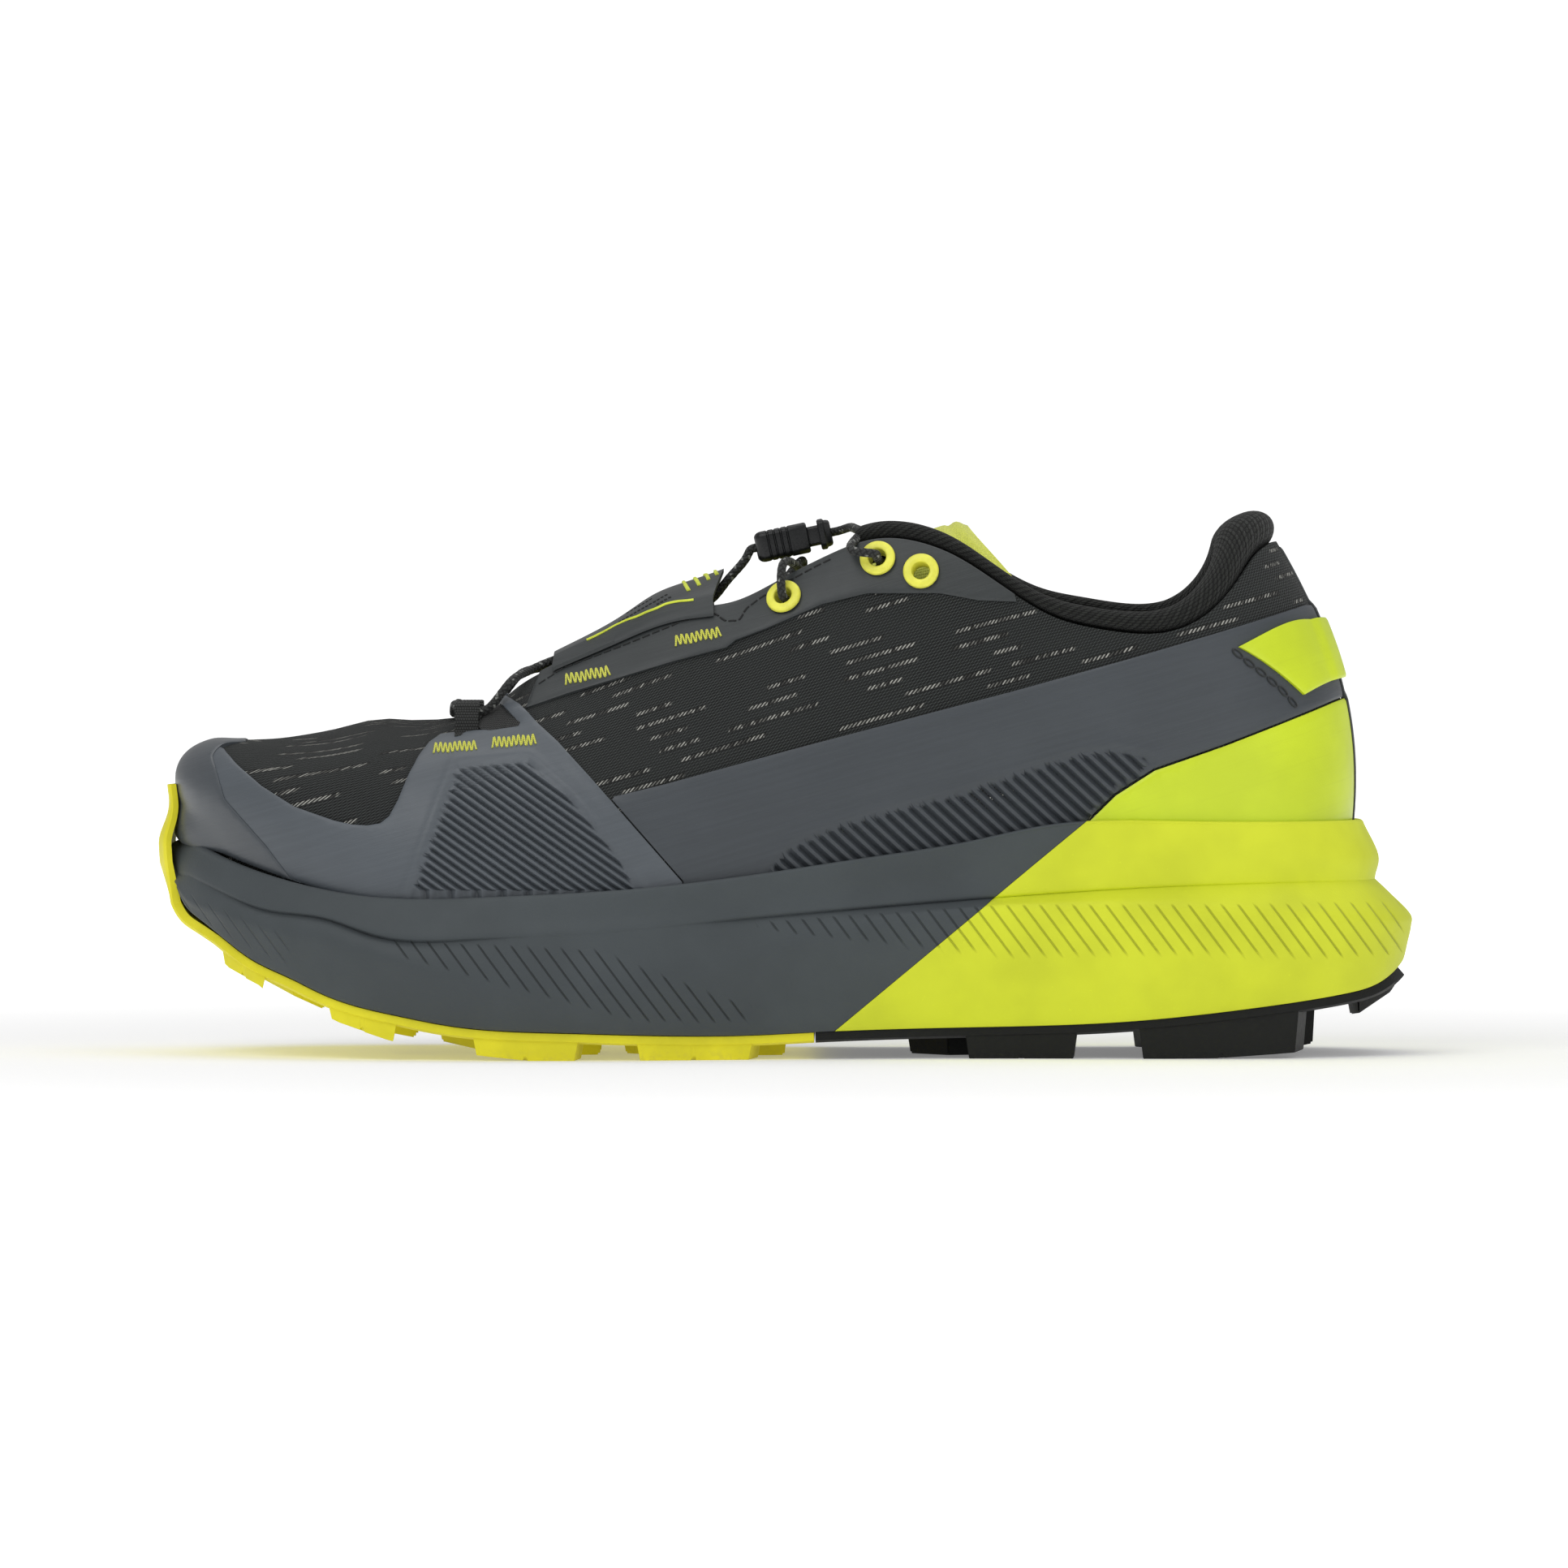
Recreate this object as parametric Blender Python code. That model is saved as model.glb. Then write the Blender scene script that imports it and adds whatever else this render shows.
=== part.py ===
"""Left trail running shoe: foam sole, lugged outsole, knitted upper, cord lacing.

Metres, +Z up. The toe points to -X, the outer (lateral) side to -Y, and the lug treads stand on z = 0.
Sizes below are in millimetres and are scaled once, when a mesh is made.
"""
import math

import bmesh
import bpy
import numpy as np
from mathutils import Matrix, Vector
from mathutils.geometry import delaunay_2d_cdt

MM = 0.001
GAP = 0.3  # clearance between touching pieces

# Layers of the upper, as offsets from the last's surface, from inside to outside
LINING = (-4.1, -2.7)
STIFFENER = (-2.1, -1.3)
KNIT = (0.0, 0.9)
FILM = (1.5, 2.3)
BUMPER = (1.5, 2.7)
HEEL_FILM = (1.5, 2.7)
LIP_GAP = 3.7  # inner face of the foam lip
LIP_WIDTH = 1.4

STROBEL_THICKNESS = 1.2
INSOLE_THICKNESS = 4.0
OUTSOLE_THICKNESS = 2.5
LUG_TAPER = 1.0

CORD_DIAMETER = 2.1
LOCK_CENTRE = (2.3, 0.0, 122.6)
LOCK_TILT = math.radians(12)
LOCK_WIDTH = 13.0
LOCK_HEIGHT = 7.4
LOCK_BODY = (-9.2, 3.6)  # ends of the body along the cords
LOCK_BUTTON = (-0.6, 9.2)  # ends of the button along the cords
LOCK_CAVITY_FRONT = -4.6
BUTTON_TRAVEL = 2.3
STRAND_SPACING = 6.4
BORE_DIAMETER = 2.9
LOCK_WALL = 1.0
INSIDE_RUN_DEPTH = -4.6  # the cord between two eyelets, from the last
EYELET_OUTER, EYELET_BARREL, EYELET_HOLE = 8.5, 5.0, 3.9
EYELETS_XZ = ((0.1, 108.9), (22.3, 118.1), (32.5, 115.1))
TONGUE_THICKNESS = 5.0
TONGUE_HINGE_X = 25.0

# The last, in stations from the toe (0) to the heel (1): feather edge, shoulder and topline
FEATHER_OUTER = (
    (0.0, -136, 6, 46), (0.06, -132.5, -8, 43), (0.13, -119, -26, 37.5), (0.214, -97, -39.5, 31.5),
    (0.304, -70, -46, 28.5), (0.396, -40, -46.5, 27.5), (0.497, -8, -41.5, 29), (0.616, 30, -35.5, 32.5),
    (0.725, 65, -33.5, 36.5), (0.818, 95, -33.5, 39), (0.891, 117, -28, 40), (0.946, 128, -16.5, 41),
    (1.0, 131, 0, 41),
)
FEATHER_INNER_Y = (
    (0.06, 20), (0.13, 34.5), (0.214, 43.5), (0.304, 46), (0.396, 41.5), (0.497, 32), (0.616, 27.5),
    (0.725, 30), (0.818, 32.5), (0.891, 27.5), (0.946, 16.5),
)
SHOULDER = (  # station, x, how far outside the feather edge, z, weight
    (0.0, -151, 0, 75, 3.0), (0.06, -146.5, 3.5, 74, 2.7), (0.13, -127, 5, 71, 2.0),
    (0.214, -98, 4.5, 69.5, 1.3), (0.304, -68, 4.0, 68, 0.95), (0.396, -38, 4.5, 73, 0.85),
    (0.497, -9, 4.5, 78, 0.8), (0.616, 28, 5.5, 90, 0.7), (0.725, 64, 6.5, 75, 0.6),
    (0.818, 94, 5.5, 70, 0.6), (0.891, 119, 5, 74, 0.65), (0.946, 134, 3.5, 80, 0.9),
    (1.0, 139.5, 0, 83, 1.2),
)
TOPLINE = (
    (0.0, -68, 0, 80.5), (0.13, -67.5, -4, 81), (0.214, -65.5, -8, 83.5), (0.304, -58, -11.5, 90),
    (0.396, -38, -14.5, 99.8), (0.45, -24, -16.5, 105.5), (0.49, -12, -17.5, 107.3),
    (0.53, -1, -18.5, 112.4), (0.58, 12, -20.5, 119.2), (0.63, 25.5, -23.5, 123), (0.67, 38.5, -27, 120),
    (0.71, 50, -30, 113), (0.75, 62, -32, 105.5), (0.79, 74, -33.5, 102), (0.83, 88, -33.5, 100.8),
    (0.87, 99, -30.5, 105), (0.91, 106.5, -24.5, 113), (0.955, 112, -14, 121), (1.0, 115.5, 0, 123),
)
MEDIAL_COLLAR_RISE = 2.0
COLLAR_START = 0.603  # station where the collar roll begins on each side
VAMP_WAVES = ((-97, 8, 1.6), (-122, 10, -0.9))  # swell and dip of the toe's top: x, reach, lift
VAMP_LOW, VAMP_FADE = 60, 15  # height at which they begin, and over which they grow

# The sole: widest outline in stations, then heights along its length
SOLE_OUTER = (
    (0.0, -147.4, 6), (0.06, -142.5, -13), (0.13, -128.5, -33), (0.214, -103, -49.5), (0.304, -74, -56.7),
    (0.396, -42, -56.8), (0.497, -8, -50.5), (0.616, 31, -43.9), (0.725, 66, -43.0), (0.818, 99, -44.5),
    (0.891, 127, -39), (0.946, 144, -23.5), (1.0, 150, 0),
)
SOLE_INNER_Y = (
    (0.06, 24), (0.13, 41.5), (0.214, 53), (0.304, 55.5), (0.396, 51.8), (0.497, 43.8), (0.616, 40),
    (0.725, 41.5), (0.818, 44), (0.891, 39), (0.946, 23.5),
)
LIP_Z = (
    (-148, 55.6), (-142.8, 51.8), (-131.3, 46.2), (-113.3, 41), (-98.4, 38.6), (-68.8, 38.6), (-38, 40.3),
    (-3.2, 44.3), (20.3, 47.8), (44.6, 51.7), (61.8, 55.3), (92, 56.3), (136, 56),
)
CREASE_Z = (
    (-143, 42.7), (-132.3, 37.7), (-125, 35.1), (-109.4, 33.1), (-98.8, 29.6), (-75, 28.4), (-45, 30),
    (-19.3, 32.2), (16, 35.3), (50.8, 38.1), (84.8, 40.4), (141.5, 41.8),
)
SOLE_Z = (
    (-147.9, 50), (-146.1, 42.9), (-139.6, 32.8), (-132.3, 27.6), (-126.8, 23.8), (-116.7, 19.2),
    (-109.4, 15.8), (-100.2, 12.7), (-91, 10.7), (-78.7, 8.4), (-51.6, 6.7), (-28, 6), (-8, 6),
    (6.7, 6.6), (41, 7.6), (80.5, 9), (113.5, 12.5), (133.6, 15.4), (144.4, 19.3), (148.3, 22.6),
)
TREAD_Z = (
    (-140, 25), (-127, 18.6), (-108, 9.7), (-93.8, 5), (-74, 1.4), (-60, 0), (100, 0), (125, 1.6),
    (131, 6), (136.4, 9.6), (146, 15.5),
)
FOAM_JOINT = ((70.9, 55.8), (12.7, 7.3))  # two points (x, z) of the sloping plane between the foams
OUTSOLE_JOINT_X = 8.2

COLOURS = {
    "grey_foam": (0.060, 0.070, 0.075), "lime_foam": (0.63, 0.68, 0.05),
    "yellow_rubber": (0.63, 0.56, 0.04), "black_rubber": (0.020, 0.023, 0.021),
    "knit": (0.035, 0.038, 0.037), "slate_film": (0.095, 0.11, 0.125),
    "lime_film": (0.58, 0.70, 0.035), "collar": (0.030, 0.032, 0.032), "tongue_lime": (0.70, 0.76, 0.19),
    "board": (0.45, 0.42, 0.36), "insole": (0.05, 0.055, 0.055), "stiffener": (0.5, 0.5, 0.48),
    "eyelet": (0.80, 0.84, 0.16), "cord": (0.015, 0.016, 0.016), "lock": (0.020, 0.026, 0.025),
    "steel": (0.6, 0.6, 0.6),
}


def clear_scene():
    for obj in list(bpy.data.objects):
        bpy.data.objects.remove(obj, do_unlink=True)


def material(colour, roughness=0.6, metallic=0.0):
    name = f"{colour}_material"
    found = bpy.data.materials.get(name)
    if found:
        return found
    made = bpy.data.materials.new(name)
    made.use_nodes = True
    shader = made.node_tree.nodes["Principled BSDF"]
    shader.inputs["Base Color"].default_value = (*COLOURS[colour], 1.0)
    shader.inputs["Roughness"].default_value = roughness
    shader.inputs["Metallic"].default_value = metallic
    return made


def make_object(name, verts, faces, colour, roughness=0.6, metallic=0.0, parent=None):
    """A named object from points in millimetres, with its faces turned outward."""
    mesh = bpy.data.meshes.new(name)
    mesh.from_pydata([tuple(float(c) * MM for c in v) for v in verts], [], faces)
    bm = bmesh.new()
    bm.from_mesh(mesh)
    bmesh.ops.triangulate(bm, faces=[f for f in bm.faces if len(f.verts) > 4])
    bmesh.ops.recalc_face_normals(bm, faces=bm.faces)
    bm.to_mesh(mesh)
    bm.free()
    mesh.shade_smooth()
    mesh.set_sharp_from_angle(angle=math.radians(35))
    mesh.materials.append(material(colour, roughness, metallic))
    obj = bpy.data.objects.new(name, mesh)
    bpy.context.scene.collection.objects.link(obj)
    if parent:
        obj.parent = parent
        mesh.transform(parent.matrix_world.inverted())
    return obj


# Curves


def natural_slopes(knots, values, period=None):
    """Slopes of the cubic spline through values, periodic when a period is given."""
    n = len(knots)
    rows = np.zeros((n, n))
    right = np.zeros((n, values.shape[1]))
    for i in range(n):
        before, after = (i - 1) % n, (i + 1) % n
        if period is None and i in (0, n - 1):
            other = 1 if i == 0 else n - 2
            rows[i, i], rows[i, other] = 2, 1
            right[i] = 3 * (values[other] - values[i]) / (knots[other] - knots[i])
            continue
        back = (knots[i] - knots[before]) % (period or math.inf)
        ahead = (knots[after] - knots[i]) % (period or math.inf)
        rows[i, before] += 1 / back
        rows[i, i] += 2 / back + 2 / ahead
        rows[i, after] += 1 / ahead
        right[i] = 3 * ((values[i] - values[before]) / back**2 + (values[after] - values[i]) / ahead**2)
    return np.linalg.solve(rows, right)


class Spline:
    """A cubic spline through (parameter, value...) rows."""

    def __init__(self, rows, period=None):
        rows = np.array(sorted(rows), dtype=float)
        self.knots, self.values, self.period = rows[:, 0], rows[:, 1:], period
        self.slopes = natural_slopes(self.knots, self.values, period)

    def __call__(self, t):
        t = np.asarray(t, dtype=float)
        first, n = self.knots[0], len(self.knots)
        if self.period:
            t = first + (t - first) % self.period
        i = np.clip(np.searchsorted(self.knots, t, side="right") - 1, 0, n - (1 if self.period else 2))
        j = (i + 1) % n
        width = self.knots[j] - self.knots[i]
        if self.period:
            width = np.where(j == 0, width + self.period, width)
        f = ((t - self.knots[i]) / width)[..., None]
        width = np.asarray(width)[..., None]
        return (
            (1 + 2 * f) * (1 - f) ** 2 * self.values[i] + f * (1 - f) ** 2 * width * self.slopes[i]
            + f * f * (3 - 2 * f) * self.values[j] + f * f * (f - 1) * width * self.slopes[j]
        )


def both_sides(outer, inner):
    """Ring rows from rows of each side: s runs from -1 (heel) over 0 (toe) to 1, outer side negative."""
    rows = [(-r[0], *r[1:]) for r in outer]
    rows += [r for r in inner if 0 < r[0] < 1]
    return Spline(rows, period=2.0)


def mirrored(outer, inner_y):
    lookup = dict(inner_y)
    return [(r[0], r[1], lookup[r[0]], *r[3:]) for r in outer if r[0] in lookup]


feather = both_sides(FEATHER_OUTER, mirrored(FEATHER_OUTER, FEATHER_INNER_Y))
shoulder = both_sides([(r[0], r[1], -r[2], r[3], r[4]) for r in SHOULDER], SHOULDER)
topline = both_sides(
    TOPLINE,
    [(r[0], r[1], -r[2], r[3] + MEDIAL_COLLAR_RISE * math.exp(-(((r[0] - 0.79) / 0.07) ** 2)))
     for r in TOPLINE],
)
sole_edge = both_sides(SOLE_OUTER, mirrored(SOLE_OUTER, SOLE_INNER_Y))
lip_z, crease_z, sole_z = Spline(LIP_Z), Spline(CREASE_Z), Spline(SOLE_Z)


def height(curve, x):
    knots = curve.knots
    return curve(np.clip(x, knots[0], knots[-1]))[..., 0]


def last_point(s, h):
    """The last's surface: s round the ring, h from the feather edge (0) to the topline (1)."""
    s, h = np.broadcast_arrays(np.asarray(s, float), np.asarray(h, float))
    low, mid, top = feather(s), shoulder(s), topline(s)
    weight = mid[..., 3]
    mid = np.stack([mid[..., 0], low[..., 1] + mid[..., 1], mid[..., 2]], axis=-1)
    a, b, c = (1 - h) ** 2, 2 * weight * h * (1 - h), h * h
    point = (a[..., None] * low + b[..., None] * mid + c[..., None] * top) / (a + b + c)[..., None]
    x = point[..., 0]
    wave = sum(lift * np.exp(-(((x - middle) / reach) ** 2)) for middle, reach, lift in VAMP_WAVES)
    point[..., 2] += wave * np.clip((point[..., 2] - VAMP_LOW) / VAMP_FADE, 0, 1) ** 2
    return point


def last_normal(s, h):
    step = 1e-4
    h = np.clip(h, step, 1 - step)
    along = last_point(s + step, h) - last_point(s - step, h)
    up = last_point(s, h + step) - last_point(s, h - step)
    normal = np.cross(along, up)
    normal /= np.linalg.norm(normal, axis=-1, keepdims=True)
    return -normal


def shell(s, h, offset):
    """A point on the layer that lies offset outside the last."""
    return last_point(s, h) + np.asarray(offset)[..., None] * last_normal(s, h)


if float(shell(-0.5, 0.5, 1.0)[1]) > float(last_point(-0.5, 0.5)[1]):
    raise ValueError("the last's normals point inward")


def find_on_last(a, b, side, axes=(0, 2), offset=2.0):
    """The (s, h) whose layer point has the coordinates a, b in the two named axes on one side."""
    s_grid, h_grid = np.meshgrid(np.linspace(0.005, 0.995, 100) * side, np.linspace(0.01, 0.995, 60))
    points = shell(s_grid, h_grid, np.full(s_grid.shape, offset))
    miss = (points[..., axes[0]] - a) ** 2 + (points[..., axes[1]] - b) ** 2
    i = np.unravel_index(np.argmin(miss), miss.shape)
    s, h = float(s_grid[i]), float(h_grid[i])
    for _ in range(6):
        here = shell(s, h, offset)
        error = np.array([a - here[axes[0]], b - here[axes[1]]])
        step = 1e-4
        ds = (shell(s + step, h, offset) - here) / step
        dh = (shell(s, min(h + step, 0.9999), offset) - here) / step
        matrix = np.array([[ds[axes[0]], dh[axes[0]]], [ds[axes[1]], dh[axes[1]]]])
        if abs(np.linalg.det(matrix)) < 1e-3:
            break
        change = np.clip(np.linalg.solve(matrix, error), -0.05, 0.05)
        s = float(np.clip(s + change[0], min(side * 0.002, side * 0.998), max(side * 0.002, side * 0.998)))
        h = float(np.clip(h + change[1], 0.0, 0.998))
    return s, h


# Solids


def grid_faces(rows, columns, offset=0, flip=False, wrap_rows=False, wrap_columns=False):
    faces = []
    for i in range(rows if wrap_rows else rows - 1):
        for j in range(columns if wrap_columns else columns - 1):
            k, m = (i + 1) % rows, (j + 1) % columns
            face = [offset + i * columns + j, offset + i * columns + m, offset + k * columns + m,
                    offset + k * columns + j]
            faces.append(face[::-1] if flip else face)
    return faces


def slab(outer, inner):
    """A closed solid between two point grids of the same size."""
    rows, columns, _ = outer.shape
    verts = [*outer.reshape(-1, 3), *inner.reshape(-1, 3)]
    base = rows * columns
    faces = grid_faces(rows, columns) + grid_faces(rows, columns, base, flip=True)
    rim = list(range(columns))
    rim += [i * columns + columns - 1 for i in range(1, rows)]
    rim += [(rows - 1) * columns + j for j in range(columns - 2, -1, -1)]
    rim += [i * columns for i in range(rows - 2, 0, -1)]
    for a, b in zip(rim, rim[1:] + rim[:1], strict=True):
        faces.append([b, a, base + a, base + b])
    return verts, faces


def inside(point, loop):
    crossed = False
    for (x0, y0), (x1, y1) in zip(loop, loop[1:] + loop[:1], strict=True):
        if (y0 > point[1]) != (y1 > point[1]):
            if point[0] < (x1 - x0) * (point[1] - y0) / (y1 - y0) + x0:
                crossed = not crossed
    return crossed


S_SCALE, H_SCALE = 290.0, 75.0  # millimetres per unit of s and h, roughly


def densify(loop, spacing):
    """The loop with extra points, so that no edge is longer than spacing."""
    dense = []
    for a, b in zip(loop, loop[1:] + loop[:1], strict=True):
        count = max(1, math.ceil(math.dist(a, b) / spacing))
        dense += [tuple(a[k] + (b[k] - a[k]) * i / count for k in (0, 1)) for i in range(count)]
    return dense


def patch(outline, layer, spacing=7.0, holes=(), lift=None):
    """A closed skin over a region of the last; outline and holes are loops of (s, h)."""
    scaled = [[(s * S_SCALE, h * H_SCALE) for s, h in loop] for loop in (outline, *holes)]
    loops = [densify(scaled[0], spacing), *scaled[1:]]
    points, edges = [], []
    for loop in loops:
        first = len(points)
        points += loop
        edges += [(first + i, first + (i + 1) % len(loop)) for i in range(len(loop))]
    low, high = np.min(loops[0], axis=0), np.max(loops[0], axis=0)
    rim = np.array(points)
    across = spacing * 0.9
    for i, x in enumerate(np.arange(low[0] + spacing / 2, high[0], spacing)):
        for y in np.arange(low[1] + across * (0.3 + 0.5 * (i % 2)), high[1], across):
            near = np.min(np.hypot(rim[:, 0] - x, rim[:, 1] - y))
            if near > spacing * 0.45 and inside((x, y), loops[0]):
                if not any(inside((x, y), hole) for hole in loops[1:]):
                    points.append((float(x), float(y)))
    flat, _, triangles, *_ = delaunay_2d_cdt([Vector(p) for p in points], edges, [], 0, 1e-5)
    kept = []
    for triangle in triangles:
        a, b, c = (flat[i] for i in triangle)
        longest = max((b - a).length, (c - b).length, (a - c).length)
        if abs((b - a).cross(c - a)) < 0.02 * longest:
            continue
        centre = tuple(sum(flat[i][k] for i in triangle) / 3 for k in (0, 1))
        if inside(centre, loops[0]) and not any(inside(centre, hole) for hole in loops[1:]):
            kept.append(list(triangle))
    used = sorted({i for t in kept for i in t})
    renumber = {old: new for new, old in enumerate(used)}
    kept = [[renumber[i] for i in t] for t in kept]
    s = np.array([flat[i][0] / S_SCALE for i in used])
    h = np.array([flat[i][1] / H_SCALE for i in used])
    extra = np.array([lift(a, b) if lift else 0.0 for a, b in zip(s, h, strict=True)])
    verts = [*shell(s, h, layer[1] + extra), *shell(s, h, layer[0] + extra)]
    base = len(used)
    faces = kept + [[base + i for i in reversed(t)] for t in kept]
    sides = {(a, b) for t in kept for a, b in zip(t, t[1:] + t[:1], strict=True)}
    faces += [[b, a, base + a, base + b] for a, b in sorted(sides) if (b, a) not in sides]
    return verts, faces


def on_last(points, side, axes=(0, 2), offset=2.0, spacing=9.0):
    """An open outline on one side, with points no more than spacing apart."""
    dense = []
    for a, b in zip(points, points[1:], strict=False):
        count = max(1, math.ceil(math.dist(a, b) / spacing))
        dense += [tuple(a[k] + (b[k] - a[k]) * i / count for k in (0, 1)) for i in range(count)]
    return [find_on_last(a, b, side, axes, offset) for a, b in [*dense, points[-1]]]


# Sole unit


def lip_station(s):
    """The h at which the inner face of the foam lip reaches the lip's height."""
    low, high = 0.0, 0.6
    for _ in range(30):
        middle = (low + high) / 2
        point = shell(s, middle, LIP_GAP)
        if point[2] < height(lip_z, point[0]):
            low = middle
        else:
            high = middle
    return low


def plan_normal(curve, s):
    step = 1e-3
    along = curve(s + step)[:2] - curve(s - step)[:2]
    normal = np.array([-along[1], along[0]])
    return normal / np.linalg.norm(normal)


def blend_by_station(rows, s):
    return float(np.interp(abs(s), [r[0] for r in rows], [r[1] for r in rows]))


BOTTOM_INSET = ((0, 0.2), (0.13, 2.0), (0.3, 4.5), (0.6, 5.0), (0.85, 4.0), (1, 2.0))
CREASE_INSET = ((0, 0.6), (0.13, 1.6), (0.3, 2.0), (0.6, 2.6), (0.8, 5.0), (1, 8.6))
BAND_INSET = ((0, 0.8), (0.13, 2.6), (0.3, 3.4), (0.6, 3.6), (0.8, 5.0), (1, 7.9))


def outward(curve, s):
    normal = plan_normal(curve, s)
    centre = np.array([curve(s)[0] * 0.93, 2.0])
    return normal if np.dot(normal, curve(s)[:2] - centre) > 0 else -normal


def sole_ring(s):
    """The foam's section at s: from its bottom edge over the lip to the footbed."""
    edge, normal = sole_edge(s)[:2], outward(sole_edge, s)

    def at(inset, z):
        return np.array([*(edge - normal * inset), z])

    bottom = at(blend_by_station(BOTTOM_INSET, s), 0)
    bottom[2] = height(sole_z, bottom[0])
    h_lip = lip_station(s)
    lip_in = shell(s, h_lip, LIP_GAP)
    lip_out = shell(s, h_lip, LIP_GAP + LIP_WIDTH)
    lip_in[2] = lip_out[2] = height(lip_z, lip_out[0])
    crease = max(float(height(crease_z, edge[0])), bottom[2] + 0.25 * (lip_out[2] - bottom[2]))
    span = crease - bottom[2]
    band = at(blend_by_station(BAND_INSET, s), crease + 0.35 * (lip_out[2] - crease))
    shelf = 0.2 * at(blend_by_station(CREASE_INSET, s), 0) + 0.8 * lip_out
    shelf[2] = lip_out[2] - min(1.6, 0.3 * (lip_out[2] - crease))
    floor_in = shell(s, 0.0, LIP_GAP)
    floor_in[2] = feather(s)[2] - STROBEL_THICKNESS - 3 * GAP
    walls = [shell(s, h_lip * share, LIP_GAP) for share in (0.78, 0.54, 0.28)]
    return [
        bottom, at(0.9, bottom[2] + 0.28 * span), at(0.0, bottom[2] + 0.58 * span),
        at(0.5, bottom[2] + 0.86 * span), at(blend_by_station(CREASE_INSET, s), crease), band, shelf,
        lip_out, lip_in, *walls, floor_in,
    ]


SOLE_STATIONS = 34
BOARD_STATIONS = 30


def ladder(count, start):
    """Faces of a disc whose rim has 2 * count points: toe, one side to the heel, the other side back."""
    total = 2 * count
    faces = [[start, start + 1, start + total - 1]]
    for i in range(1, count - 1):
        faces.append([start + i, start + i + 1, start + total - i - 1, start + total - i])
    faces.append([start + count - 1, start + count, start + count + 1])
    return faces


def ring_stations(count):
    return [-i / count for i in range(count)] + [1 - i / count for i in range(count)]


def whole_midsole():
    stations = ring_stations(SOLE_STATIONS)
    sections = [sole_ring(s) for s in stations]
    levels = len(sections[0])
    verts = [section[k] for k in range(levels) for section in sections]
    ring = len(stations)
    faces = grid_faces(levels, ring, wrap_columns=True)
    faces += [face[::-1] for face in ladder(SOLE_STATIONS, 0)]
    faces += ladder(SOLE_STATIONS, (levels - 1) * ring)
    return verts, faces


def cut_by_plane(obj, point, normal):
    """Keeps the part of a closed object behind the plane, and caps it."""
    bm = bmesh.new()
    bm.from_mesh(obj.data)
    result = bmesh.ops.bisect_plane(
        bm, geom=[*bm.verts, *bm.edges, *bm.faces], dist=1e-7, plane_co=point, plane_no=normal,
        clear_outer=True,
    )
    rim = [e for e in result["geom_cut"] if isinstance(e, bmesh.types.BMEdge)]
    bmesh.ops.triangle_fill(bm, edges=rim, use_beauty=True)
    bmesh.ops.recalc_face_normals(bm, faces=bm.faces)
    bm.to_mesh(obj.data)
    bm.free()


def build_midsole():
    verts, faces = whole_midsole()
    (x1, z1), (x0, z0) = FOAM_JOINT
    normal = Vector((z1 - z0, 0, x0 - x1)).normalized()
    middle = Vector(((x0 + x1) / 2, 0, (z0 + z1) / 2)) * MM
    for name, colour, sign in (("midsole_forefoot", "grey_foam", 1), ("midsole_heel", "lime_foam", -1)):
        obj = make_object(name, verts, faces, colour)
        cut_by_plane(obj, middle - normal * sign * GAP / 2 * MM, normal * sign)


def edge_at_x(x, side):
    """The s at which the sole's bottom edge passes x on one side."""
    low, high = 0.02, 0.98
    for _ in range(30):
        middle = (low + high) / 2
        if sole_edge(middle * side)[0] < x:
            low = middle
        else:
            high = middle
    return low * side


def bottom_edge(s, inset):
    edge, normal = sole_edge(s)[:2], outward(sole_edge, s)
    return edge - normal * (blend_by_station(BOTTOM_INSET, s) + inset)


TOE_GUARD = (  # how far outside the foam's edge, height (0: along the edge), half its width in stations
    (0.5, 0, 0.036), (0.8, 50, 0.035), (0.9, 54, 0.034), (0.9, 59, 0.031), (0.6, 64.3, 0.026),
)
OUTSOLE_COLUMNS = 5
OUTSOLE_ROWS = 17
GUARD_THICKNESS = 1.7
TOE_CLEARANCE = 1.0  # more clearance, straight down, where the sole rises steeply


def outsole_layer(first_u, last_u, guard):
    """The rubber skin under the foam, with the guard that wraps up the toe."""
    rows = []
    if guard:
        for clear, z, half in reversed(TOE_GUARD):
            stations = np.linspace(-half, half, OUTSOLE_COLUMNS)
            plan = [sole_edge(s)[:2] + outward(sole_edge, s) * clear for s in stations]
            rows.append([(*p, z or float(height(sole_z, p[0])) - 2.4) for p in plan])
    for share in np.linspace(0, 1, OUTSOLE_ROWS):
        u = first_u + (last_u - first_u) * share**(1.6 if guard else 0.9)
        outer, inner = bottom_edge(-u, 0.8), bottom_edge(u, 0.8)
        row = []
        for t in np.linspace(0, 1, OUTSOLE_COLUMNS):
            x, y = outer + (inner - outer) * t
            steep = float(np.clip((-134 - x) / 8, 0, 1))
            row.append((x, y, float(height(sole_z, x)) - GAP - TOE_CLEARANCE * steep))
        rows.append(row)
    top = np.array(rows)
    normals = np.cross(np.gradient(top, axis=0), np.gradient(top, axis=1))
    normals /= np.linalg.norm(normals, axis=-1, keepdims=True)
    thickness = np.full(top.shape[:2], OUTSOLE_THICKNESS)
    if guard:
        thickness[: len(TOE_GUARD)] = GUARD_THICKNESS
    sign = -1 if normals[len(rows) // 2, OUTSOLE_COLUMNS // 2, 2] > 0 else 1
    return top, top + sign * normals * thickness[..., None]


def tread(x):
    return float(np.interp(x, [r[0] for r in TREAD_Z], [r[1] for r in TREAD_Z]))


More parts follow.
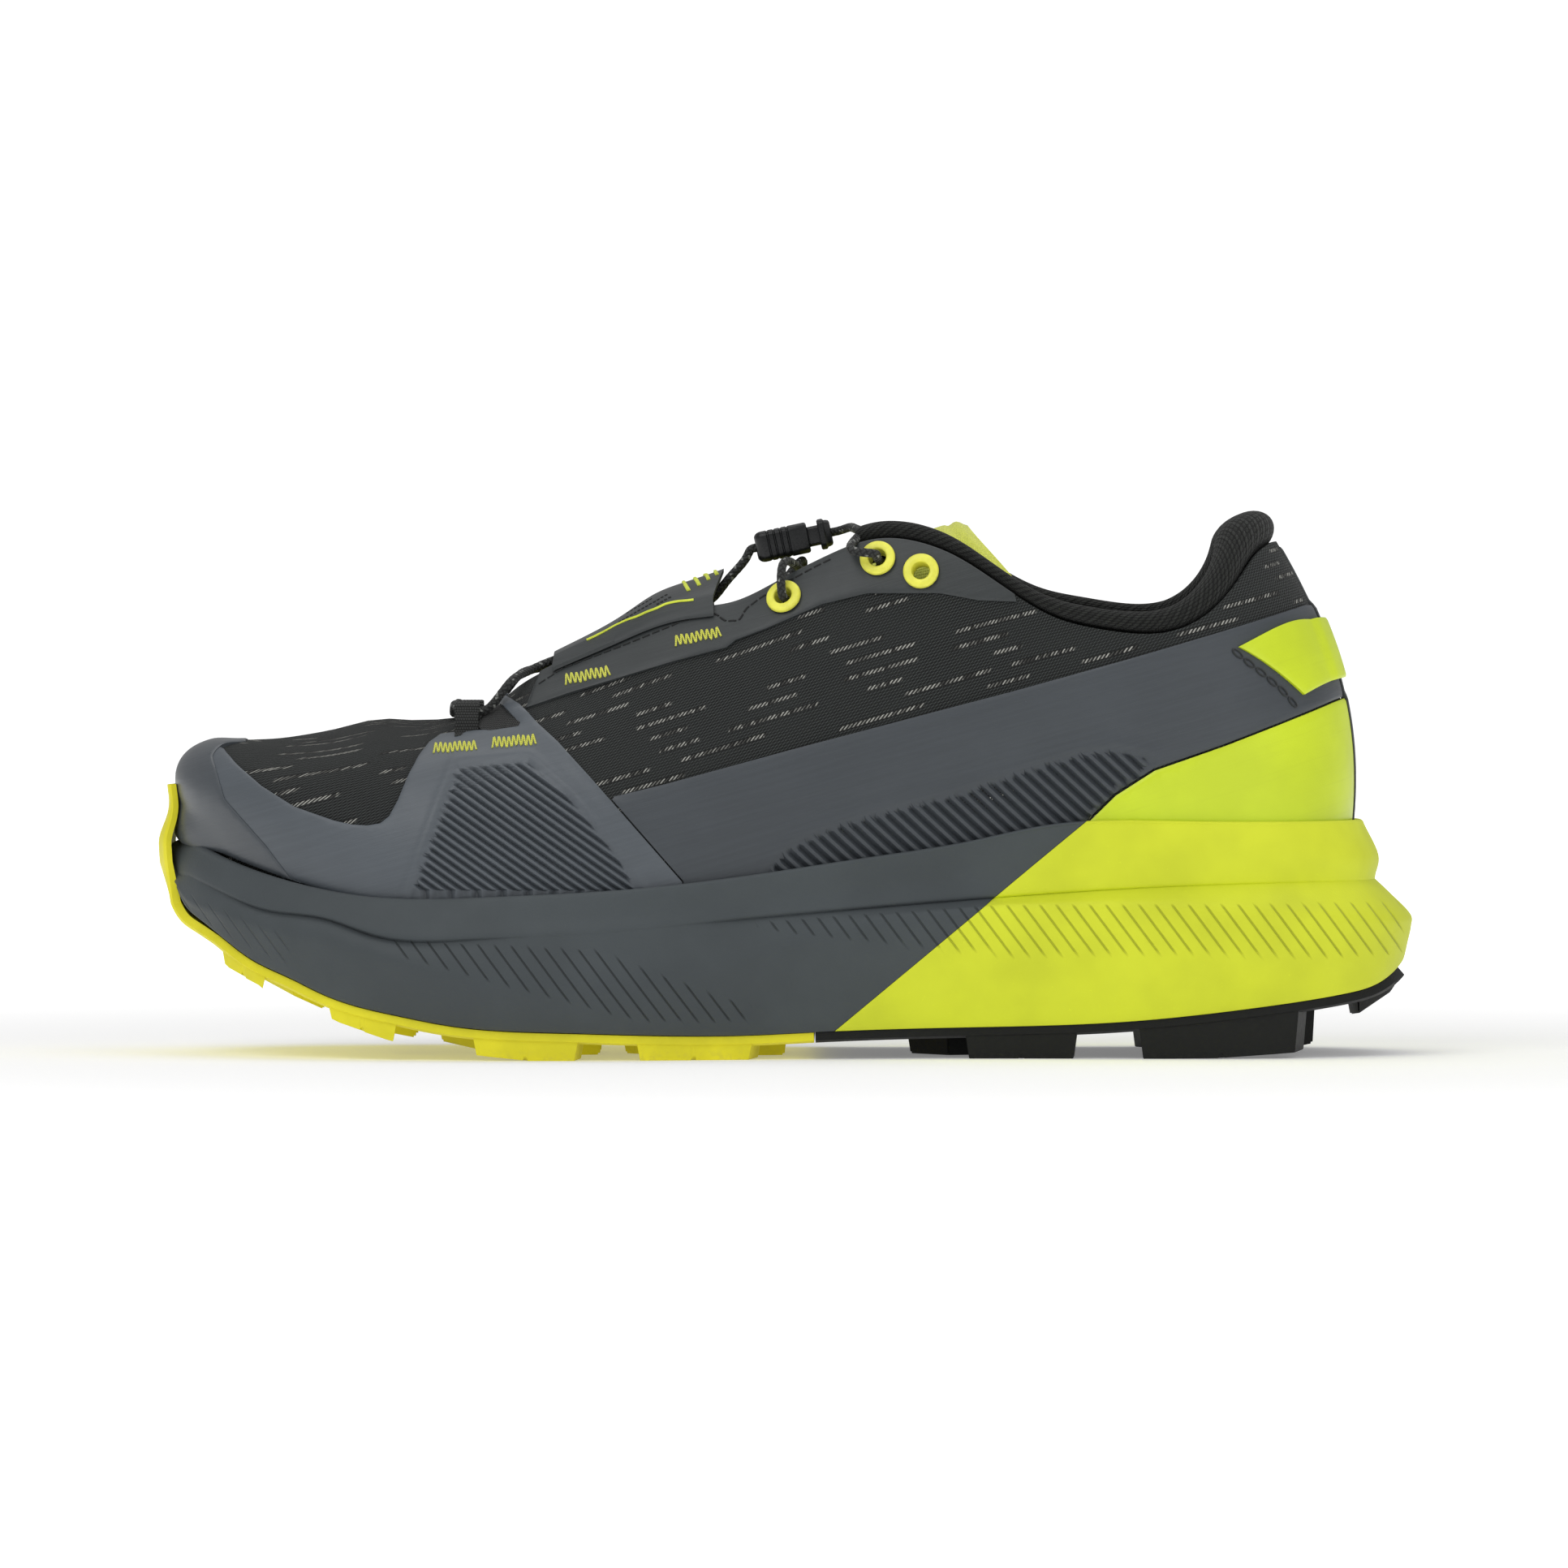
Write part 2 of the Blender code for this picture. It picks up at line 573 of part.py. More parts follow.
def lug(corners, depth_in_layer=1.4):
    """A tapered rubber block from inside the outsole layer down to the tread."""
    corners = [np.array(c, float) for c in corners]
    centre = sum(corners) / len(corners)
    top, bottom = [], []
    for c in corners:
        top.append((c[0], c[1], float(height(sole_z, c[0])) - depth_in_layer))
        toward = centre - c
        foot = c + toward / np.linalg.norm(toward) * LUG_TAPER
        bottom.append((foot[0], foot[1], tread(foot[0])))
    n = len(corners)
    faces = [list(range(n)), [n + i for i in reversed(range(n))]]
    faces += [[i, (i + 1) % n, n + (i + 1) % n, n + i] for i in range(n)]
    return top + bottom, faces


def edge_lug(x0, x1, side, depth=17.0, skew=4.0):
    """A lug along the sole's edge, from x0 to x1."""
    xs = (x0, (x0 + x1) / 2, x1)
    rim = []
    for x in xs:
        x_edge, y_edge = bottom_edge(edge_at_x(x, side), 1.2)
        rim.append((x_edge, y_edge))
    inner = [(x1 + skew - 3, rim[2][1] - side * depth), (x0 + skew + 3, rim[0][1] - side * depth)]
    return lug([*rim, *inner])


def chevron(x, y, width, length, sweep):
    """A V-shaped lug that points to the toe."""
    w = width / 2
    corners = [(x - length / 2 - sweep, y), (x + sweep, y - w), (x + sweep + length, y - w * 0.8),
               (x + length / 2 - sweep, y), (x + sweep + length, y + w * 0.8), (x + sweep, y + w)]
    return lug(corners)


EDGE_LUGS_FRONT = ((-136, -124.5), (-109.6, -92.4), (-74, -48), (-34, -6.2))
EDGE_LUGS_REAR = ((43, 69), (83.5, 123.5))
CENTRE_LUGS_FRONT = ((-120, 3), (-98, 0), (-76, -2), (-54, -3), (-32, -4), (-10, -5))
CENTRE_LUGS_REAR = ((36, -4), (96, 0), (116, 0))


def join_union(obj, blocks):
    """Joins the blocks to obj as one body."""
    verts, faces = [], []
    for block_verts, block_faces in blocks:
        faces += [[len(verts) + i for i in face] for face in block_faces]
        verts += block_verts
    cutter = make_object(f"{obj.name}_lugs", verts, faces, "board")
    boolean(obj, cutter, "UNION")


def boolean(obj, other, operation):
    modifier = obj.modifiers.new(operation.lower(), "BOOLEAN")
    modifier.operation, modifier.object, modifier.solver = operation, other, "EXACT"
    graph = bpy.context.evaluated_depsgraph_get()
    result = bpy.data.meshes.new_from_object(obj.evaluated_get(graph), depsgraph=graph)
    obj.modifiers.clear()
    obj.data = result
    bpy.data.objects.remove(other, do_unlink=True)


def build_outsole():
    split_front = edge_at_x(OUTSOLE_JOINT_X, -1)
    for name, colour, span, guard, edges, centres in (
        ("outsole_forefoot", "yellow_rubber", (0.035, abs(split_front) - 0.0005), True, EDGE_LUGS_FRONT,
         CENTRE_LUGS_FRONT),
        ("outsole_heel", "black_rubber", (abs(split_front) + 0.001, 0.985), False, EDGE_LUGS_REAR,
         CENTRE_LUGS_REAR),
    ):
        top, bottom = outsole_layer(*span, guard)
        obj = make_object(name, *slab(top, bottom), colour)
        blocks = [edge_lug(x0, x1, side) for x0, x1 in edges for side in (-1, 1)]
        blocks += [chevron(x, y, 26, 8, 3) for x, y in centres]
        if not guard:
            blocks.append(lug([(136.5, -16), (145.5, -8), (147, 0), (145.5, 8), (136.5, 16), (134.5, 0)]))
        join_union(obj, blocks)


def build_boards():
    """The strobel board and the insole, which lie in the foam's footbed."""
    count = BOARD_STATIONS
    stations = ring_stations(count)
    for name, colour, inset, low, thickness in (
        ("strobel_board", "board", 0.6, -STROBEL_THICKNESS - GAP, STROBEL_THICKNESS),
        ("insole", "insole", 4.6, GAP, INSOLE_THICKNESS),
    ):
        rims = []
        for z_shift in (low, low + thickness):
            ring = []
            for s in stations:
                base, normal = feather(s), outward(feather, s)
                plan = base[:2] - normal * inset
                ring.append((plan[0], plan[1], base[2] + z_shift))
            rims.append(ring)
        verts = rims[0] + rims[1]
        faces = grid_faces(2, 2 * count, wrap_columns=True)
        faces += [face[::-1] for face in ladder(count, 0)] + ladder(count, 2 * count)
        make_object(name, verts, faces, colour)


# Upper


def circle_on_last(s, h, radius, sides=10):
    """A round hole's rim in (s, h), true to millimetres on the surface."""
    here, step = last_point(s, h), 1e-3
    ds = (last_point(s + step, h) - here) / step
    dh = (last_point(s, h + step) - here) / step
    u = ds / np.linalg.norm(ds)
    v = dh - np.dot(dh, u) * u
    v /= np.linalg.norm(v)
    basis = np.array([[np.dot(ds, u), np.dot(dh, u)], [np.dot(ds, v), np.dot(dh, v)]])
    rim = []
    for k in range(sides):
        angle = 2 * math.pi * k / sides
        change = np.linalg.solve(basis, [radius * math.cos(angle), radius * math.sin(angle)])
        rim.append((s + change[0], h + change[1]))
    return rim


def eyelet_places(side):
    return [find_on_last(x, z, side, offset=FILM[1]) for x, z in EYELETS_XZ]


EYELET_CLEAR = EYELET_BARREL / 2 + GAP
HEEL_SEAM = 0.9982


def build_knit():
    holes = [circle_on_last(s, h, EYELET_CLEAR) for side in (-1, 1) for s, h in eyelet_places(side)]
    outline = [(-HEEL_SEAM, 0.0), (0.0, 0.0), (HEEL_SEAM, 0.0), (HEEL_SEAM, 0.985), (0.0, 0.985),
               (-HEEL_SEAM, 0.985)]
    make_object("upper_mesh", *patch(outline, KNIT, 11.5, holes), "knit", 0.9)


BUMPER_EDGE_XZ = ((-136, 71), (-132.6, 61), (-122.8, 50.5), (-116.5, 42.5))


def bumper_outline():
    """The toe bumper's edge: up from the lip on the outer side, over the toe and down again."""
    outer = on_last(BUMPER_EDGE_XZ, -1)
    inner = on_last(BUMPER_EDGE_XZ, 1)
    front_h = find_on_last(-128.5, 6, -1, axes=(0, 1))[1]
    low_h = 0.06
    bottom = [(outer[-1][0] - 0.008, low_h), (inner[-1][0] + 0.008, low_h)]
    bend = [(outer[0][0] * 0.55, front_h * 0.97), (0.0, front_h), (inner[0][0] * 0.55, front_h * 0.97)]
    return [*reversed(outer), *bend, *inner, bottom[1], (0.0, low_h), bottom[0]]


OVERLAY_XZ = (
    (-114.3, 43), (-120.6, 51), (-129, 61.5), (-132.2, 67.2), (-131, 70.2), (-120.2, 64.2),
    (-108.7, 56.4), (-102, 55.3), (-93.9, 55.3), (-89.4, 64.7), (-85.7, 71.5), (-80.5, 75), (-72, 76.6),
    (-66, 78.6), (-61.5, 80), (-53.5, 75), (-45.5, 66.4), (-40.7, 61), (-31, 50), (-24, 42),
)
BAND_XZ = (
    (-22.5, 42.4), (-30.5, 52), (-38.6, 61.6), (-28.3, 64.9), (0, 72.6), (53.3, 86.6), (81.3, 94.4),
    (104.5, 101.2), (106.3, 97.5), (122.3, 84.8), (121.1, 80.6), (90.2, 71), (76.8, 63.2), (71, 57.5),
    (67, 53),
)
CAP_XZ = ((71.5, 53), (77.5, 62), (83.6, 66.2), (90.8, 69.6), (121.5, 79.2), (130, 83.3))
EYESTAY_LOW_XZ = (
    (-61.3, 82.8), (-51.6, 86.2), (-26.8, 93.7), (-13.6, 97.2), (-4.1, 101.7), (9, 107.4), (19.8, 110),
    (36.9, 110), (46.1, 108.3), (55, 108.0),
)
STAY_TOP_H = 0.985


def low_edge(first, last, h=0.05, count=6):
    """Points along the foot of the upper, inside the lip, from station first to last."""
    return [(first + (last - first) * i / count, h) for i in range(count + 1)]


def build_films():
    make_object("toe_bumper", *patch(bumper_outline(), BUMPER, 5.5), "slate_film", 0.5)
    for side, word in ((-1, "lateral"), (1, "medial")):
        overlay = on_last(OVERLAY_XZ, side)
        loop = overlay + low_edge(overlay[-1][0], overlay[0][0], 0.06)
        make_object(f"forefoot_overlay_{word}", *patch(loop, FILM, 7.0), "slate_film", 0.5)

        band = on_last(BAND_XZ, side)
        loop = band + low_edge(band[-1][0], band[0][0], 0.05)
        make_object(f"quarter_band_{word}", *patch(loop, FILM, 7.5), "slate_film", 0.5)

        stay = on_last(EYESTAY_LOW_XZ, side)
        top = [(s, STAY_TOP_H) for s in np.linspace(stay[-1][0], stay[0][0] + side * 0.004, 12)]
        holes = [circle_on_last(s, h, EYELET_CLEAR) for s, h in eyelet_places(side)]
        make_object(f"eyestay_{word}", *patch(stay + top, FILM, 6.5, holes), "slate_film", 0.5)

    outer, inner = on_last(CAP_XZ, -1), on_last(CAP_XZ, 1)
    unrolled = [(s + 2.0 if s < 0 else s, h) for s, h in outer]  # one patch that crosses the heel
    top = [*inner, (1.0, unrolled[-1][1]), *reversed(unrolled)]
    foot = low_edge(unrolled[0][0], inner[0][0], 0.05, 14)
    make_object("heel_cap", *patch(top + foot, HEEL_FILM, 7.0), "lime_film", 0.45)


def build_stiffeners():
    counter = [(0.80, 0.04), (1.0, 0.04), (1.20, 0.04), (1.15, 0.42), (1.06, 0.66), (1.0, 0.70),
               (0.94, 0.66), (0.85, 0.42)]
    make_object("heel_counter_insert", *patch(counter, STIFFENER, 9.0), "stiffener")
    puff = [(-0.14, 0.05), (0.0, 0.05), (0.14, 0.05), (0.12, 0.36), (0.05, 0.5), (0.0, 0.52),
            (-0.05, 0.5), (-0.12, 0.36)]
    make_object("toe_puff", *patch(puff, STIFFENER, 8.5), "stiffener")


ROLL_RADIUS = ((0.0, 1.9), (0.12, 2.3), (0.30, 2.3), (0.62, 2.6), (0.72, 3.1), (0.86, 3.9), (1.0, 4.1))
LINING_START = (0.675, 0.74)  # stations between which the lining reaches down from the roll


def lining_section(s):
    """The lining and its padded roll, cut across at station s, as a closed loop."""
    u = 1 - abs(s - 1.0)
    share = (u - COLLAR_START) / (1 - COLLAR_START)
    radius = float(np.interp(share, [r[0] for r in ROLL_RADIUS], [r[1] for r in ROLL_RADIUS]))
    top, below = last_point(s, 0.999), last_point(s, 0.96)
    up = (top - below) / np.linalg.norm(top - below)
    out = last_normal(s, 0.98)
    centre = top + up * (radius + 0.4) + out * (1.5 - radius)
    roll = [centre + radius * (math.cos(a) * out + math.sin(a) * up)
            for a in np.radians((-62, -20, 22, 64, 106, 148, 190))]
    foot = float(np.interp(u, LINING_START, (0.93, 0.16)))
    levels = [0.94 + (foot - 0.94) * k for k in (0.1, 0.35, 0.68, 1.0)]
    inner_low = [shell(s, h, LINING[0]) for h in levels]
    outer_low = [shell(s, h, LINING[1]) for h in reversed(levels)]
    neck = top + out * (LINING[1] - 0.1) - up * 0.3
    return [*roll, *inner_low, *outer_low, neck]


def build_lining():
    stations = np.linspace(COLLAR_START, 2 - COLLAR_START, 34)
    sections = [lining_section(s) for s in stations]
    columns = len(sections[0])
    verts = [p for section in sections for p in section]
    faces = grid_faces(len(stations), columns, wrap_columns=True)
    faces.append(list(range(columns)))
    faces.append([(len(stations) - 1) * columns + i for i in reversed(range(columns))])
    make_object("collar_lining", verts, faces, "collar", 0.95)


# Tongue, throat cover and pull tab

TONGUE_CREST = Spline((
    (-66, 77.4), (-56, 85.0), (-40, 92.5), (-20, 101.8), (0, 110.8), (20, 119.3), (30, 123.6), (37, 126),
    (44, 127.3),
))
TONGUE_HALF_WIDTH = Spline(((-66, 7), (-56, 11), (-30, 19), (0, 23), (25, 22.5), (44, 21.5)))
TONGUE_DROP = Spline(((-66, 2), (-56, 5), (-30, 9), (0, 14), (25, 16), (44, 16)))
TONGUE_END_SWEEP = 14.0  # how far the wings of the tongue's end lie behind its middle


def tongue_point(x, t, depth):
    """A point at depth under the tongue's top face; t runs from -1 to 1 across it."""
    sweep = TONGUE_END_SWEEP * t * t * float(np.clip((x - TONGUE_HINGE_X) / 19, 0, 1))
    half, drop = TONGUE_HALF_WIDTH(x)[0], TONGUE_DROP(x)[0]
    return (x + sweep + 0.35 * depth, half * t, TONGUE_CREST(x)[0] - drop * t * t - depth)


def tongue_solid(x0, x1, rows):
    across = np.linspace(-1, 1, 7)
    grids = []
    for bottom in (0.0, TONGUE_THICKNESS):
        grid = [[tongue_point(x, t, bottom * (1 - 0.55 * t * t)) for t in across]
                for x in np.linspace(x0, x1, rows)]
        grids.append(np.array(grid))
    return slab(*grids)


def build_tongue():
    make_object("tongue_base", *tongue_solid(-66, TONGUE_HINGE_X - 0.25, 12), "tongue_lime", 0.8)
    hinge = bpy.data.objects.new("tongue_hinge", None)
    hinge.location = Vector((TONGUE_HINGE_X, 0, float(TONGUE_CREST(TONGUE_HINGE_X)[0]))) * MM
    bpy.context.scene.collection.objects.link(hinge)
    bpy.context.view_layer.update()
    tip = tongue_solid(TONGUE_HINGE_X + 0.25, 43.5, 6)
    make_object("tongue_tip", *tip, "tongue_lime", 0.8, parent=hinge)


COVER_RISE = Spline(((-60, 0.6), (-51, 1.2), (-39, 2.8), (-33, 4.3), (-26, 5.0), (-14, 8.0)))
COVER_SPAN = (0.33, 0.475)  # stations of its front and rear edges


def build_throat_cover():
    """The bridge over the lower throat, sewn to both eyestays; its rear edge is the pocket's mouth."""
    grids = []
    for layer in (0.9, 0.0):
        grid = []
        for u in np.linspace(*COVER_SPAN, 10):
            a, b = shell(-u, 0.99, FILM[1] + 0.7), shell(u, 0.99, FILM[1] + 0.7)
            row = []
            for t in np.linspace(-1, 1, 9):
                point = (a + b) / 2 + (b - a) / 2 * t
                rise = COVER_RISE(point[0])[0]
                point = point + np.array([0.0, 0.0, rise * (1 - t * t) ** 0.8 + layer])
                point[0] += 2.5 * (1 - t * t) * (u - COVER_SPAN[0]) / (COVER_SPAN[1] - COVER_SPAN[0])
                row.append(point)
            low_a, low_b = shell(-u, 0.93, FILM[1] + 0.5), shell(u, 0.93, FILM[1] + 0.5)
            lift = np.array([0.0, 0.0, layer])
            row = [low_a + lift, *row, low_b + lift]
            grid.append(row)
        grids.append(np.array(grid))
    make_object("throat_cover", *slab(*grids), "slate_film", 0.6)


PULL_TAB_XZ = ((107.3, 97.2), (124.5, 103.4), (129.5, 88.9), (122.9, 85.8))
TAB_STAND_OFF = 0.8


def build_pull_tab():
    """The lime band round the heel, sewn down at both ends and standing off behind the heel."""
    outer = on_last(PULL_TAB_XZ, -1, spacing=40)
    inner = on_last(PULL_TAB_XZ, 1, spacing=40)
    unrolled = [(s + 2.0, h) for s, h in outer]
    loop = [inner[0], inner[1], (1.0, inner[1][1]), unrolled[1], unrolled[0], unrolled[3], unrolled[2],
            (1.0, inner[2][1]), inner[2], inner[3]]
    sewn = abs(outer[1][0])

    def lift(s, _h):
        u = 1 - abs(s - 1.0)
        return TAB_STAND_OFF * float(np.clip((u - sewn) / (0.97 - sewn), 0, 1)) ** 0.7

    make_object("heel_pull_tab", *patch(loop, (FILM[0], FILM[1] + 0.2), 5.0, lift=lift),
                "lime_film", 0.5)


# Lacing


def turned(name, profile, origin, axis, colour, sides=10, roughness=0.35):
    """A closed ring turned about an axis from (radius, height) points."""
    axis = np.array(axis) / np.linalg.norm(axis)
    side = np.cross(axis, (0, 0, 1.0))
    side /= np.linalg.norm(side)
    other = np.cross(axis, side)
    verts = []
    for k in range(sides):
        a = 2 * math.pi * k / sides
        radial = math.cos(a) * side + math.sin(a) * other
        verts += [np.array(origin) + radial * r + axis * z for r, z in profile]
    faces = grid_faces(sides, len(profile), wrap_rows=True, wrap_columns=True)
    return make_object(name, verts, faces, colour, roughness)


def build_eyelets():
    r_out, r_barrel, r_hole = EYELET_OUTER / 2, EYELET_BARREL / 2, EYELET_HOLE / 2
    low, seat = KNIT[0] - 1.2, FILM[1] + 0.45
    profile = ((r_hole, low), (r_hole, seat + 0.7), (r_hole + 0.5, seat + 1.2), (r_out - 0.7, seat + 1.0),
               (r_out, seat), (r_barrel, seat), (r_barrel, low))
    for side, word in ((-1, "lateral"), (1, "medial")):
        for number, (s, h) in enumerate(eyelet_places(side), 1):
            turned(f"eyelet_{word}_{number}", profile, last_point(s, h), last_normal(s, h), "eyelet")


def lock_point(along, across, up):
    """A point in the lock's own frame: along the cords, across them and up from them."""
    c, s = math.cos(LOCK_TILT), math.sin(LOCK_TILT)
    x, y, z = LOCK_CENTRE
    return (x + along * c - up * s, y + across, z + along * s + up * c)


def lock_frame():
    return Matrix.Translation(Vector(LOCK_CENTRE) * MM) @ Matrix.Rotation(-LOCK_TILT, 4, "Y")


def section_block(half_width, half_height, corner):
    """A rectangle with cut corners, in (across, up)."""
    w, h, c = half_width, half_height, corner
    return [(-w + c, -h), (w - c, -h), (w, -h + c), (w, h - c), (w - c, h), (-w + c, h), (-w, h - c),
            (-w, -h + c)]


def lofted(stations):
    """A closed solid through sections [(along, points)], in the lock's frame."""
    verts = [lock_point(along, *p) for along, points in stations for p in points]
    n = len(stations[0][1])
    faces = grid_faces(len(stations), n, wrap_columns=True)
    faces.append(list(range(n)))
    faces.append([(len(stations) - 1) * n + i for i in reversed(range(n))])
    return verts, faces


def rod(x0, x1, across, radius, sides=10):
    turn = [2 * math.pi * k / sides for k in range(sides)]
    ring = [(across + radius * math.cos(a), radius * math.sin(a)) for a in turn]
    return lofted([(x0, ring), (x1, ring)])


def build_cord_lock():
    slide = bpy.data.objects.new("cord_lock_slide", None)
    slide.matrix_world = lock_frame()
    bpy.context.scene.collection.objects.link(slide)
    bpy.context.view_layer.update()
    w, h = LOCK_WIDTH / 2, LOCK_HEIGHT / 2
    front, rear = LOCK_BODY
    body = make_object("cord_lock_body", *lofted([
        (front, section_block(w - 1.4, h - 1.2, 1.0)), (front + 1.4, section_block(w, h - 0.3, 1.2)),
        (front + 5, section_block(w, h, 1.2)), (rear - 1, section_block(w, h, 1.2)),
        (rear, section_block(w - 0.6, h - 0.6, 1.0)),
    ]), "lock", 0.4, parent=slide)
    cavity = section_block(w - LOCK_WALL, h - LOCK_WALL, 0.7)
    cutters = [lofted([(LOCK_CAVITY_FRONT, cavity), (rear + 3, cavity)])]
    cutters += [rod(front - 3, LOCK_CAVITY_FRONT + 1, y, BORE_DIAMETER / 2)
                for y in (-STRAND_SPACING / 2, STRAND_SPACING / 2)]
    for verts, faces in cutters:
        boolean(body, make_object("cutter", verts, faces, "board", parent=slide), "DIFFERENCE")

    button_w, button_h = w - LOCK_WALL - GAP, h - LOCK_WALL - GAP
    plug_end = rear + BUTTON_TRAVEL + GAP
    button = make_object("cord_lock_button", *lofted([
        (LOCK_BUTTON[0], section_block(button_w, button_h, 0.6)),
        (plug_end, section_block(button_w, button_h, 0.6)),
        (plug_end + 0.01, section_block(w, h, 1.2)), (LOCK_BUTTON[1] - 1, section_block(w, h, 1.2)),
        (LOCK_BUTTON[1], section_block(w - 1.0, h - 1.0, 1.0)),
    ]), "lock", 0.4, parent=slide)
    for y in (-STRAND_SPACING / 2, STRAND_SPACING / 2):
        cutter = rod(LOCK_BUTTON[0] - 2, LOCK_BUTTON[1] + 2, y, BORE_DIAMETER / 2)
        boolean(button, make_object("cutter", *cutter, "board", parent=slide), "DIFFERENCE")
    build_spring(slide)


SPRING_TURNS, SPRING_RADIUS, SPRING_WIRE = 3.5, 1.1, 0.25


def build_spring(parent):
    """The small spring between the strands, which pushes the button out of the body."""
    start, end = LOCK_CAVITY_FRONT + 0.6, LOCK_BUTTON[0] - 0.6
    steps, sides = int(SPRING_TURNS * 7), 4
    verts = []
    for i in range(steps + 1):
        a = 2 * math.pi * SPRING_TURNS * i / steps
        along = start + (end - start) * i / steps
        for k in range(sides):
            b = 2 * math.pi * k / sides
            r = SPRING_RADIUS + SPRING_WIRE * math.cos(b)
            verts.append(lock_point(along + SPRING_WIRE * math.sin(b), r * math.cos(a), r * math.sin(a)))
    faces = grid_faces(steps + 1, sides, wrap_columns=True)
    faces += [list(range(sides)), [steps * sides + k for k in reversed(range(sides))]]
    make_object("cord_lock_spring", verts, faces, "steel", 0.3, 1.0, parent=parent)


def mirror_y(points):
    return [(x, -y, z) for x, y, z in points]


def lace_half(side):
    """One side's half of the cord: from its end in the pocket through the lock and both eyelets."""
    strand = side * STRAND_SPACING / 2
    (s1, h1), (s2, h2) = eyelet_places(side)[:2]

    def through(s, h, offsets):
        base, normal = last_point(s, h), last_normal(s, h)
        return [tuple(base + normal * d) for d in offsets]

    inside_run = [tuple(shell(s2 + (s1 - s2) * k, h2 + (h1 - h2) * k - 0.03, INSIDE_RUN_DEPTH))
                  for k in (0.28, 0.5, 0.72)]
    return [
        (-29.6, side * 1.7, 102.4), (-26, side * 2.2, 103.9), (-21, side * 2.8, 106.1),
        (-16.6, side * 3.2, 109.2), (-13.4, side * 3.3, 113.2), lock_point(-12.0, strand, -1.8),
        lock_point(-10.4, strand, 0.0),
        lock_point(-8, strand, 0.0), lock_point(-3, strand, 0.0), lock_point(3, strand, 0.0),
        lock_point(8, strand, 0.0), lock_point(11.3, strand, 0.0), (15.4, side * 6.5, 126.4),
        (16.4, side * 12.0, 126.0), (16.6, side * 18.0, 124.9),
        tuple(shell(s2 - side * 0.016, h2 + 0.02, 7.0)),
        *through(s2, h2, (5.8, 4.0, 2.2, 0.4, -1.4)), *inside_run,
        *through(s1, h1, (-1.4, 0.4, 2.2, 4.0)),
    ]


LOOP_XZ = (-75.3, 81.8)
LOOP_RADII = (1.75, 2.4)
LOOP_STAND = 4.4
LACE_OVER = (  # from an outer eyelet over the tongue to the inner side, then forward to the front
    (-0.4, -24.2, 116.4), (1.6, -19.5, 117.4), (4.0, -10, 115.4), (4.4, 0.0, 114.6), (1.2, 8.5, 112.4),
    (-5.5, 13.5, 106.9), (-14, 13.2, 101.8), (-25, 11.2, 98.4), (-38, 9.2, 95.0), (-48, 8.0, 92.6),
    (-53.5, 8.6, 92.5),
)
CROSSING = (-81.5, 0, 84.0)  # where the cord crosses the vamp


def front_run(side):
    """From the throat forward through one side's webbing tunnel."""
    x, y, z = loop_centre(side)
    return [
        (-60.5, side * 11.6, 91.6), (-65.4, y + 0.5 * side, 88.4), (x + 6.0, y + side * 0.4, z + 1.7),
        (x + 3.4, y, z + 0.1), (x, y, z), (x - 3, y, z), (x - 5.6, y - side * 1.6, z + 0.7),
        (x - 6.4, y - side * 6, z + 2.2),
    ]


def build_lace():
    """The cord as one tube through the whole route."""
    over = list(LACE_OVER)
    other_over = [(x, y, z + 3.9 * math.exp(-(((y + 3) / 6.5) ** 2))) for x, y, z in mirror_y(over)]
    route = [*lace_half(-1), *over, *front_run(1), CROSSING, *front_run(-1)[::-1], *other_over[::-1],
             *lace_half(1)[::-1]]
    points = even_points(route, 9.0)
    curve = bpy.data.curves.new("lace", "CURVE")
    curve.dimensions = "3D"
    curve.bevel_depth = CORD_DIAMETER / 2 * MM
    curve.bevel_resolution = 2
    curve.use_fill_caps = True
    spline = curve.splines.new("POLY")
    spline.points.add(len(points) - 1)
    for target, point in zip(spline.points, points, strict=True):
        target.co = (*(float(c) * MM for c in point), 1.0)
    curve.materials.append(material("cord", 0.85))
    obj = bpy.data.objects.new("lace", curve)
    bpy.context.scene.collection.objects.link(obj)


def even_points(route, spacing):
    """Points about spacing apart along a smooth curve through the route, and closer where it bends."""
    route = np.array(route, float)
    chords = np.concatenate([[0], np.cumsum(np.linalg.norm(np.diff(route, axis=0), axis=1) ** 0.5)])
    spline = Spline([(t, *p) for t, p in zip(chords, route, strict=True)])
    fine = spline(np.linspace(0, chords[-1], 4000))
    steps = np.linalg.norm(np.diff(fine, axis=0), axis=1)
    heading = np.diff(fine, axis=0) / steps[:, None]
    turn = np.concatenate([[0], np.linalg.norm(np.diff(heading, axis=0), axis=1)])
    run = np.concatenate([[0], np.cumsum(steps / spacing + turn * 0.62)])
    wanted = np.linspace(0, run[-1], max(2, round(run[-1])))
    return np.stack([np.interp(wanted, run, fine[:, k]) for k in range(3)], axis=1)


def loop_centre(side):
    """The middle of a webbing tunnel, which stands on the knit beside the throat's front."""
    return shell(*find_on_last(*LOOP_XZ, side, offset=LOOP_STAND), LOOP_STAND)


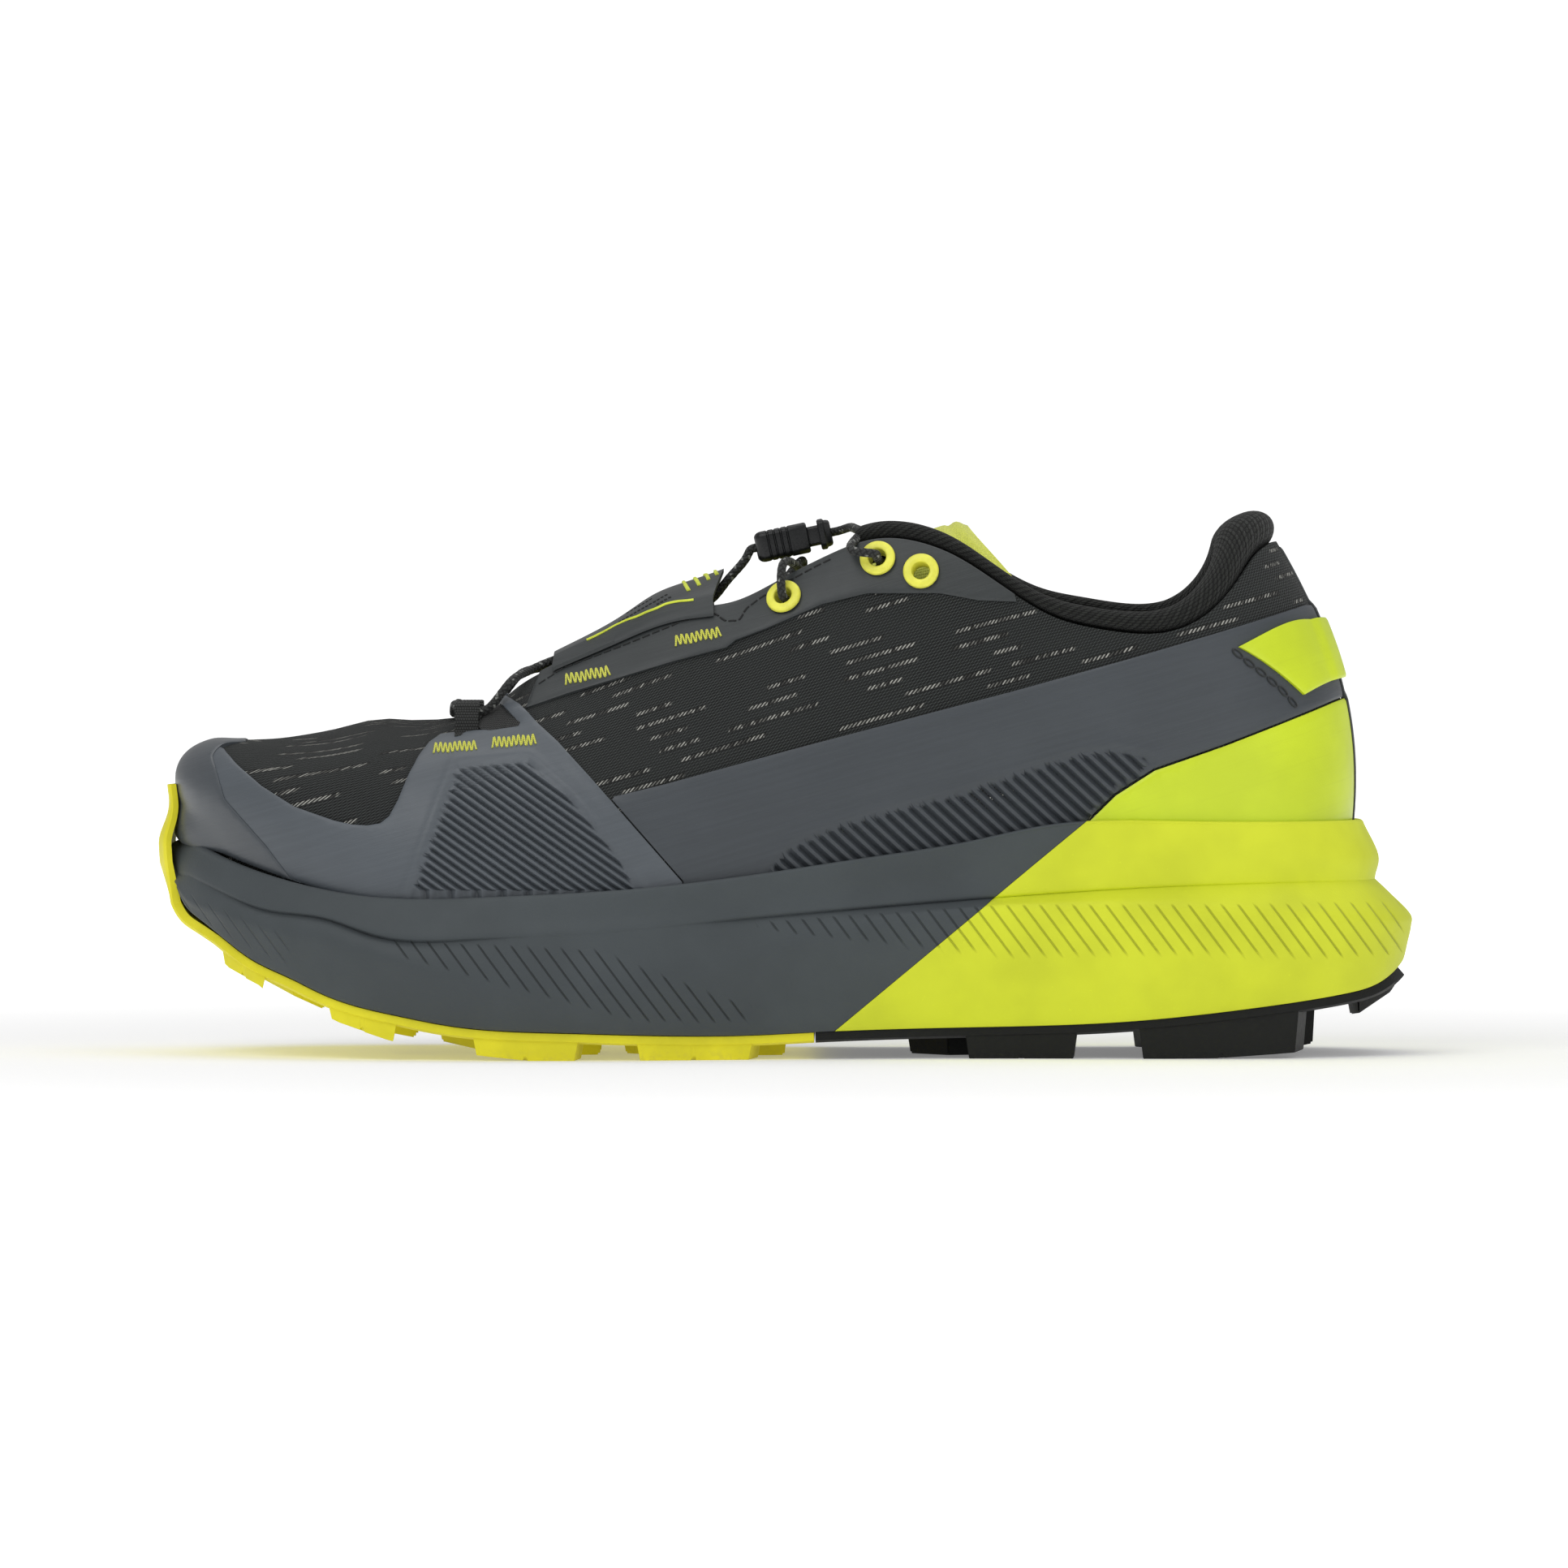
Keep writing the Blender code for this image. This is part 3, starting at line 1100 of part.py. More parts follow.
def build_lace_loops():
    """Webbing tunnels at the front of the throat that the cord turns through."""
    for side, word in ((-1, "lateral"), (1, "medial")):
        centre = loop_centre(side)
        profile = []
        for k in range(9):
            a = math.radians(-60 + 300 * k / 8)
            profile.append((LOOP_RADII[1] * math.cos(a), LOOP_RADII[1] * math.sin(a)))
        shrink = LOOP_RADII[0] / LOOP_RADII[1]
        inner = [(y * shrink, z * shrink) for y, z in reversed(profile)]
        loop = profile + inner
        grid = []
        for x in (-3.0, 3.0):
            grid.append([centre + np.array([x, -side * y, z]) for y, z in loop])
        n = len(loop)
        verts = [p for row in grid for p in row]
        faces = grid_faces(2, n, wrap_columns=True)
        faces += [list(range(n)), [n + i for i in reversed(range(n))]]
        make_object(f"lace_loop_{word}", verts, faces, "cord", 0.85)


def build_end_tab():
    """The tab in the pocket that joins the cord's two ends."""
    bm = bmesh.new()
    bmesh.ops.create_cube(bm, size=1.0)
    bmesh.ops.scale(bm, vec=(7, 7, 2.6), verts=bm.verts)
    bmesh.ops.bevel(bm, geom=bm.edges, offset=0.6, segments=1, affect="EDGES")
    bmesh.ops.rotate(bm, matrix=Matrix.Rotation(-math.radians(26), 3, "Y"), verts=bm.verts)
    bmesh.ops.translate(bm, vec=(-34.4, 0, 100.2), verts=bm.verts)
    verts = [tuple(v.co) for v in bm.verts]
    faces = [[v.index for v in f.verts] for f in bm.faces]
    bm.free()
    make_object("lace_end_tab", verts, faces, "lock", 0.5)


clear_scene()
build_midsole()
build_outsole()
build_boards()
build_knit()
build_films()
build_stiffeners()
build_lining()
build_tongue()
build_throat_cover()
build_pull_tab()
build_eyelets()
build_cord_lock()
build_lace()
build_lace_loops()
build_end_tab()
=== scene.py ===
"""Left trail running shoe: its visible surfaces, materials, floor, light and camera.

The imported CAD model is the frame. Sizes are in millimetres in that frame, where the toe points to -X and
the outer (lateral) side to -Y, and are scaled once, when a mesh is made.
"""
import math

import bmesh
import bpy
import numpy as np
from mathutils import Matrix, Vector
from mathutils.geometry import delaunay_2d_cdt


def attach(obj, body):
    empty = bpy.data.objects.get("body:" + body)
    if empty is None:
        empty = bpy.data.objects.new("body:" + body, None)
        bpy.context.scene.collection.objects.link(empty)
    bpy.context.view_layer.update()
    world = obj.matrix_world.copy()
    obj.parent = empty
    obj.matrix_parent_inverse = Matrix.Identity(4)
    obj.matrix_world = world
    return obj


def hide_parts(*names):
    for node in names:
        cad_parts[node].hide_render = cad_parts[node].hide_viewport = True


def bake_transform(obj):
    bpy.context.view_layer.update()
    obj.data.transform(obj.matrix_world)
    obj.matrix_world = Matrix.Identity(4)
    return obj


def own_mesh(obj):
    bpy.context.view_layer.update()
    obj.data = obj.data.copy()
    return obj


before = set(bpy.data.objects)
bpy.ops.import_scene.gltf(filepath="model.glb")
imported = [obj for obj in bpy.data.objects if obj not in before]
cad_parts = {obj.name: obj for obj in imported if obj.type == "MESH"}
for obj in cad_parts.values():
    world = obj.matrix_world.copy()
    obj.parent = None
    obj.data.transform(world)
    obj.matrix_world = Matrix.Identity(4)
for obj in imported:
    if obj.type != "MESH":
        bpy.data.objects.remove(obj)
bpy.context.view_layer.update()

MM = 0.001
SIDES = ((-1, "lateral"), (1, "medial"))

# Layers of the upper, as offsets from the last's surface, from inside to outside
LINING = (-4.1, -2.7)
KNIT = (0.0, 1.5)
WEBBING = (1.5, 2.15)
FILM = (1.5, 2.3)
BUMPER = (1.5, 2.7)
HEEL_FILM = (1.5, 2.7)
TAPE = (1.55, 2.8)
LIP_GAP = 2.95
LIP_WIDTH = 2.15

STROBEL_THICKNESS = 1.2
INSOLE_THICKNESS = 4.0
OUTSOLE_THICKNESS = 2.5
LUG_TAPER = 1.0

CORD_DIAMETER = 2.1
LOCK_CENTRE = (2.3, 0.0, 122.6)
LOCK_TILT = math.radians(12)
LOCK_WIDTH = 13.0
LOCK_HEIGHT = 7.4
LOCK_BODY = (-9.2, 3.6)
LOCK_BUTTON = (-0.6, 9.2)
LOCK_CAVITY_FRONT = -4.6
BUTTON_TRAVEL = 2.3
LOCK_WALL = 1.0
STRAND_SPACING = 6.4
BORE_DIAMETER = 2.9
INSIDE_RUN_DEPTH = -4.6
EYELET_OUTER, EYELET_BARREL, EYELET_HOLE = 8.5, 5.0, 4.3
EYELETS_XZ = ((0.1, 108.9), (22.3, 118.1), (32.5, 115.1))
TONGUE_THICKNESS = 5.0
TONGUE_HINGE_X = 25.0
GAP = 0.3

# The last, in stations from the toe (0) to the heel (1): feather edge, shoulder and topline
FEATHER_OUTER = (  # station, x, y, z
    (0.0, -136, 6, 46), (0.06, -132.5, -8, 43), (0.13, -119, -26, 37.5), (0.214, -97, -39.5, 31.5),
    (0.304, -70, -46, 28.5), (0.396, -40, -46.5, 27.5), (0.497, -8, -41.5, 29), (0.616, 30, -35.5, 32.5),
    (0.725, 65, -33.5, 36.5), (0.818, 95, -33.5, 39), (0.891, 117, -28, 40), (0.946, 128, -16.5, 41),
    (1.0, 131, 0, 41),
)
FEATHER_INNER_Y = (
    (0.06, 20), (0.13, 34.5), (0.214, 43.5), (0.304, 46), (0.396, 41.5), (0.497, 32), (0.616, 27.5),
    (0.725, 30), (0.818, 32.5), (0.891, 27.5), (0.946, 16.5),
)
SHOULDER = (  # station, x, how far outside the feather edge, z, weight
    (0.0, -151, 0, 75, 3.0), (0.06, -146.5, 3.5, 74, 2.7), (0.13, -127, 5, 71, 2.0),
    (0.214, -98, 4.5, 69.5, 1.3), (0.304, -68, 4.0, 68, 0.95), (0.396, -38, 4.5, 73, 0.85),
    (0.497, -9, 4.5, 78, 0.8), (0.616, 28, 5.5, 90, 0.7), (0.725, 64, 6.5, 75, 0.6),
    (0.818, 94, 5.5, 70, 0.6), (0.891, 119, 5, 74, 0.65), (0.946, 134, 3.5, 80, 0.9),
    (1.0, 139.5, 0, 83, 1.2),
)
TOPLINE = (  # station, x, y, z
    (0.0, -68, 0, 80.5), (0.13, -67.5, -4, 81), (0.214, -65.5, -8, 83.5), (0.304, -58, -11.5, 90),
    (0.396, -38, -14.5, 99.8), (0.45, -24, -16.5, 105.5), (0.49, -12, -17.5, 107.3),
    (0.53, -1, -18.5, 112.4), (0.58, 12, -20.5, 119.2), (0.63, 25.5, -23.5, 123), (0.67, 38.5, -27, 120),
    (0.71, 50, -30, 113), (0.75, 62, -32, 105.5), (0.79, 74, -33.5, 102), (0.83, 88, -33.5, 100.8),
    (0.87, 99, -30.5, 105), (0.91, 106.5, -24.5, 113), (0.955, 112, -14, 121), (1.0, 115.5, 0, 123),
)
MEDIAL_COLLAR_RISE = 2.0
COLLAR_START = 0.603
VAMP_WAVES = ((-97, 8, 1.6), (-122, 10, -0.9), (-103, 30, -2.0))  # waves of the toe's top: x, reach, lift
VAMP_LOW, VAMP_FADE = 60, 15

# The sole: widest outline in stations, then heights along its length
SOLE_OUTER = (  # station, x, y
    (0.0, -147.4, 6), (0.06, -142.5, -13), (0.13, -128.5, -33), (0.214, -103, -49.5), (0.304, -74, -56.7),
    (0.396, -42, -56.8), (0.497, -8, -50.5), (0.616, 31, -43.9), (0.725, 66, -43.0), (0.818, 99, -44.5),
    (0.891, 127, -39), (0.946, 144, -23.5), (1.0, 150, 0),
)
SOLE_INNER_Y = (
    (0.06, 24), (0.13, 41.5), (0.214, 53), (0.304, 55.5), (0.396, 51.8), (0.497, 43.8), (0.616, 40),
    (0.725, 41.5), (0.818, 44), (0.891, 39), (0.946, 23.5),
)
LIP_Z = (  # x, z
    (-148, 55.6), (-142.8, 51.8), (-131.3, 46.2), (-113.3, 41), (-98.4, 38.6), (-68.8, 38.6), (-38, 40.3),
    (-3.2, 44.3), (20.3, 47.8), (44.6, 51.7), (61.8, 55.3), (92, 56.3), (136, 56),
)
CREASE_Z = (
    (-143, 42.7), (-132.3, 37.7), (-125, 35.1), (-109.4, 33.1), (-98.8, 29.6), (-75, 28.4), (-45, 30),
    (-19.3, 32.2), (16, 35.3), (50.8, 38.1), (84.8, 40.4), (141.5, 41.8),
)
SOLE_Z = (
    (-147.9, 50), (-146.1, 42.9), (-139.6, 32.8), (-132.3, 27.6), (-126.8, 23.8), (-116.7, 19.2),
    (-109.4, 15.8), (-100.2, 12.7), (-91, 10.7), (-78.7, 8.4), (-51.6, 6.7), (-28, 6), (-8, 6),
    (6.7, 6.6), (41, 7.6), (80.5, 9), (113.5, 12.5), (133.6, 15.4), (144.4, 19.3), (148.3, 22.6),
)
TREAD_Z = (
    (-140, 25), (-127, 18.6), (-108, 9.7), (-93.8, 5), (-74, 1.4), (-60, 0), (100, 0), (125, 1.6),
    (131, 6), (136.4, 9.6), (146, 15.5),
)
FOAM_JOINT = ((70.9, 55.8), (12.7, 7.3))
OUTSOLE_JOINT_X = 8.2


# Curves


def natural_slopes(knots, values, period):
    """Slopes of the cubic spline through values, periodic when a period is given."""
    n = len(knots)
    rows = np.zeros((n, n))
    right = np.zeros((n, values.shape[1]))
    for i in range(n):
        before, after = (i - 1) % n, (i + 1) % n
        if period is None and i in (0, n - 1):
            other = 1 if i == 0 else n - 2
            rows[i, i], rows[i, other] = 2, 1
            right[i] = 3 * (values[other] - values[i]) / (knots[other] - knots[i])
            continue
        back = (knots[i] - knots[before]) % (period or math.inf)
        ahead = (knots[after] - knots[i]) % (period or math.inf)
        rows[i, before] += 1 / back
        rows[i, i] += 2 / back + 2 / ahead
        rows[i, after] += 1 / ahead
        right[i] = 3 * ((values[i] - values[before]) / back**2 + (values[after] - values[i]) / ahead**2)
    return np.linalg.solve(rows, right)


class Spline:
    """A cubic spline through (parameter, value...) rows."""

    def __init__(self, rows, period=None):
        rows = np.array(sorted(rows), dtype=float)
        self.knots, self.values, self.period = rows[:, 0], rows[:, 1:], period
        self.slopes = natural_slopes(self.knots, self.values, period)

    def __call__(self, t):
        t = np.asarray(t, dtype=float)
        first, n = self.knots[0], len(self.knots)
        if self.period:
            t = first + (t - first) % self.period
        i = np.clip(np.searchsorted(self.knots, t, side="right") - 1, 0, n - (1 if self.period else 2))
        j = (i + 1) % n
        width = self.knots[j] - self.knots[i]
        if self.period:
            width = np.where(j == 0, width + self.period, width)
        f = ((t - self.knots[i]) / width)[..., None]
        width = np.asarray(width)[..., None]
        return (
            (1 + 2 * f) * (1 - f) ** 2 * self.values[i] + f * (1 - f) ** 2 * width * self.slopes[i]
            + f * f * (3 - 2 * f) * self.values[j] + f * f * (f - 1) * width * self.slopes[j]
        )


def both_sides(outer, inner):
    """Ring rows from rows of each side: s runs from -1 (heel) over 0 (toe) to 1, outer side negative."""
    rows = [(-r[0], *r[1:]) for r in outer]
    rows += [r for r in inner if 0 < r[0] < 1]
    return Spline(rows, period=2.0)


def mirrored(outer, inner_y):
    lookup = dict(inner_y)
    return [(r[0], r[1], lookup[r[0]], *r[3:]) for r in outer if r[0] in lookup]


feather = both_sides(FEATHER_OUTER, mirrored(FEATHER_OUTER, FEATHER_INNER_Y))
shoulder = both_sides([(r[0], r[1], -r[2], r[3], r[4]) for r in SHOULDER], SHOULDER)
topline = both_sides(
    TOPLINE,
    [(r[0], r[1], -r[2], r[3] + MEDIAL_COLLAR_RISE * math.exp(-(((r[0] - 0.79) / 0.07) ** 2)))
     for r in TOPLINE],
)
sole_edge = both_sides(SOLE_OUTER, mirrored(SOLE_OUTER, SOLE_INNER_Y))
lip_z, crease_z, sole_z = Spline(LIP_Z), Spline(CREASE_Z), Spline(SOLE_Z)


def height(curve, x):
    return curve(np.clip(x, curve.knots[0], curve.knots[-1]))[..., 0]


def row_lookup(rows, t):
    """Straight-line interpolation in (parameter, value) rows."""
    return np.interp(t, [r[0] for r in rows], [r[1] for r in rows])


def last_point(s, h):
    """The last's surface: s round the ring, h from the feather edge (0) to the topline (1)."""
    s, h = np.broadcast_arrays(np.asarray(s, float), np.asarray(h, float))
    low, mid, top = feather(s), shoulder(s), topline(s)
    weight = mid[..., 3]
    mid = np.stack([mid[..., 0], low[..., 1] + mid[..., 1], mid[..., 2]], axis=-1)
    a, b, c = (1 - h) ** 2, 2 * weight * h * (1 - h), h * h
    point = (a[..., None] * low + b[..., None] * mid + c[..., None] * top) / (a + b + c)[..., None]
    x = point[..., 0]
    wave = sum(lift * np.exp(-(((x - middle) / reach) ** 2)) for middle, reach, lift in VAMP_WAVES)
    point[..., 2] += wave * np.clip((point[..., 2] - VAMP_LOW) / VAMP_FADE, 0, 1) ** 2
    return point


def unit(vectors):
    return vectors / np.linalg.norm(vectors, axis=-1, keepdims=True)


def last_normal(s, h):
    step = 1e-4
    h = np.clip(h, step, 1 - step)
    along = last_point(s + step, h) - last_point(s - step, h)
    up = last_point(s, h + step) - last_point(s, h - step)
    return -unit(np.cross(along, up))


def shell(s, h, offset):
    """A point on the layer that lies offset outside the last."""
    return last_point(s, h) + np.asarray(offset)[..., None] * last_normal(s, h)


def search_grid(side, offset, cache={}):
    if (side, offset) not in cache:
        s_grid, h_grid = np.meshgrid(np.linspace(0.005, 0.995, 160) * side, np.linspace(0.01, 0.995, 80))
        cache[side, offset] = s_grid, h_grid, shell(s_grid, h_grid, offset)
    return cache[side, offset]


def find_on_last(a, b, side, axes=(0, 2), offset=2.0):
    """The (s, h) whose layer point has the coordinates a, b in the two named axes on one side."""
    found = find_all(np.array([[a, b]], float), side, axes, offset)
    return float(found[0, 0]), float(found[0, 1])


def find_all(wanted, side, axes=(0, 2), offset=2.0):
    """As find_on_last, for many points at once."""
    s_grid, h_grid, points = search_grid(side, offset)
    flat = points.reshape(-1, 3)[:, axes]
    nearest = []
    for start in range(0, len(wanted), 1500):
        part = wanted[start:start + 1500]
        nearest.append(np.argmin(((flat[None] - part[:, None]) ** 2).sum(axis=2), axis=1))
    nearest = np.concatenate(nearest)
    s, h = s_grid.ravel()[nearest], h_grid.ravel()[nearest]
    step = 1e-4
    for _ in range(6):
        here = shell(s, h, offset)
        error = wanted - here[:, axes]
        ds = ((shell(s + step, h, offset) - here) / step)[:, axes]
        dh = ((shell(s, np.minimum(h + step, 0.9999), offset) - here) / step)[:, axes]
        size = ds[:, 0] * dh[:, 1] - ds[:, 1] * dh[:, 0]
        good = np.abs(size) > 1e-3
        size = np.where(good, size, 1.0)
        change_s = np.where(good, (error[:, 0] * dh[:, 1] - error[:, 1] * dh[:, 0]) / size, 0)
        change_h = np.where(good, (ds[:, 0] * error[:, 1] - ds[:, 1] * error[:, 0]) / size, 0)
        s = side * np.clip(side * (s + np.clip(change_s, -0.05, 0.05)), 0.002, 0.998)
        h = np.clip(h + np.clip(change_h, -0.05, 0.05), 0.0, 0.998)
    return np.column_stack([s, h])


def spread(points, spacing, closed=False):
    """The polyline with extra points, so that no edge is longer than spacing."""
    points = [tuple(float(c) for c in p) for p in points]
    ends = points[1:] + points[:1] if closed else points[1:]
    dense = []
    for a, b in zip(points, ends, strict=False):
        count = max(1, math.ceil(math.dist(a, b) / spacing))
        dense += [tuple(p + (q - p) * i / count for p, q in zip(a, b, strict=True)) for i in range(count)]
    return dense if closed else [*dense, points[-1]]


def on_last(points, side, axes=(0, 2), offset=2.0, spacing=3.0):
    """An open outline on one side, given in two of the frame's coordinates, as (s, h)."""
    return [tuple(p) for p in find_all(np.array(spread(points, spacing)), side, axes, offset)]


def run_along(points, power=1):
    """Distance along a polyline at each of its points, with each step raised to a power."""
    steps = np.linalg.norm(np.diff(points, axis=0), axis=1) ** power
    return np.concatenate([[0], np.cumsum(steps)])


def at_runs(points, run, wanted):
    """The places on a polyline at the wanted distances along it."""
    return np.stack([np.interp(wanted, run, points[:, k]) for k in range(points.shape[1])], axis=1)


def smoothed(points, spacing=1.0, samples=None):
    """A smooth curve through points, with its ends kept, evenly spaced."""
    points = np.array(points, float)
    run = run_along(points, 0.5)
    curve = Spline([(t, *p) for t, p in zip(run, points, strict=True)])
    fine = curve(np.linspace(0, run[-1], samples or 60 * len(points)))
    length = run_along(fine)
    return at_runs(fine, length, np.linspace(0, length[-1], max(2, round(length[-1] / spacing))))


# Regions in the plane


def within(points, loop):
    """Which points lie inside a closed loop."""
    x, y = points[:, :1], points[:, 1:2]
    a, b = loop, np.roll(loop, -1, axis=0)
    rise = np.where(b[:, 1] == a[:, 1], 1e-12, b[:, 1] - a[:, 1])
    crosses = (a[:, 1] > y) != (b[:, 1] > y)
    cut = (b[:, 0] - a[:, 0]) * (y - a[:, 1]) / rise + a[:, 0]
    return (np.sum(crosses & (x < cut), axis=1) % 2).astype(bool)


def distance(points, loop, closed=True):
    """Distance from each point to a polyline."""
    a = loop if closed else loop[:-1]
    d = (np.roll(loop, -1, axis=0) if closed else loop[1:]) - a
    size = np.maximum(np.sum(d * d, axis=1), 1e-12)
    found = np.empty(len(points))
    for start in range(0, len(points), 4000):
        offset = points[start:start + 4000, None] - a
        t = np.clip(np.sum(offset * d, axis=2) / size, 0, 1)
        found[start:start + 4000] = np.sqrt(np.min(np.sum((offset - t[..., None] * d) ** 2, axis=2), axis=1))
    return found


def depth_in(points, loop):
    """Distance to the loop, positive inside it and negative outside."""
    loop = np.array(loop, float)
    far = distance(points, loop)
    return np.where(within(points, loop), far, -far)


def ease(value, low, high):
    """0 at low and 1 at high, with a smooth rise between."""
    t = np.clip((value - low) / (high - low), 0, 1)
    return t * t * (3 - 2 * t)


# Meshes


def add_masks(mesh, masks):
    for key, values in masks.items():
        mesh.attributes.new(key, "FLOAT", "POINT").data.foreach_set("value", np.asarray(values, np.float32))


def solid_mesh(name, verts, faces, fix_normals=True):
    """A mesh from points in millimetres, with its faces turned outward."""
    mesh = bpy.data.meshes.new(name)
    mesh.from_pydata((np.asarray(verts, float) * MM).tolist(), [], faces)
    if fix_normals:
        bm = bmesh.new()
        bm.from_mesh(mesh)
        bmesh.ops.recalc_face_normals(bm, faces=bm.faces)
        bm.to_mesh(mesh)
        bm.free()
    return mesh


def placed(name, data):
    """A new object in the scene that holds a mesh, a light or a camera."""
    obj = bpy.data.objects.new(name, data)
    bpy.context.scene.collection.objects.link(obj)
    return obj


def piece(name, verts, faces, look, slot, replaces=(), body="shoe", maps=None, fix_normals=True, sharp=35,
          masks=None):
    """A finished piece from points in millimetres, which rides on a body and may stand for CAD nodes."""
    mesh = solid_mesh(name, verts, faces, fix_normals)
    if maps is not None:
        corner = np.empty(len(mesh.loops), int)
        mesh.loops.foreach_get("vertex_index", corner)
        maps = np.asarray(maps, float)
        layer = mesh.uv_layers.new(name="weave")
        layer.data.foreach_set("uv", (maps[corner] if len(maps) == len(mesh.vertices) else maps).ravel())
    add_masks(mesh, masks or {})
    mesh.shade_smooth()
    mesh.set_sharp_from_angle(angle=math.radians(sharp))
    mesh.materials.append(look)
    obj = placed(name, mesh)
    if replaces:
        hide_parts(*replaces)
    if body:
        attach(obj, body)
    return obj


def grid_faces(rows, columns, offset=0, flip=False, wrap_rows=False, wrap_columns=False):
    i, j = np.meshgrid(np.arange(rows if wrap_rows else rows - 1),
                       np.arange(columns if wrap_columns else columns - 1), indexing="ij")
    k, m = (i + 1) % rows, (j + 1) % columns
    quads = np.stack([i * columns + j, i * columns + m, k * columns + m, k * columns + j], axis=-1)
    quads = quads.reshape(-1, 4) + offset
    return (quads[:, ::-1] if flip else quads).tolist()


def slab(outer, inner):
    """A closed solid between two point grids of the same size."""
    rows, columns, _ = outer.shape
    base = rows * columns
    faces = grid_faces(rows, columns) + grid_faces(rows, columns, base, flip=True)
    rim = list(range(columns)) + [i * columns + columns - 1 for i in range(1, rows)]
    rim += [(rows - 1) * columns + j for j in range(columns - 2, -1, -1)]
    rim += [i * columns for i in range(rows - 2, 0, -1)]
    faces += [[b, a, base + a, base + b] for a, b in zip(rim, rim[1:] + rim[:1], strict=True)]
    return np.concatenate([outer.reshape(-1, 3), inner.reshape(-1, 3)]), faces


def joined(blocks):
    """One (verts, faces) from several."""
    verts, faces, base = [], [], 0
    for block_verts, block_faces in blocks:
        verts.append(np.asarray(block_verts, float))
        faces += [[base + i for i in face] for face in block_faces]
        base += len(verts[-1])
    return np.concatenate(verts), faces


def sweep_frames(points):
    """Unit tangents and two cross directions along a polyline, without needless twist."""
    tangent = unit(np.gradient(points, axis=0))
    side = np.cross(tangent[0], (0, 0, 1.0))
    if np.linalg.norm(side) < 0.1:
        side = np.cross(tangent[0], (0, 1.0, 0))
    sides = []
    for t in tangent:
        side = side - np.dot(side, t) * t
        side = side / np.linalg.norm(side)
        sides.append(side)
    sides = np.array(sides)
    return tangent, sides, np.cross(tangent, sides)


def tube(points, radius, sides=12, relief=None):
    """A closed round tube along points, with corner maps of length and arc in millimetres."""
    points = np.asarray(points, float)
    _, across, other = sweep_frames(points)
    length = run_along(points)
    angle = 2 * np.pi * np.arange(sides) / sides
    r = np.full((len(points), sides), float(radius))
    if relief:
        r = r + relief(length[:, None], angle[None, :])
    verts = (points[:, None] + r[..., None] * (np.cos(angle)[None, :, None] * across[:, None]
             + np.sin(angle)[None, :, None] * other[:, None])).reshape(-1, 3)
    n = len(points)
    faces = grid_faces(n, sides, wrap_columns=True)
    i, j = np.meshgrid(np.arange(n - 1), np.arange(sides), indexing="ij")
    arc = 2 * np.pi * radius / sides
    maps = np.stack([
        np.stack([length[i], length[i], length[i + 1], length[i + 1]], axis=-1),
        np.stack([j, j + 1, j + 1, j], axis=-1) * arc,
    ], axis=-1).reshape(-1, 2)
    faces += [list(range(sides))[::-1], [(n - 1) * sides + k for k in range(sides)]]
    maps = np.concatenate([maps, np.zeros((2 * sides, 2))])
    return verts, faces, maps


S_SCALE, H_SCALE = 290.0, 75.0  # millimetres per unit of s and h, roughly
GIRTH = 305  # millimetres per unit of s along the knit's rows
ROW_SLOPE = 0.29  # how far the rows rise towards the heel
RIM_DROP = 0.28  # how far a film's edge is rounded off
RIM_INSETS = (0.3, 0.65)  # rows of points either side of an edge, which carry its rounding
RIM_CLEARANCE = 0.9


def surface_maps(s, h):
    """Coordinates in millimetres for a weave whose rows rise towards the heel."""
    total = np.zeros(len(s))
    steps = 10
    last = last_point(s, np.zeros(len(s)))
    for k in range(1, steps + 1):
        here = last_point(s, h * k / steps)
        total += np.linalg.norm(here - last, axis=1)
        last = here
    x, rise = last[:, 0], feather(s)[:, 2]
    v = total + rise - ROW_SLOPE * x
    return np.stack([s * GIRTH + ROW_SLOPE * v, v], axis=1)


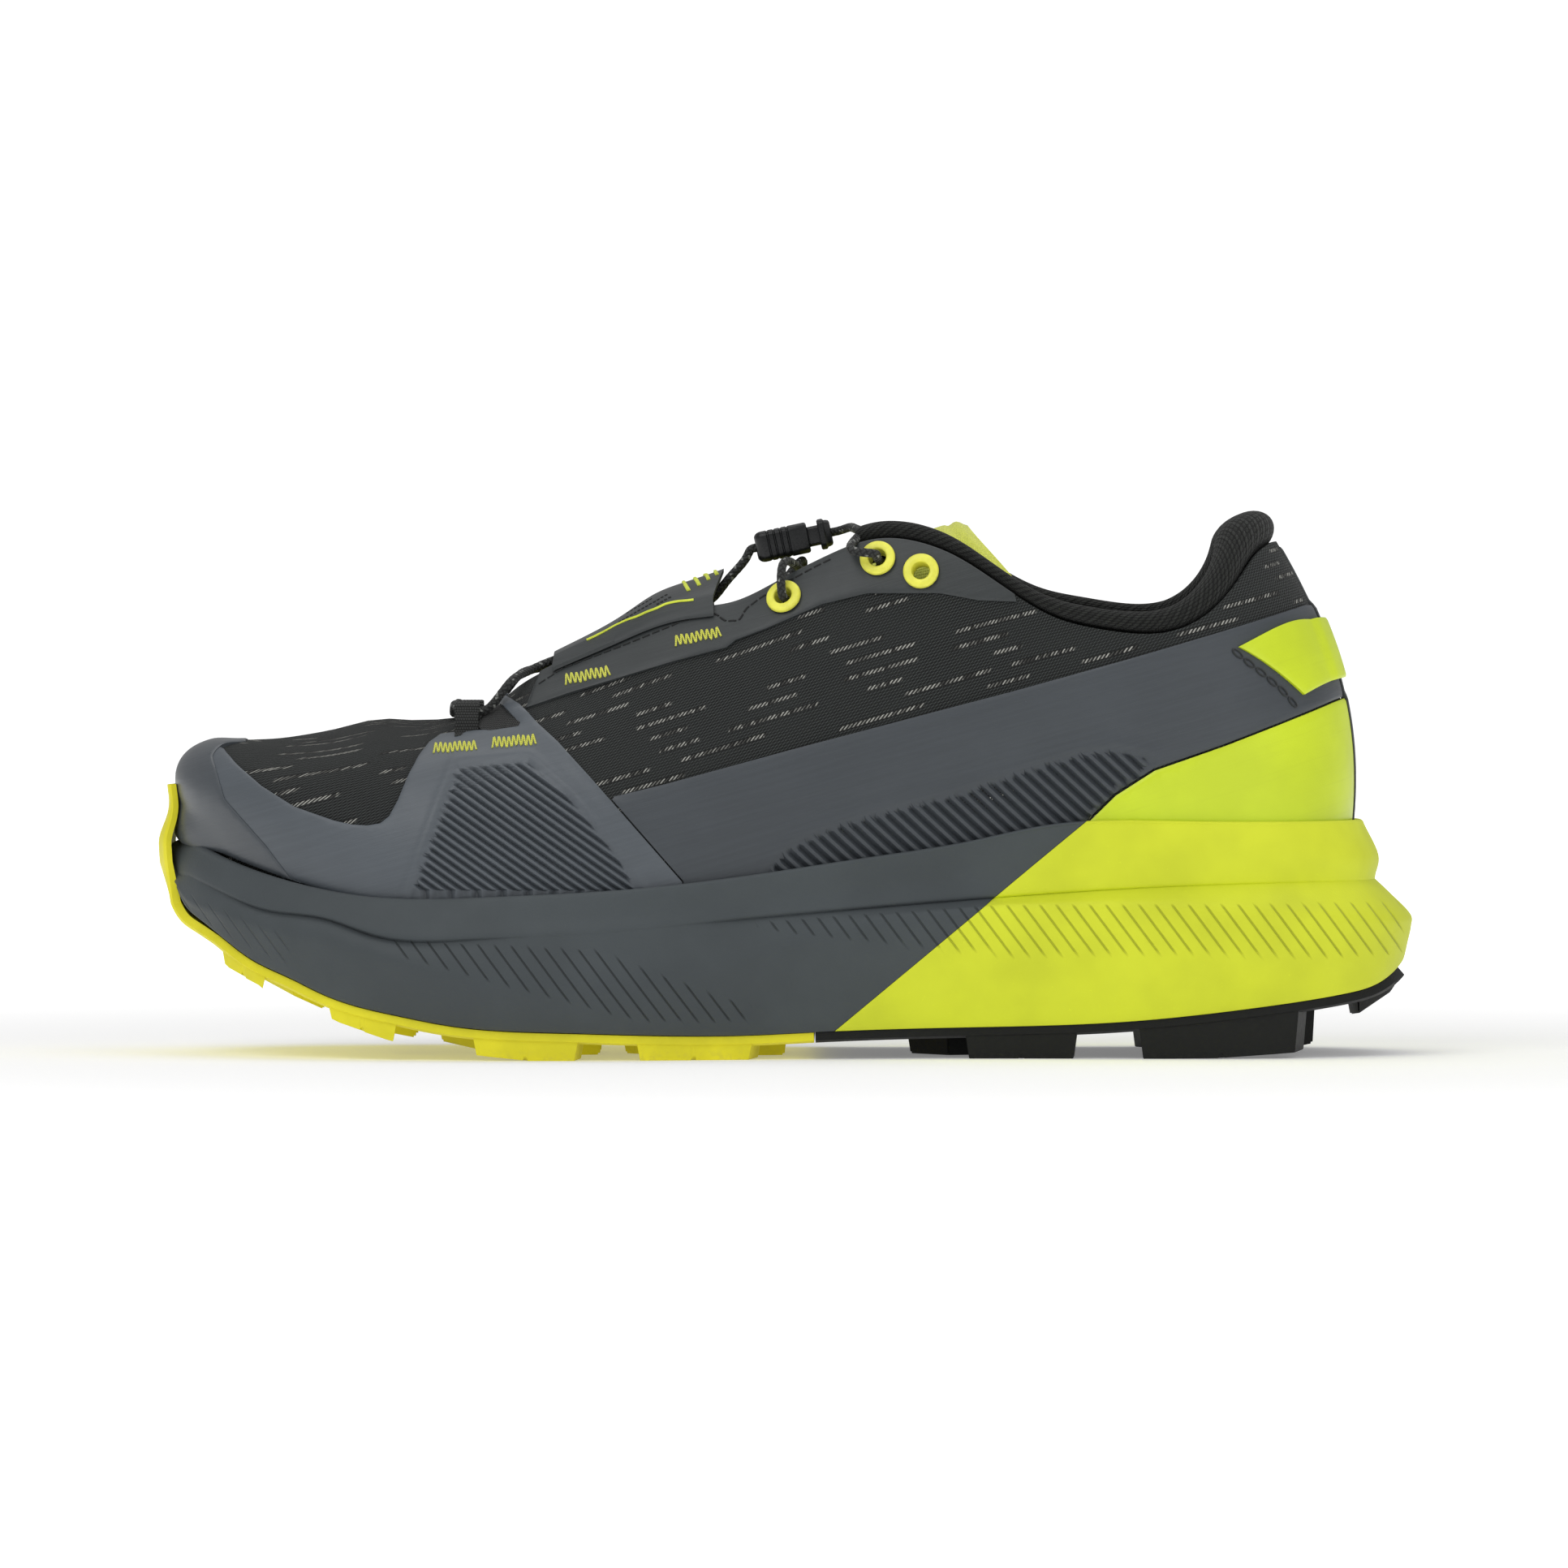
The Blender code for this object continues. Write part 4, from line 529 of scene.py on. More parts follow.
def skin(outline, layer, spacing=1.5, holes=(), shape=None, fine=None, rim=1.2, drop=RIM_DROP, lift=None,
         extra_points=None):
    """A closed skin over a region of the last, with rounded edges.

    outline and holes are loops of (s, h). shape(points) returns what to add to the outer face.
    fine(points) marks where extra_points take the place of the even ones. lift(s, h) raises both faces.
    Returns verts, faces and maps.
    """
    scale = np.array([S_SCALE, H_SCALE])
    loops = [np.array(spread([(s * S_SCALE, h * H_SCALE) for s, h in outline], rim, closed=True))]
    loops += [np.array([(s * S_SCALE, h * H_SCALE) for s, h in hole]) for hole in holes]
    low, high = loops[0].min(axis=0), loops[0].max(axis=0)

    def lattice(pitch):
        xs, ys = np.arange(low[0], high[0], pitch), np.arange(low[1], high[1], pitch * 0.87)
        x, y = np.meshgrid(xs, ys)
        x = x + (np.arange(len(ys)) % 2)[:, None] * pitch / 2
        return np.stack([x.ravel(), y.ravel()], axis=1)

    def clear_of_rims(points, clearance):
        points = points[within(points, loops[0])]
        for k, loop in enumerate(loops):
            if k and len(points):
                points = points[~within(points, loop)]
            points = points[distance(points, loop) > clearance]
        return points

    inner = clear_of_rims(lattice(spacing), RIM_CLEARANCE)
    if fine is not None:
        marked = fine(shell(inner[:, 0] / S_SCALE, inner[:, 1] / H_SCALE, layer[1]))
        inner = np.concatenate([inner[~marked], clear_of_rims(extra_points * scale, RIM_CLEARANCE)])
    bevel = []
    for loop in loops:
        ahead = np.roll(loop, -1, axis=0) - np.roll(loop, 1, axis=0)
        normal = np.stack([-ahead[:, 1], ahead[:, 0]], axis=1)
        normal /= np.maximum(np.linalg.norm(normal, axis=1, keepdims=True), 1e-9)
        bevel += [clear_of_rims(loop + sign * normal * inset, inset * 0.85)
                  for inset in RIM_INSETS for sign in (-1, 1)]
    points = [*map(tuple, np.concatenate([*loops, *bevel, inner]))]
    edges, first = [], 0
    for loop in loops:
        n = len(loop)
        edges += [(first + i, first + (i + 1) % n) for i in range(n)]
        first += n
    flat, _, triangles, *_ = delaunay_2d_cdt([Vector(p) for p in points], edges, [], 0, 1e-4)
    flat = np.array([tuple(p) for p in flat])
    triangles = np.array([t for t in triangles if len(t) == 3])
    centres = flat[triangles].mean(axis=1)
    keep = within(centres, loops[0])
    for loop in loops[1:]:
        keep &= ~within(centres, loop)
    a, b, c = (flat[triangles[:, k]] for k in range(3))
    area = np.abs((b - a)[:, 0] * (c - a)[:, 1] - (b - a)[:, 1] * (c - a)[:, 0])
    triangles = triangles[keep & (area > 1e-4)]
    used, triangles = np.unique(triangles, return_inverse=True)
    triangles = triangles.reshape(-1, 3)
    flat = flat[used]
    s, h = (flat / scale).T
    base_points = shell(s, h, layer[1])
    edge = np.min([distance(flat, loop) for loop in loops], axis=0)
    extra = -drop * (1 - ease(edge, -0.25, 0.75))
    if shape is not None:
        extra = extra + shape(base_points)
    raised = lift(s, h) if lift is not None else np.zeros(len(s))
    verts = np.concatenate([shell(s, h, layer[1] + extra + raised), shell(s, h, layer[0] + raised)])
    base = len(s)
    ends = np.concatenate([triangles[:, [0, 1]], triangles[:, [1, 2]], triangles[:, [2, 0]]])
    sides = {(int(p), int(q)) for p, q in ends}
    faces = triangles.tolist() + (triangles[:, ::-1] + base).tolist()
    faces += [[q, p, base + p, base + q] for p, q in sorted(sides) if (q, p) not in sides]
    maps = surface_maps(s, h)
    return verts, faces, np.concatenate([maps, maps])


# Materials


def linear(red, green, blue):
    """A colour from its 0 to 255 display values."""
    return tuple(((c / 255 + 0.055) / 1.055) ** 2.4 if c > 10 else c / 255 / 12.92
                 for c in (red, green, blue))


class Value:
    """A shader number that combines with others in plain arithmetic."""

    def __init__(self, tree, socket):
        self.tree, self.socket = tree, socket

    def math(self, operation, *others):
        node = self.tree.nodes.new("ShaderNodeMath")
        node.operation = operation
        for slot, value in zip(node.inputs, (self, *others), strict=False):
            if isinstance(value, Value):
                self.tree.links.new(value.socket, slot)
            else:
                slot.default_value = value
        return Value(self.tree, node.outputs[0])

    def __add__(self, other):
        return self.math("ADD", other)

    def __sub__(self, other):
        return self.math("SUBTRACT", other)

    def __mul__(self, other):
        return self.math("MULTIPLY", other)

    def __truediv__(self, other):
        return self.math("DIVIDE", other)

    def __pow__(self, other):
        return self.math("POWER", other)

    def __neg__(self):
        return self * -1

    def __rsub__(self, other):
        return -self + other

    __radd__, __rmul__ = __add__, __mul__

    def sin(self):
        return self.math("SINE")

    def floor(self):
        return self.math("FLOOR")

    def fract(self):
        return self.math("FRACT")

    def abs(self):
        return self.math("ABSOLUTE")

    def most(self, other):
        return self.math("MAXIMUM", other)

    def ease(self, low, high):
        """0 at low, 1 at high, smooth between."""
        node = self.tree.nodes.new("ShaderNodeMapRange")
        node.interpolation_type = "SMOOTHSTEP"
        self.tree.links.new(self.socket, node.inputs["Value"])
        node.inputs["From Min"].default_value, node.inputs["From Max"].default_value = low, high
        return Value(self.tree, node.outputs["Result"])

    def hump(self, centre, width):
        """1 at centre, falling smoothly to 0 at width either side."""
        return 1 - (self - centre).abs().ease(0, width)


class Look:
    """A material under construction: its node tree, its shader and its coordinates in millimetres."""

    def __init__(self, name, roughness, **sockets):
        self.material = bpy.data.materials.new(name)
        self.material.use_nodes = True
        self.tree = self.material.node_tree
        self.shader = self.tree.nodes["Principled BSDF"]
        self.shader.inputs["Roughness"].default_value = roughness
        for key, value in sockets.items():
            self.shader.inputs[key.replace("_", " ")].default_value = value
        place = self.tree.nodes.new("ShaderNodeTexCoord")
        self.place = self.scaled(place.outputs["Object"], 1 / MM)
        self.x, self.y, self.z = self.split(self.place)
        weave = self.tree.nodes.new("ShaderNodeUVMap")
        weave.uv_map = "weave"
        self.u, self.v, _ = self.split(weave.outputs["UV"])

    def scaled(self, socket, factor):
        node = self.tree.nodes.new("ShaderNodeVectorMath")
        node.operation = "MULTIPLY"
        self.tree.links.new(socket, node.inputs[0])
        node.inputs[1].default_value = (factor,) * 3 if isinstance(factor, (int, float)) else factor
        return node.outputs["Vector"]

    def split(self, socket):
        node = self.tree.nodes.new("ShaderNodeSeparateXYZ")
        self.tree.links.new(socket, node.inputs[0])
        return [Value(self.tree, node.outputs[k]) for k in range(3)]

    def together(self, x, y, z=0.0):
        node = self.tree.nodes.new("ShaderNodeCombineXYZ")
        for slot, value in zip(node.inputs, (x, y, z), strict=True):
            if isinstance(value, Value):
                self.tree.links.new(value.socket, slot)
            else:
                slot.default_value = value
        return node.outputs[0]

    def noise(self, size, detail=3.0, place=None, roughness=0.55):
        """Noise from 0 to 1 with features of about that size in millimetres."""
        node = self.tree.nodes.new("ShaderNodeTexNoise")
        self.tree.links.new(place or self.place, node.inputs["Vector"])
        node.inputs["Scale"].default_value = 1 / size
        node.inputs["Detail"].default_value = detail
        node.inputs["Roughness"].default_value = roughness
        return Value(self.tree, node.outputs["Fac"])

    def chance(self, x, y):
        """A random number from 0 to 1 for each whole x and y."""
        node = self.tree.nodes.new("ShaderNodeTexWhiteNoise")
        node.noise_dimensions = "3D"
        self.tree.links.new(self.together(x, y), node.inputs["Vector"])
        return Value(self.tree, node.outputs["Value"])

    def cells(self, size, place=None):
        """Distance to the nearest of scattered points, from 0 to about 1."""
        node = self.tree.nodes.new("ShaderNodeTexVoronoi")
        self.tree.links.new(place or self.place, node.inputs["Vector"])
        node.inputs["Scale"].default_value = 1 / size
        return Value(self.tree, node.outputs["Distance"])

    def mask(self, name):
        node = self.tree.nodes.new("ShaderNodeAttribute")
        node.attribute_name = name
        return Value(self.tree, node.outputs["Fac"])

    def blend(self, share, first, second):
        """A colour between two others, each a colour or the result of another blend."""
        node = self.tree.nodes.new("ShaderNodeMix")
        node.data_type = "RGBA"
        self.tree.links.new(share.socket, node.inputs["Factor"])
        for slot, colour in ((node.inputs[6], first), (node.inputs[7], second)):
            if isinstance(colour, tuple):
                slot.default_value = (*colour, 1.0)
            else:
                self.tree.links.new(colour, slot)
        return node.outputs[2]

    def finish(self, colour, relief=None, depth=0.1, roughness=None):
        """Links the colour, a relief from 0 to 1 that is depth millimetres deep, and the roughness."""
        if isinstance(colour, tuple):
            self.shader.inputs["Base Color"].default_value = (*colour, 1.0)
        else:
            self.tree.links.new(colour, self.shader.inputs["Base Color"])
        if relief is not None:
            node = self.tree.nodes.new("ShaderNodeBump")
            node.inputs["Distance"].default_value = depth * MM
            self.tree.links.new(relief.socket, node.inputs["Height"])
            self.tree.links.new(node.outputs["Normal"], self.shader.inputs["Normal"])
        if roughness is not None:
            self.tree.links.new(roughness.socket, self.shader.inputs["Roughness"])
        return self.material


def shade(colour, factor):
    return tuple(c * factor for c in colour)


GROOVE_SLOPE = 0.75  # how far a sidewall groove runs rearward for each millimetre down
# Each family of grooves: mask, pitch, and width as a share of the pitch
GROOVES = (("front_grooves", 3.8, 0.1), ("rear_grooves", 3.9, 0.11), ("toe_grooves", 3.0, 0.13))


def foam_look(name, colour, groove_shade=0.42):
    """Moulded foam with a fine skin grain and slanted grooves in its sidewall, whose colour is darkened in
    the grooves as painted shade.
    """
    look = Look(name, 0.62, Specular_IOR_Level=0.32, Sheen_Weight=0.03)
    along = look.x + look.z * GROOVE_SLOPE
    grooves = None
    for mask, pitch, width in GROOVES:
        line = (along / pitch).fract().hump(0.5, width) * look.mask(mask)
        grooves = line if grooves is None else grooves.most(line)
    grain = look.cells(0.9) * 0.6 + look.noise(0.5, 2.0) * 0.5
    broad = look.noise(28, 3.0)
    base = look.blend(broad.ease(0.35, 0.68), shade(colour, 0.93), shade(colour, 1.06))
    # painted shade: the foam's colour is darkened inside the grooves, where shade falls
    base = look.blend(grooves, base, shade(colour, groove_shade))
    base = look.blend(look.noise(0.7, 2.0).ease(0.66, 0.8) * 0.25, base, shade(colour, 1.3))
    relief = grain * 0.07 - grooves * 0.9 + broad * 0.1
    return look.finish(base, relief, 0.55, look.noise(9, 3.0) * 0.2 + 0.5)


def rubber_look(name, colour, worn):
    """Moulded rubber, a little scuffed where it meets the ground."""
    look = Look(name, 0.5, Specular_IOR_Level=0.3)
    scuffs = look.noise(1.6, 4.0)
    tread = (1 - look.z.ease(0.2, 3.5)) * scuffs.ease(0.45, 0.7)
    base = look.blend(look.noise(14).ease(0.3, 0.7), shade(colour, 0.92), shade(colour, 1.07))
    base = look.blend(tread * 0.35, base, worn)
    relief = look.noise(0.5, 3.0) * 0.35 + scuffs * 0.3
    return look.finish(base, relief, 0.12, scuffs * 0.2 + 0.46)


def knit_pattern(u, v, stitch, row):
    """Slanted oval stitches in staggered rows: a relief from 0 to 1."""
    line = (v / row).floor()
    across = (v / row).fract() - 0.5
    along = ((u + across * row * 1.1) / stitch + line * 0.5).fract() - 0.5
    far = (along / 0.46) ** 2 + (across / 0.50) ** 2
    return 1 - far.ease(0.15, 1.15)


def mesh_look():
    """Engineered mesh: a fine knit with short ladders of open stitches along its rows, darkened inside with
    painted shade.
    """
    dark, thread, open_thread = linear(7, 8, 8), linear(61, 65, 64), linear(206, 206, 198)
    look = Look("engineered_mesh", 0.78, Specular_IOR_Level=0.3, Sheen_Weight=0.05, Sheen_Roughness=0.5)
    stitches = knit_pattern(look.u, look.v, 0.94, 0.72)
    row_height, dash = 3.8, 27.0
    line = (look.v / row_height).floor()
    across = (look.v / row_height).fract()
    shift = look.chance(line, 3.7) * 7.3
    run = look.u / dash + shift
    cell, place = run.floor(), run.fract()
    start = look.chance(cell, line) * 0.3
    end = look.chance(cell + 31.7, line) * 0.45 + 0.42
    length = (place - start).ease(0.0, 0.03) * (1 - (place - end).ease(-0.02, 0.02))
    chosen = look.chance(cell + 7.1, line + 2.3).ease(0.17, 0.18)
    ladder = across.hump(0.5, 0.17).ease(0.0, 0.4) * length * chosen
    rungs = ((look.u + look.v * 0.8) / 1.06).fract().hump(0.5, 0.42)
    bright = look.chance((look.u / 1.06).floor(), line).ease(0.05, 0.8)
    base = look.blend(stitches, dark, thread)
    base = look.blend(look.noise(19).ease(0.35, 0.7) * 0.3, base, shade(thread, 0.6))
    # painted shade: the slits and the ladders of open stitches are darkened, as shade inside the openings
    slit_shade = across.hump(0.5, 0.3).ease(0.0, 0.4) * length * chosen
    base = look.blend(slit_shade * 0.6, base, shade(dark, 0.8))
    base = look.blend(ladder, base, shade(dark, 0.5))
    base = look.blend(ladder * rungs * (bright * 0.85 + 0.1), base, open_thread)
    relief = stitches * (1 - ladder) + ladder * (rungs * 0.9 - 0.5)
    return look.finish(base, relief, 0.4)


def film_look(name, colour, streak=0.05, roughness=0.48, gloss=0.08):
    """Thin moulded film over knit, brushed along the shoe, with a paler bloom in places and painted shade in
    the grooves between its ribs.
    """
    look = Look(name, roughness, Specular_IOR_Level=0.42, Coat_Weight=gloss, Coat_Roughness=0.35)
    along = look.x + look.z * 0.28
    across = look.z - look.x * 0.28
    streaks = look.noise(1.0, 3.0, look.together(along / 26, across / 0.9, look.y / 20))
    fine = look.noise(1.0, 2.0, look.together(along / 5, across / 0.22, look.y / 4))
    specks = look.noise(0.45, 1.0).ease(0.74, 0.8)
    base = look.blend(streaks.ease(0.3, 0.72), shade(colour, 1 - streak), shade(colour, 1 + streak))
    base = look.blend(look.noise(22).ease(0.4, 0.75) * 0.35, base, shade(colour, 1.25))
    base = look.blend(specks * 0.3, base, shade(colour, 1.7))
    # painted shade: the grooves between the ribs are darkened to a quarter of the film's colour
    base = look.blend(look.mask("rib_grooves_and_shade") * 0.5, base, shade(colour, 0.25))
    relief = streaks * 0.6 + fine * 0.4
    return look.finish(base, relief, 0.10, look.noise(6) * 0.18 + (roughness - 0.1))


def lime_film_look():
    """Smooth bright film, with faint moulding lines low on the heel."""
    colour = linear(209, 228, 34)
    look = Look("lime_film", 0.42, Specular_IOR_Level=0.45, Coat_Weight=0.1, Coat_Roughness=0.3)
    streaks = look.noise(1.0, 3.0, look.together((look.x + look.z * 0.3) / 30, (look.z - look.x * 0.3) / 1.4))
    base = look.blend(look.noise(24).ease(0.35, 0.7), shade(colour, 0.94), shade(colour, 1.05))
    base = look.blend(streaks.ease(0.55, 0.75) * 0.25, base, shade(colour, 0.86))
    relief = streaks * 0.5 + look.noise(0.6, 2.0) * 0.3
    return look.finish(base, relief, 0.09, look.noise(7) * 0.16 + 0.34)


def collar_look(name, dark, bright):
    """Soft ribbed knit over foam: short slanted stitches that catch the light."""
    look = Look(name, 0.85, Specular_IOR_Level=0.25, Sheen_Weight=0.08, Sheen_Roughness=0.5)
    stitches = knit_pattern(look.u, look.v, 1.7, 0.8)
    ribs = ((look.u + look.v * 0.9) / 3.2).fract().hump(0.5, 0.5)
    fuzz = look.noise(0.35, 3.0)
    base = look.blend(stitches * (ribs * 0.5 + 0.5), dark, bright)
    base = look.blend(fuzz.ease(0.5, 0.75) * 0.35, base, shade(bright, 1.5))
    return look.finish(base, stitches * 0.7 + ribs * 0.5 + fuzz * 0.4, 0.35)


def tongue_look():
    """Brushed bright textile with a fine nap."""
    colour = linear(222, 228, 92)
    look = Look("tongue_textile", 0.88, Specular_IOR_Level=0.2, Sheen_Weight=0.35, Sheen_Roughness=0.5)
    weave = ((look.x * 2.0).fract().hump(0.5, 0.5) + (look.y * 2.0).fract().hump(0.5, 0.5)) * 0.5
    nap = look.noise(0.5, 4.0)
    base = look.blend(nap.ease(0.35, 0.7), shade(colour, 0.84), shade(colour, 1.08))
    base = look.blend(look.noise(11).ease(0.4, 0.75) * 0.4, base, linear(206, 222, 66))
    return look.finish(base, nap * 0.6 + weave * 0.4, 0.3)


def cord_look():
    """Tightly braided black cord with a few paler filaments."""
    look = Look("braided_cord", 0.72, Specular_IOR_Level=0.35, Sheen_Weight=0.1)
    u, v = look.u / 1.3, look.v / (math.pi * CORD_DIAMETER) * 4
    left, right = (u + v).fract().hump(0.5, 0.5), (u - v).fract().hump(0.5, 0.5)
    over = ((u + v).floor() * 0.5 + (u - v).floor() * 0.5).fract().ease(0.2, 0.3)
    strands = left * over + right * (1 - over)
    fleck = look.chance((u + v).floor(), (u - v).floor()).ease(0.86, 0.88)
    base = look.blend(strands, linear(13, 14, 14), linear(52, 54, 53))
    base = look.blend(fleck * strands * 0.8, base, linear(150, 152, 148))
    return look.finish(base, strands + look.noise(0.25) * 0.25, 0.22)


def webbing_look():
    """Narrow woven tape with fine ribs across it."""
    look = Look("webbing", 0.75, Specular_IOR_Level=0.3, Sheen_Weight=0.1)
    weft = (look.u / 0.75).fract().hump(0.5, 0.5)
    warp = (look.v / 0.6 + (look.u / 0.75).floor() * 0.5).fract().hump(0.5, 0.5)
    base = look.blend(weft * warp, linear(20, 21, 21), linear(66, 68, 66))
    return look.finish(base, weft * 0.7 + warp * 0.3, 0.3)


def thread_look(name, colour):
    """Twisted sewing thread, darker in the grooves of its twist and lighter on its crowns as painted shade
    and light.
    """
    look = Look(name, 0.6, Specular_IOR_Level=0.4, Sheen_Weight=0.2)
    twist = ((look.u * 1.6 + look.v * 1.4)).fract().hump(0.5, 0.5)
    # painted shade and light: a darker copy of the colour in the twist's grooves, a lighter one on its crowns
    base = look.blend(twist, shade(colour, 0.6), shade(colour, 1.1))
    return look.finish(base, twist, 0.1)


def moulded_look(name, colour, roughness=0.35, grain=0.4):
    """Moulded plastic with a faint spark-eroded grain."""
    look = Look(name, roughness, Specular_IOR_Level=0.4)
    fine = look.noise(grain, 3.0)
    base = look.blend(look.noise(4).ease(0.3, 0.7), shade(colour, 0.9), shade(colour, 1.1))
    return look.finish(base, fine, 0.035, fine * 0.22 + (roughness - 0.08))


def insole_look():
    """Fabric top on a moulded foam insole."""
    look = Look("insole_fabric", 0.88, Specular_IOR_Level=0.2, Sheen_Weight=0.15)
    weave = knit_pattern(look.x, look.y, 1.1, 0.9)
    base = look.blend(weave, linear(34, 37, 37), linear(74, 79, 79))
    base = look.blend(look.noise(17).ease(0.4, 0.7) * 0.4, base, linear(52, 56, 56))
    return look.finish(base, weave + look.noise(0.4) * 0.3, 0.3)


def board_look(name, colour):
    """Fibre board or sheet, with loose fibres in its face."""
    look = Look(name, 0.85)
    fibres = look.noise(1.0, 3.0, look.together(look.x / 1.8, look.y / 0.3, look.z / 0.3))
    base = look.blend(fibres.ease(0.35, 0.65), shade(colour, 0.8), shade(colour, 1.12))
    return look.finish(base, fibres, 0.15)


def steel_look():
    look = Look("spring_wire", 0.28, Metallic=1.0)
    drawn = look.noise(1.0, 2.0, look.together(look.x / 0.1, look.y / 0.1, look.z / 1.5))
    base = look.blend(drawn.ease(0.3, 0.7), linear(150, 152, 154), linear(205, 207, 208))
    return look.finish(base, drawn, 0.02, drawn * 0.2 + 0.2)


LIME = linear(217, 226, 48)
LOOKS = {
    "grey_foam": foam_look("grey_foam", linear(70, 76, 79)),
    "lime_foam": foam_look("lime_foam", LIME, 0.62),
    "yellow_rubber": rubber_look("yellow_rubber", linear(238, 229, 44), linear(204, 192, 80)),
    "black_rubber": rubber_look("black_rubber", linear(13, 15, 13), linear(38, 39, 36)),
    "knit": mesh_look(),
    "slate_film": film_look("slate_film", linear(82, 88, 94), gloss=0.15),
    "band_film": film_look("band_film", linear(64, 69, 74)),
    "dark_film": film_look("dark_film", linear(50, 54, 55), 0.08),
    "bumper_film": film_look("bumper_film", linear(70, 75, 80), 0.03, 0.4, 0.3),
    "lime_film": lime_film_look(),
    "collar": collar_look("collar_knit", linear(9, 10, 9), linear(44, 46, 43)),
    "tongue": tongue_look(),
    "eyelet": moulded_look("eyelet_plastic", linear(236, 234, 88), 0.32),
    "cord": cord_look(),
    "webbing": webbing_look(),
    "lime_thread": thread_look("lime_thread", linear(228, 230, 84)),
    "dark_thread": thread_look("dark_thread", linear(44, 48, 50)),
    "lime_print": moulded_look("lime_print", linear(214, 226, 66), 0.5),
    "dark_print": moulded_look("dark_print", linear(20, 22, 22), 0.6),
    "lock": moulded_look("lock_nylon", linear(15, 17, 19), 0.3),
    "insole": insole_look(),
    "board": board_look("fibre_board", linear(206, 202, 190)),
    "stiffener": board_look("stiffener_sheet", linear(196, 196, 192)),
    "steel": steel_look(),
}


# Sole unit

BOTTOM_INSET = ((0, 0.2), (0.13, 2.0), (0.3, 4.5), (0.6, 5.0), (0.85, 4.0), (1, 2.0))
CREASE_INSET = ((0, 0.6), (0.13, 1.6), (0.3, 2.0), (0.6, 2.6), (0.8, 5.0), (1, 8.6))
BAND_INSET = ((0, 0.8), (0.13, 2.6), (0.3, 3.4), (0.6, 3.6), (0.8, 5.0), (1, 7.9))
CREASE_DEPTH = ((-145, 0.2), (-125, 0.9), (-100, 1.3), (-75, 0.9), (-58, 0), (-26, 0), (-10, 0.9), (20, 1.0),
                (60, 0.9), (110, 0.6), (150, 0.2))  # how far the crease is sunk, along the sole
FACET_Z = ((-146, 38), (-120, 30.5), (-107.5, 29), (-98.8, 26.2), (-91, 24), (-81, 21), (-60, 18), (-30, 19),
           (0, 27), (25, 33), (52, 35.5), (75.4, 36), (102.7, 34.8), (124.3, 33), (149.4, 31.5))
SOLE_COLUMNS = 560


def lip_station(s):
    """The h at which the inner face of the foam lip reaches the lip's height."""
    low, high = np.zeros(len(s)), np.full(len(s), 0.6)
    for _ in range(24):
        middle = (low + high) / 2
        point = shell(s, middle, LIP_GAP)
        below = point[:, 2] < height(lip_z, point[:, 0])
        low, high = np.where(below, middle, low), np.where(below, high, middle)
    return low


def outward(curve, s):
    """Unit plan normals of a ring curve that point away from the shoe's middle."""
    step = 1e-3
    along = curve(s + step)[..., :2] - curve(s - step)[..., :2]
    normal = unit(np.stack([-along[..., 1], along[..., 0]], axis=-1))
    place = curve(s)[..., :2]
    centre = np.stack([place[..., 0] * 0.93, np.full(place.shape[:-1], 2.0)], axis=-1)
    sign = np.sign(np.sum(normal * (place - centre), axis=-1, keepdims=True))
    return normal * np.where(sign == 0, 1, sign)


def catmull(rows, steps):
    """Points along smooth curves through rows of control points; shape (controls, columns, 3)."""
    padded_rows = np.concatenate([rows[:1], rows, rows[-1:]])
    out = []
    for k in range(len(rows) - 1):
        a, b, c, d = padded_rows[k:k + 4]
        for t in np.arange(steps) / steps:
            out.append(0.5 * (2 * b + (c - a) * t + (2 * a - 5 * b + 4 * c - d) * t**2
                              + (3 * b - 3 * c + d - a) * t**3))
    out.append(rows[-1])
    return np.array(out)


def lid(start, columns, flip):
    """Faces that close one ring of points, in strips across the shoe."""
    half = columns // 2
    strips = [[start + i, start + i + 1, start + columns - i - 1, start + (columns - i) % columns]
              for i in range(1, half - 1)]
    strips += [[start, start + 1, start + columns - 1],
               [start + half - 1, start + half, start + half + 1]]
    return [f[::-1] if flip else f for f in strips]


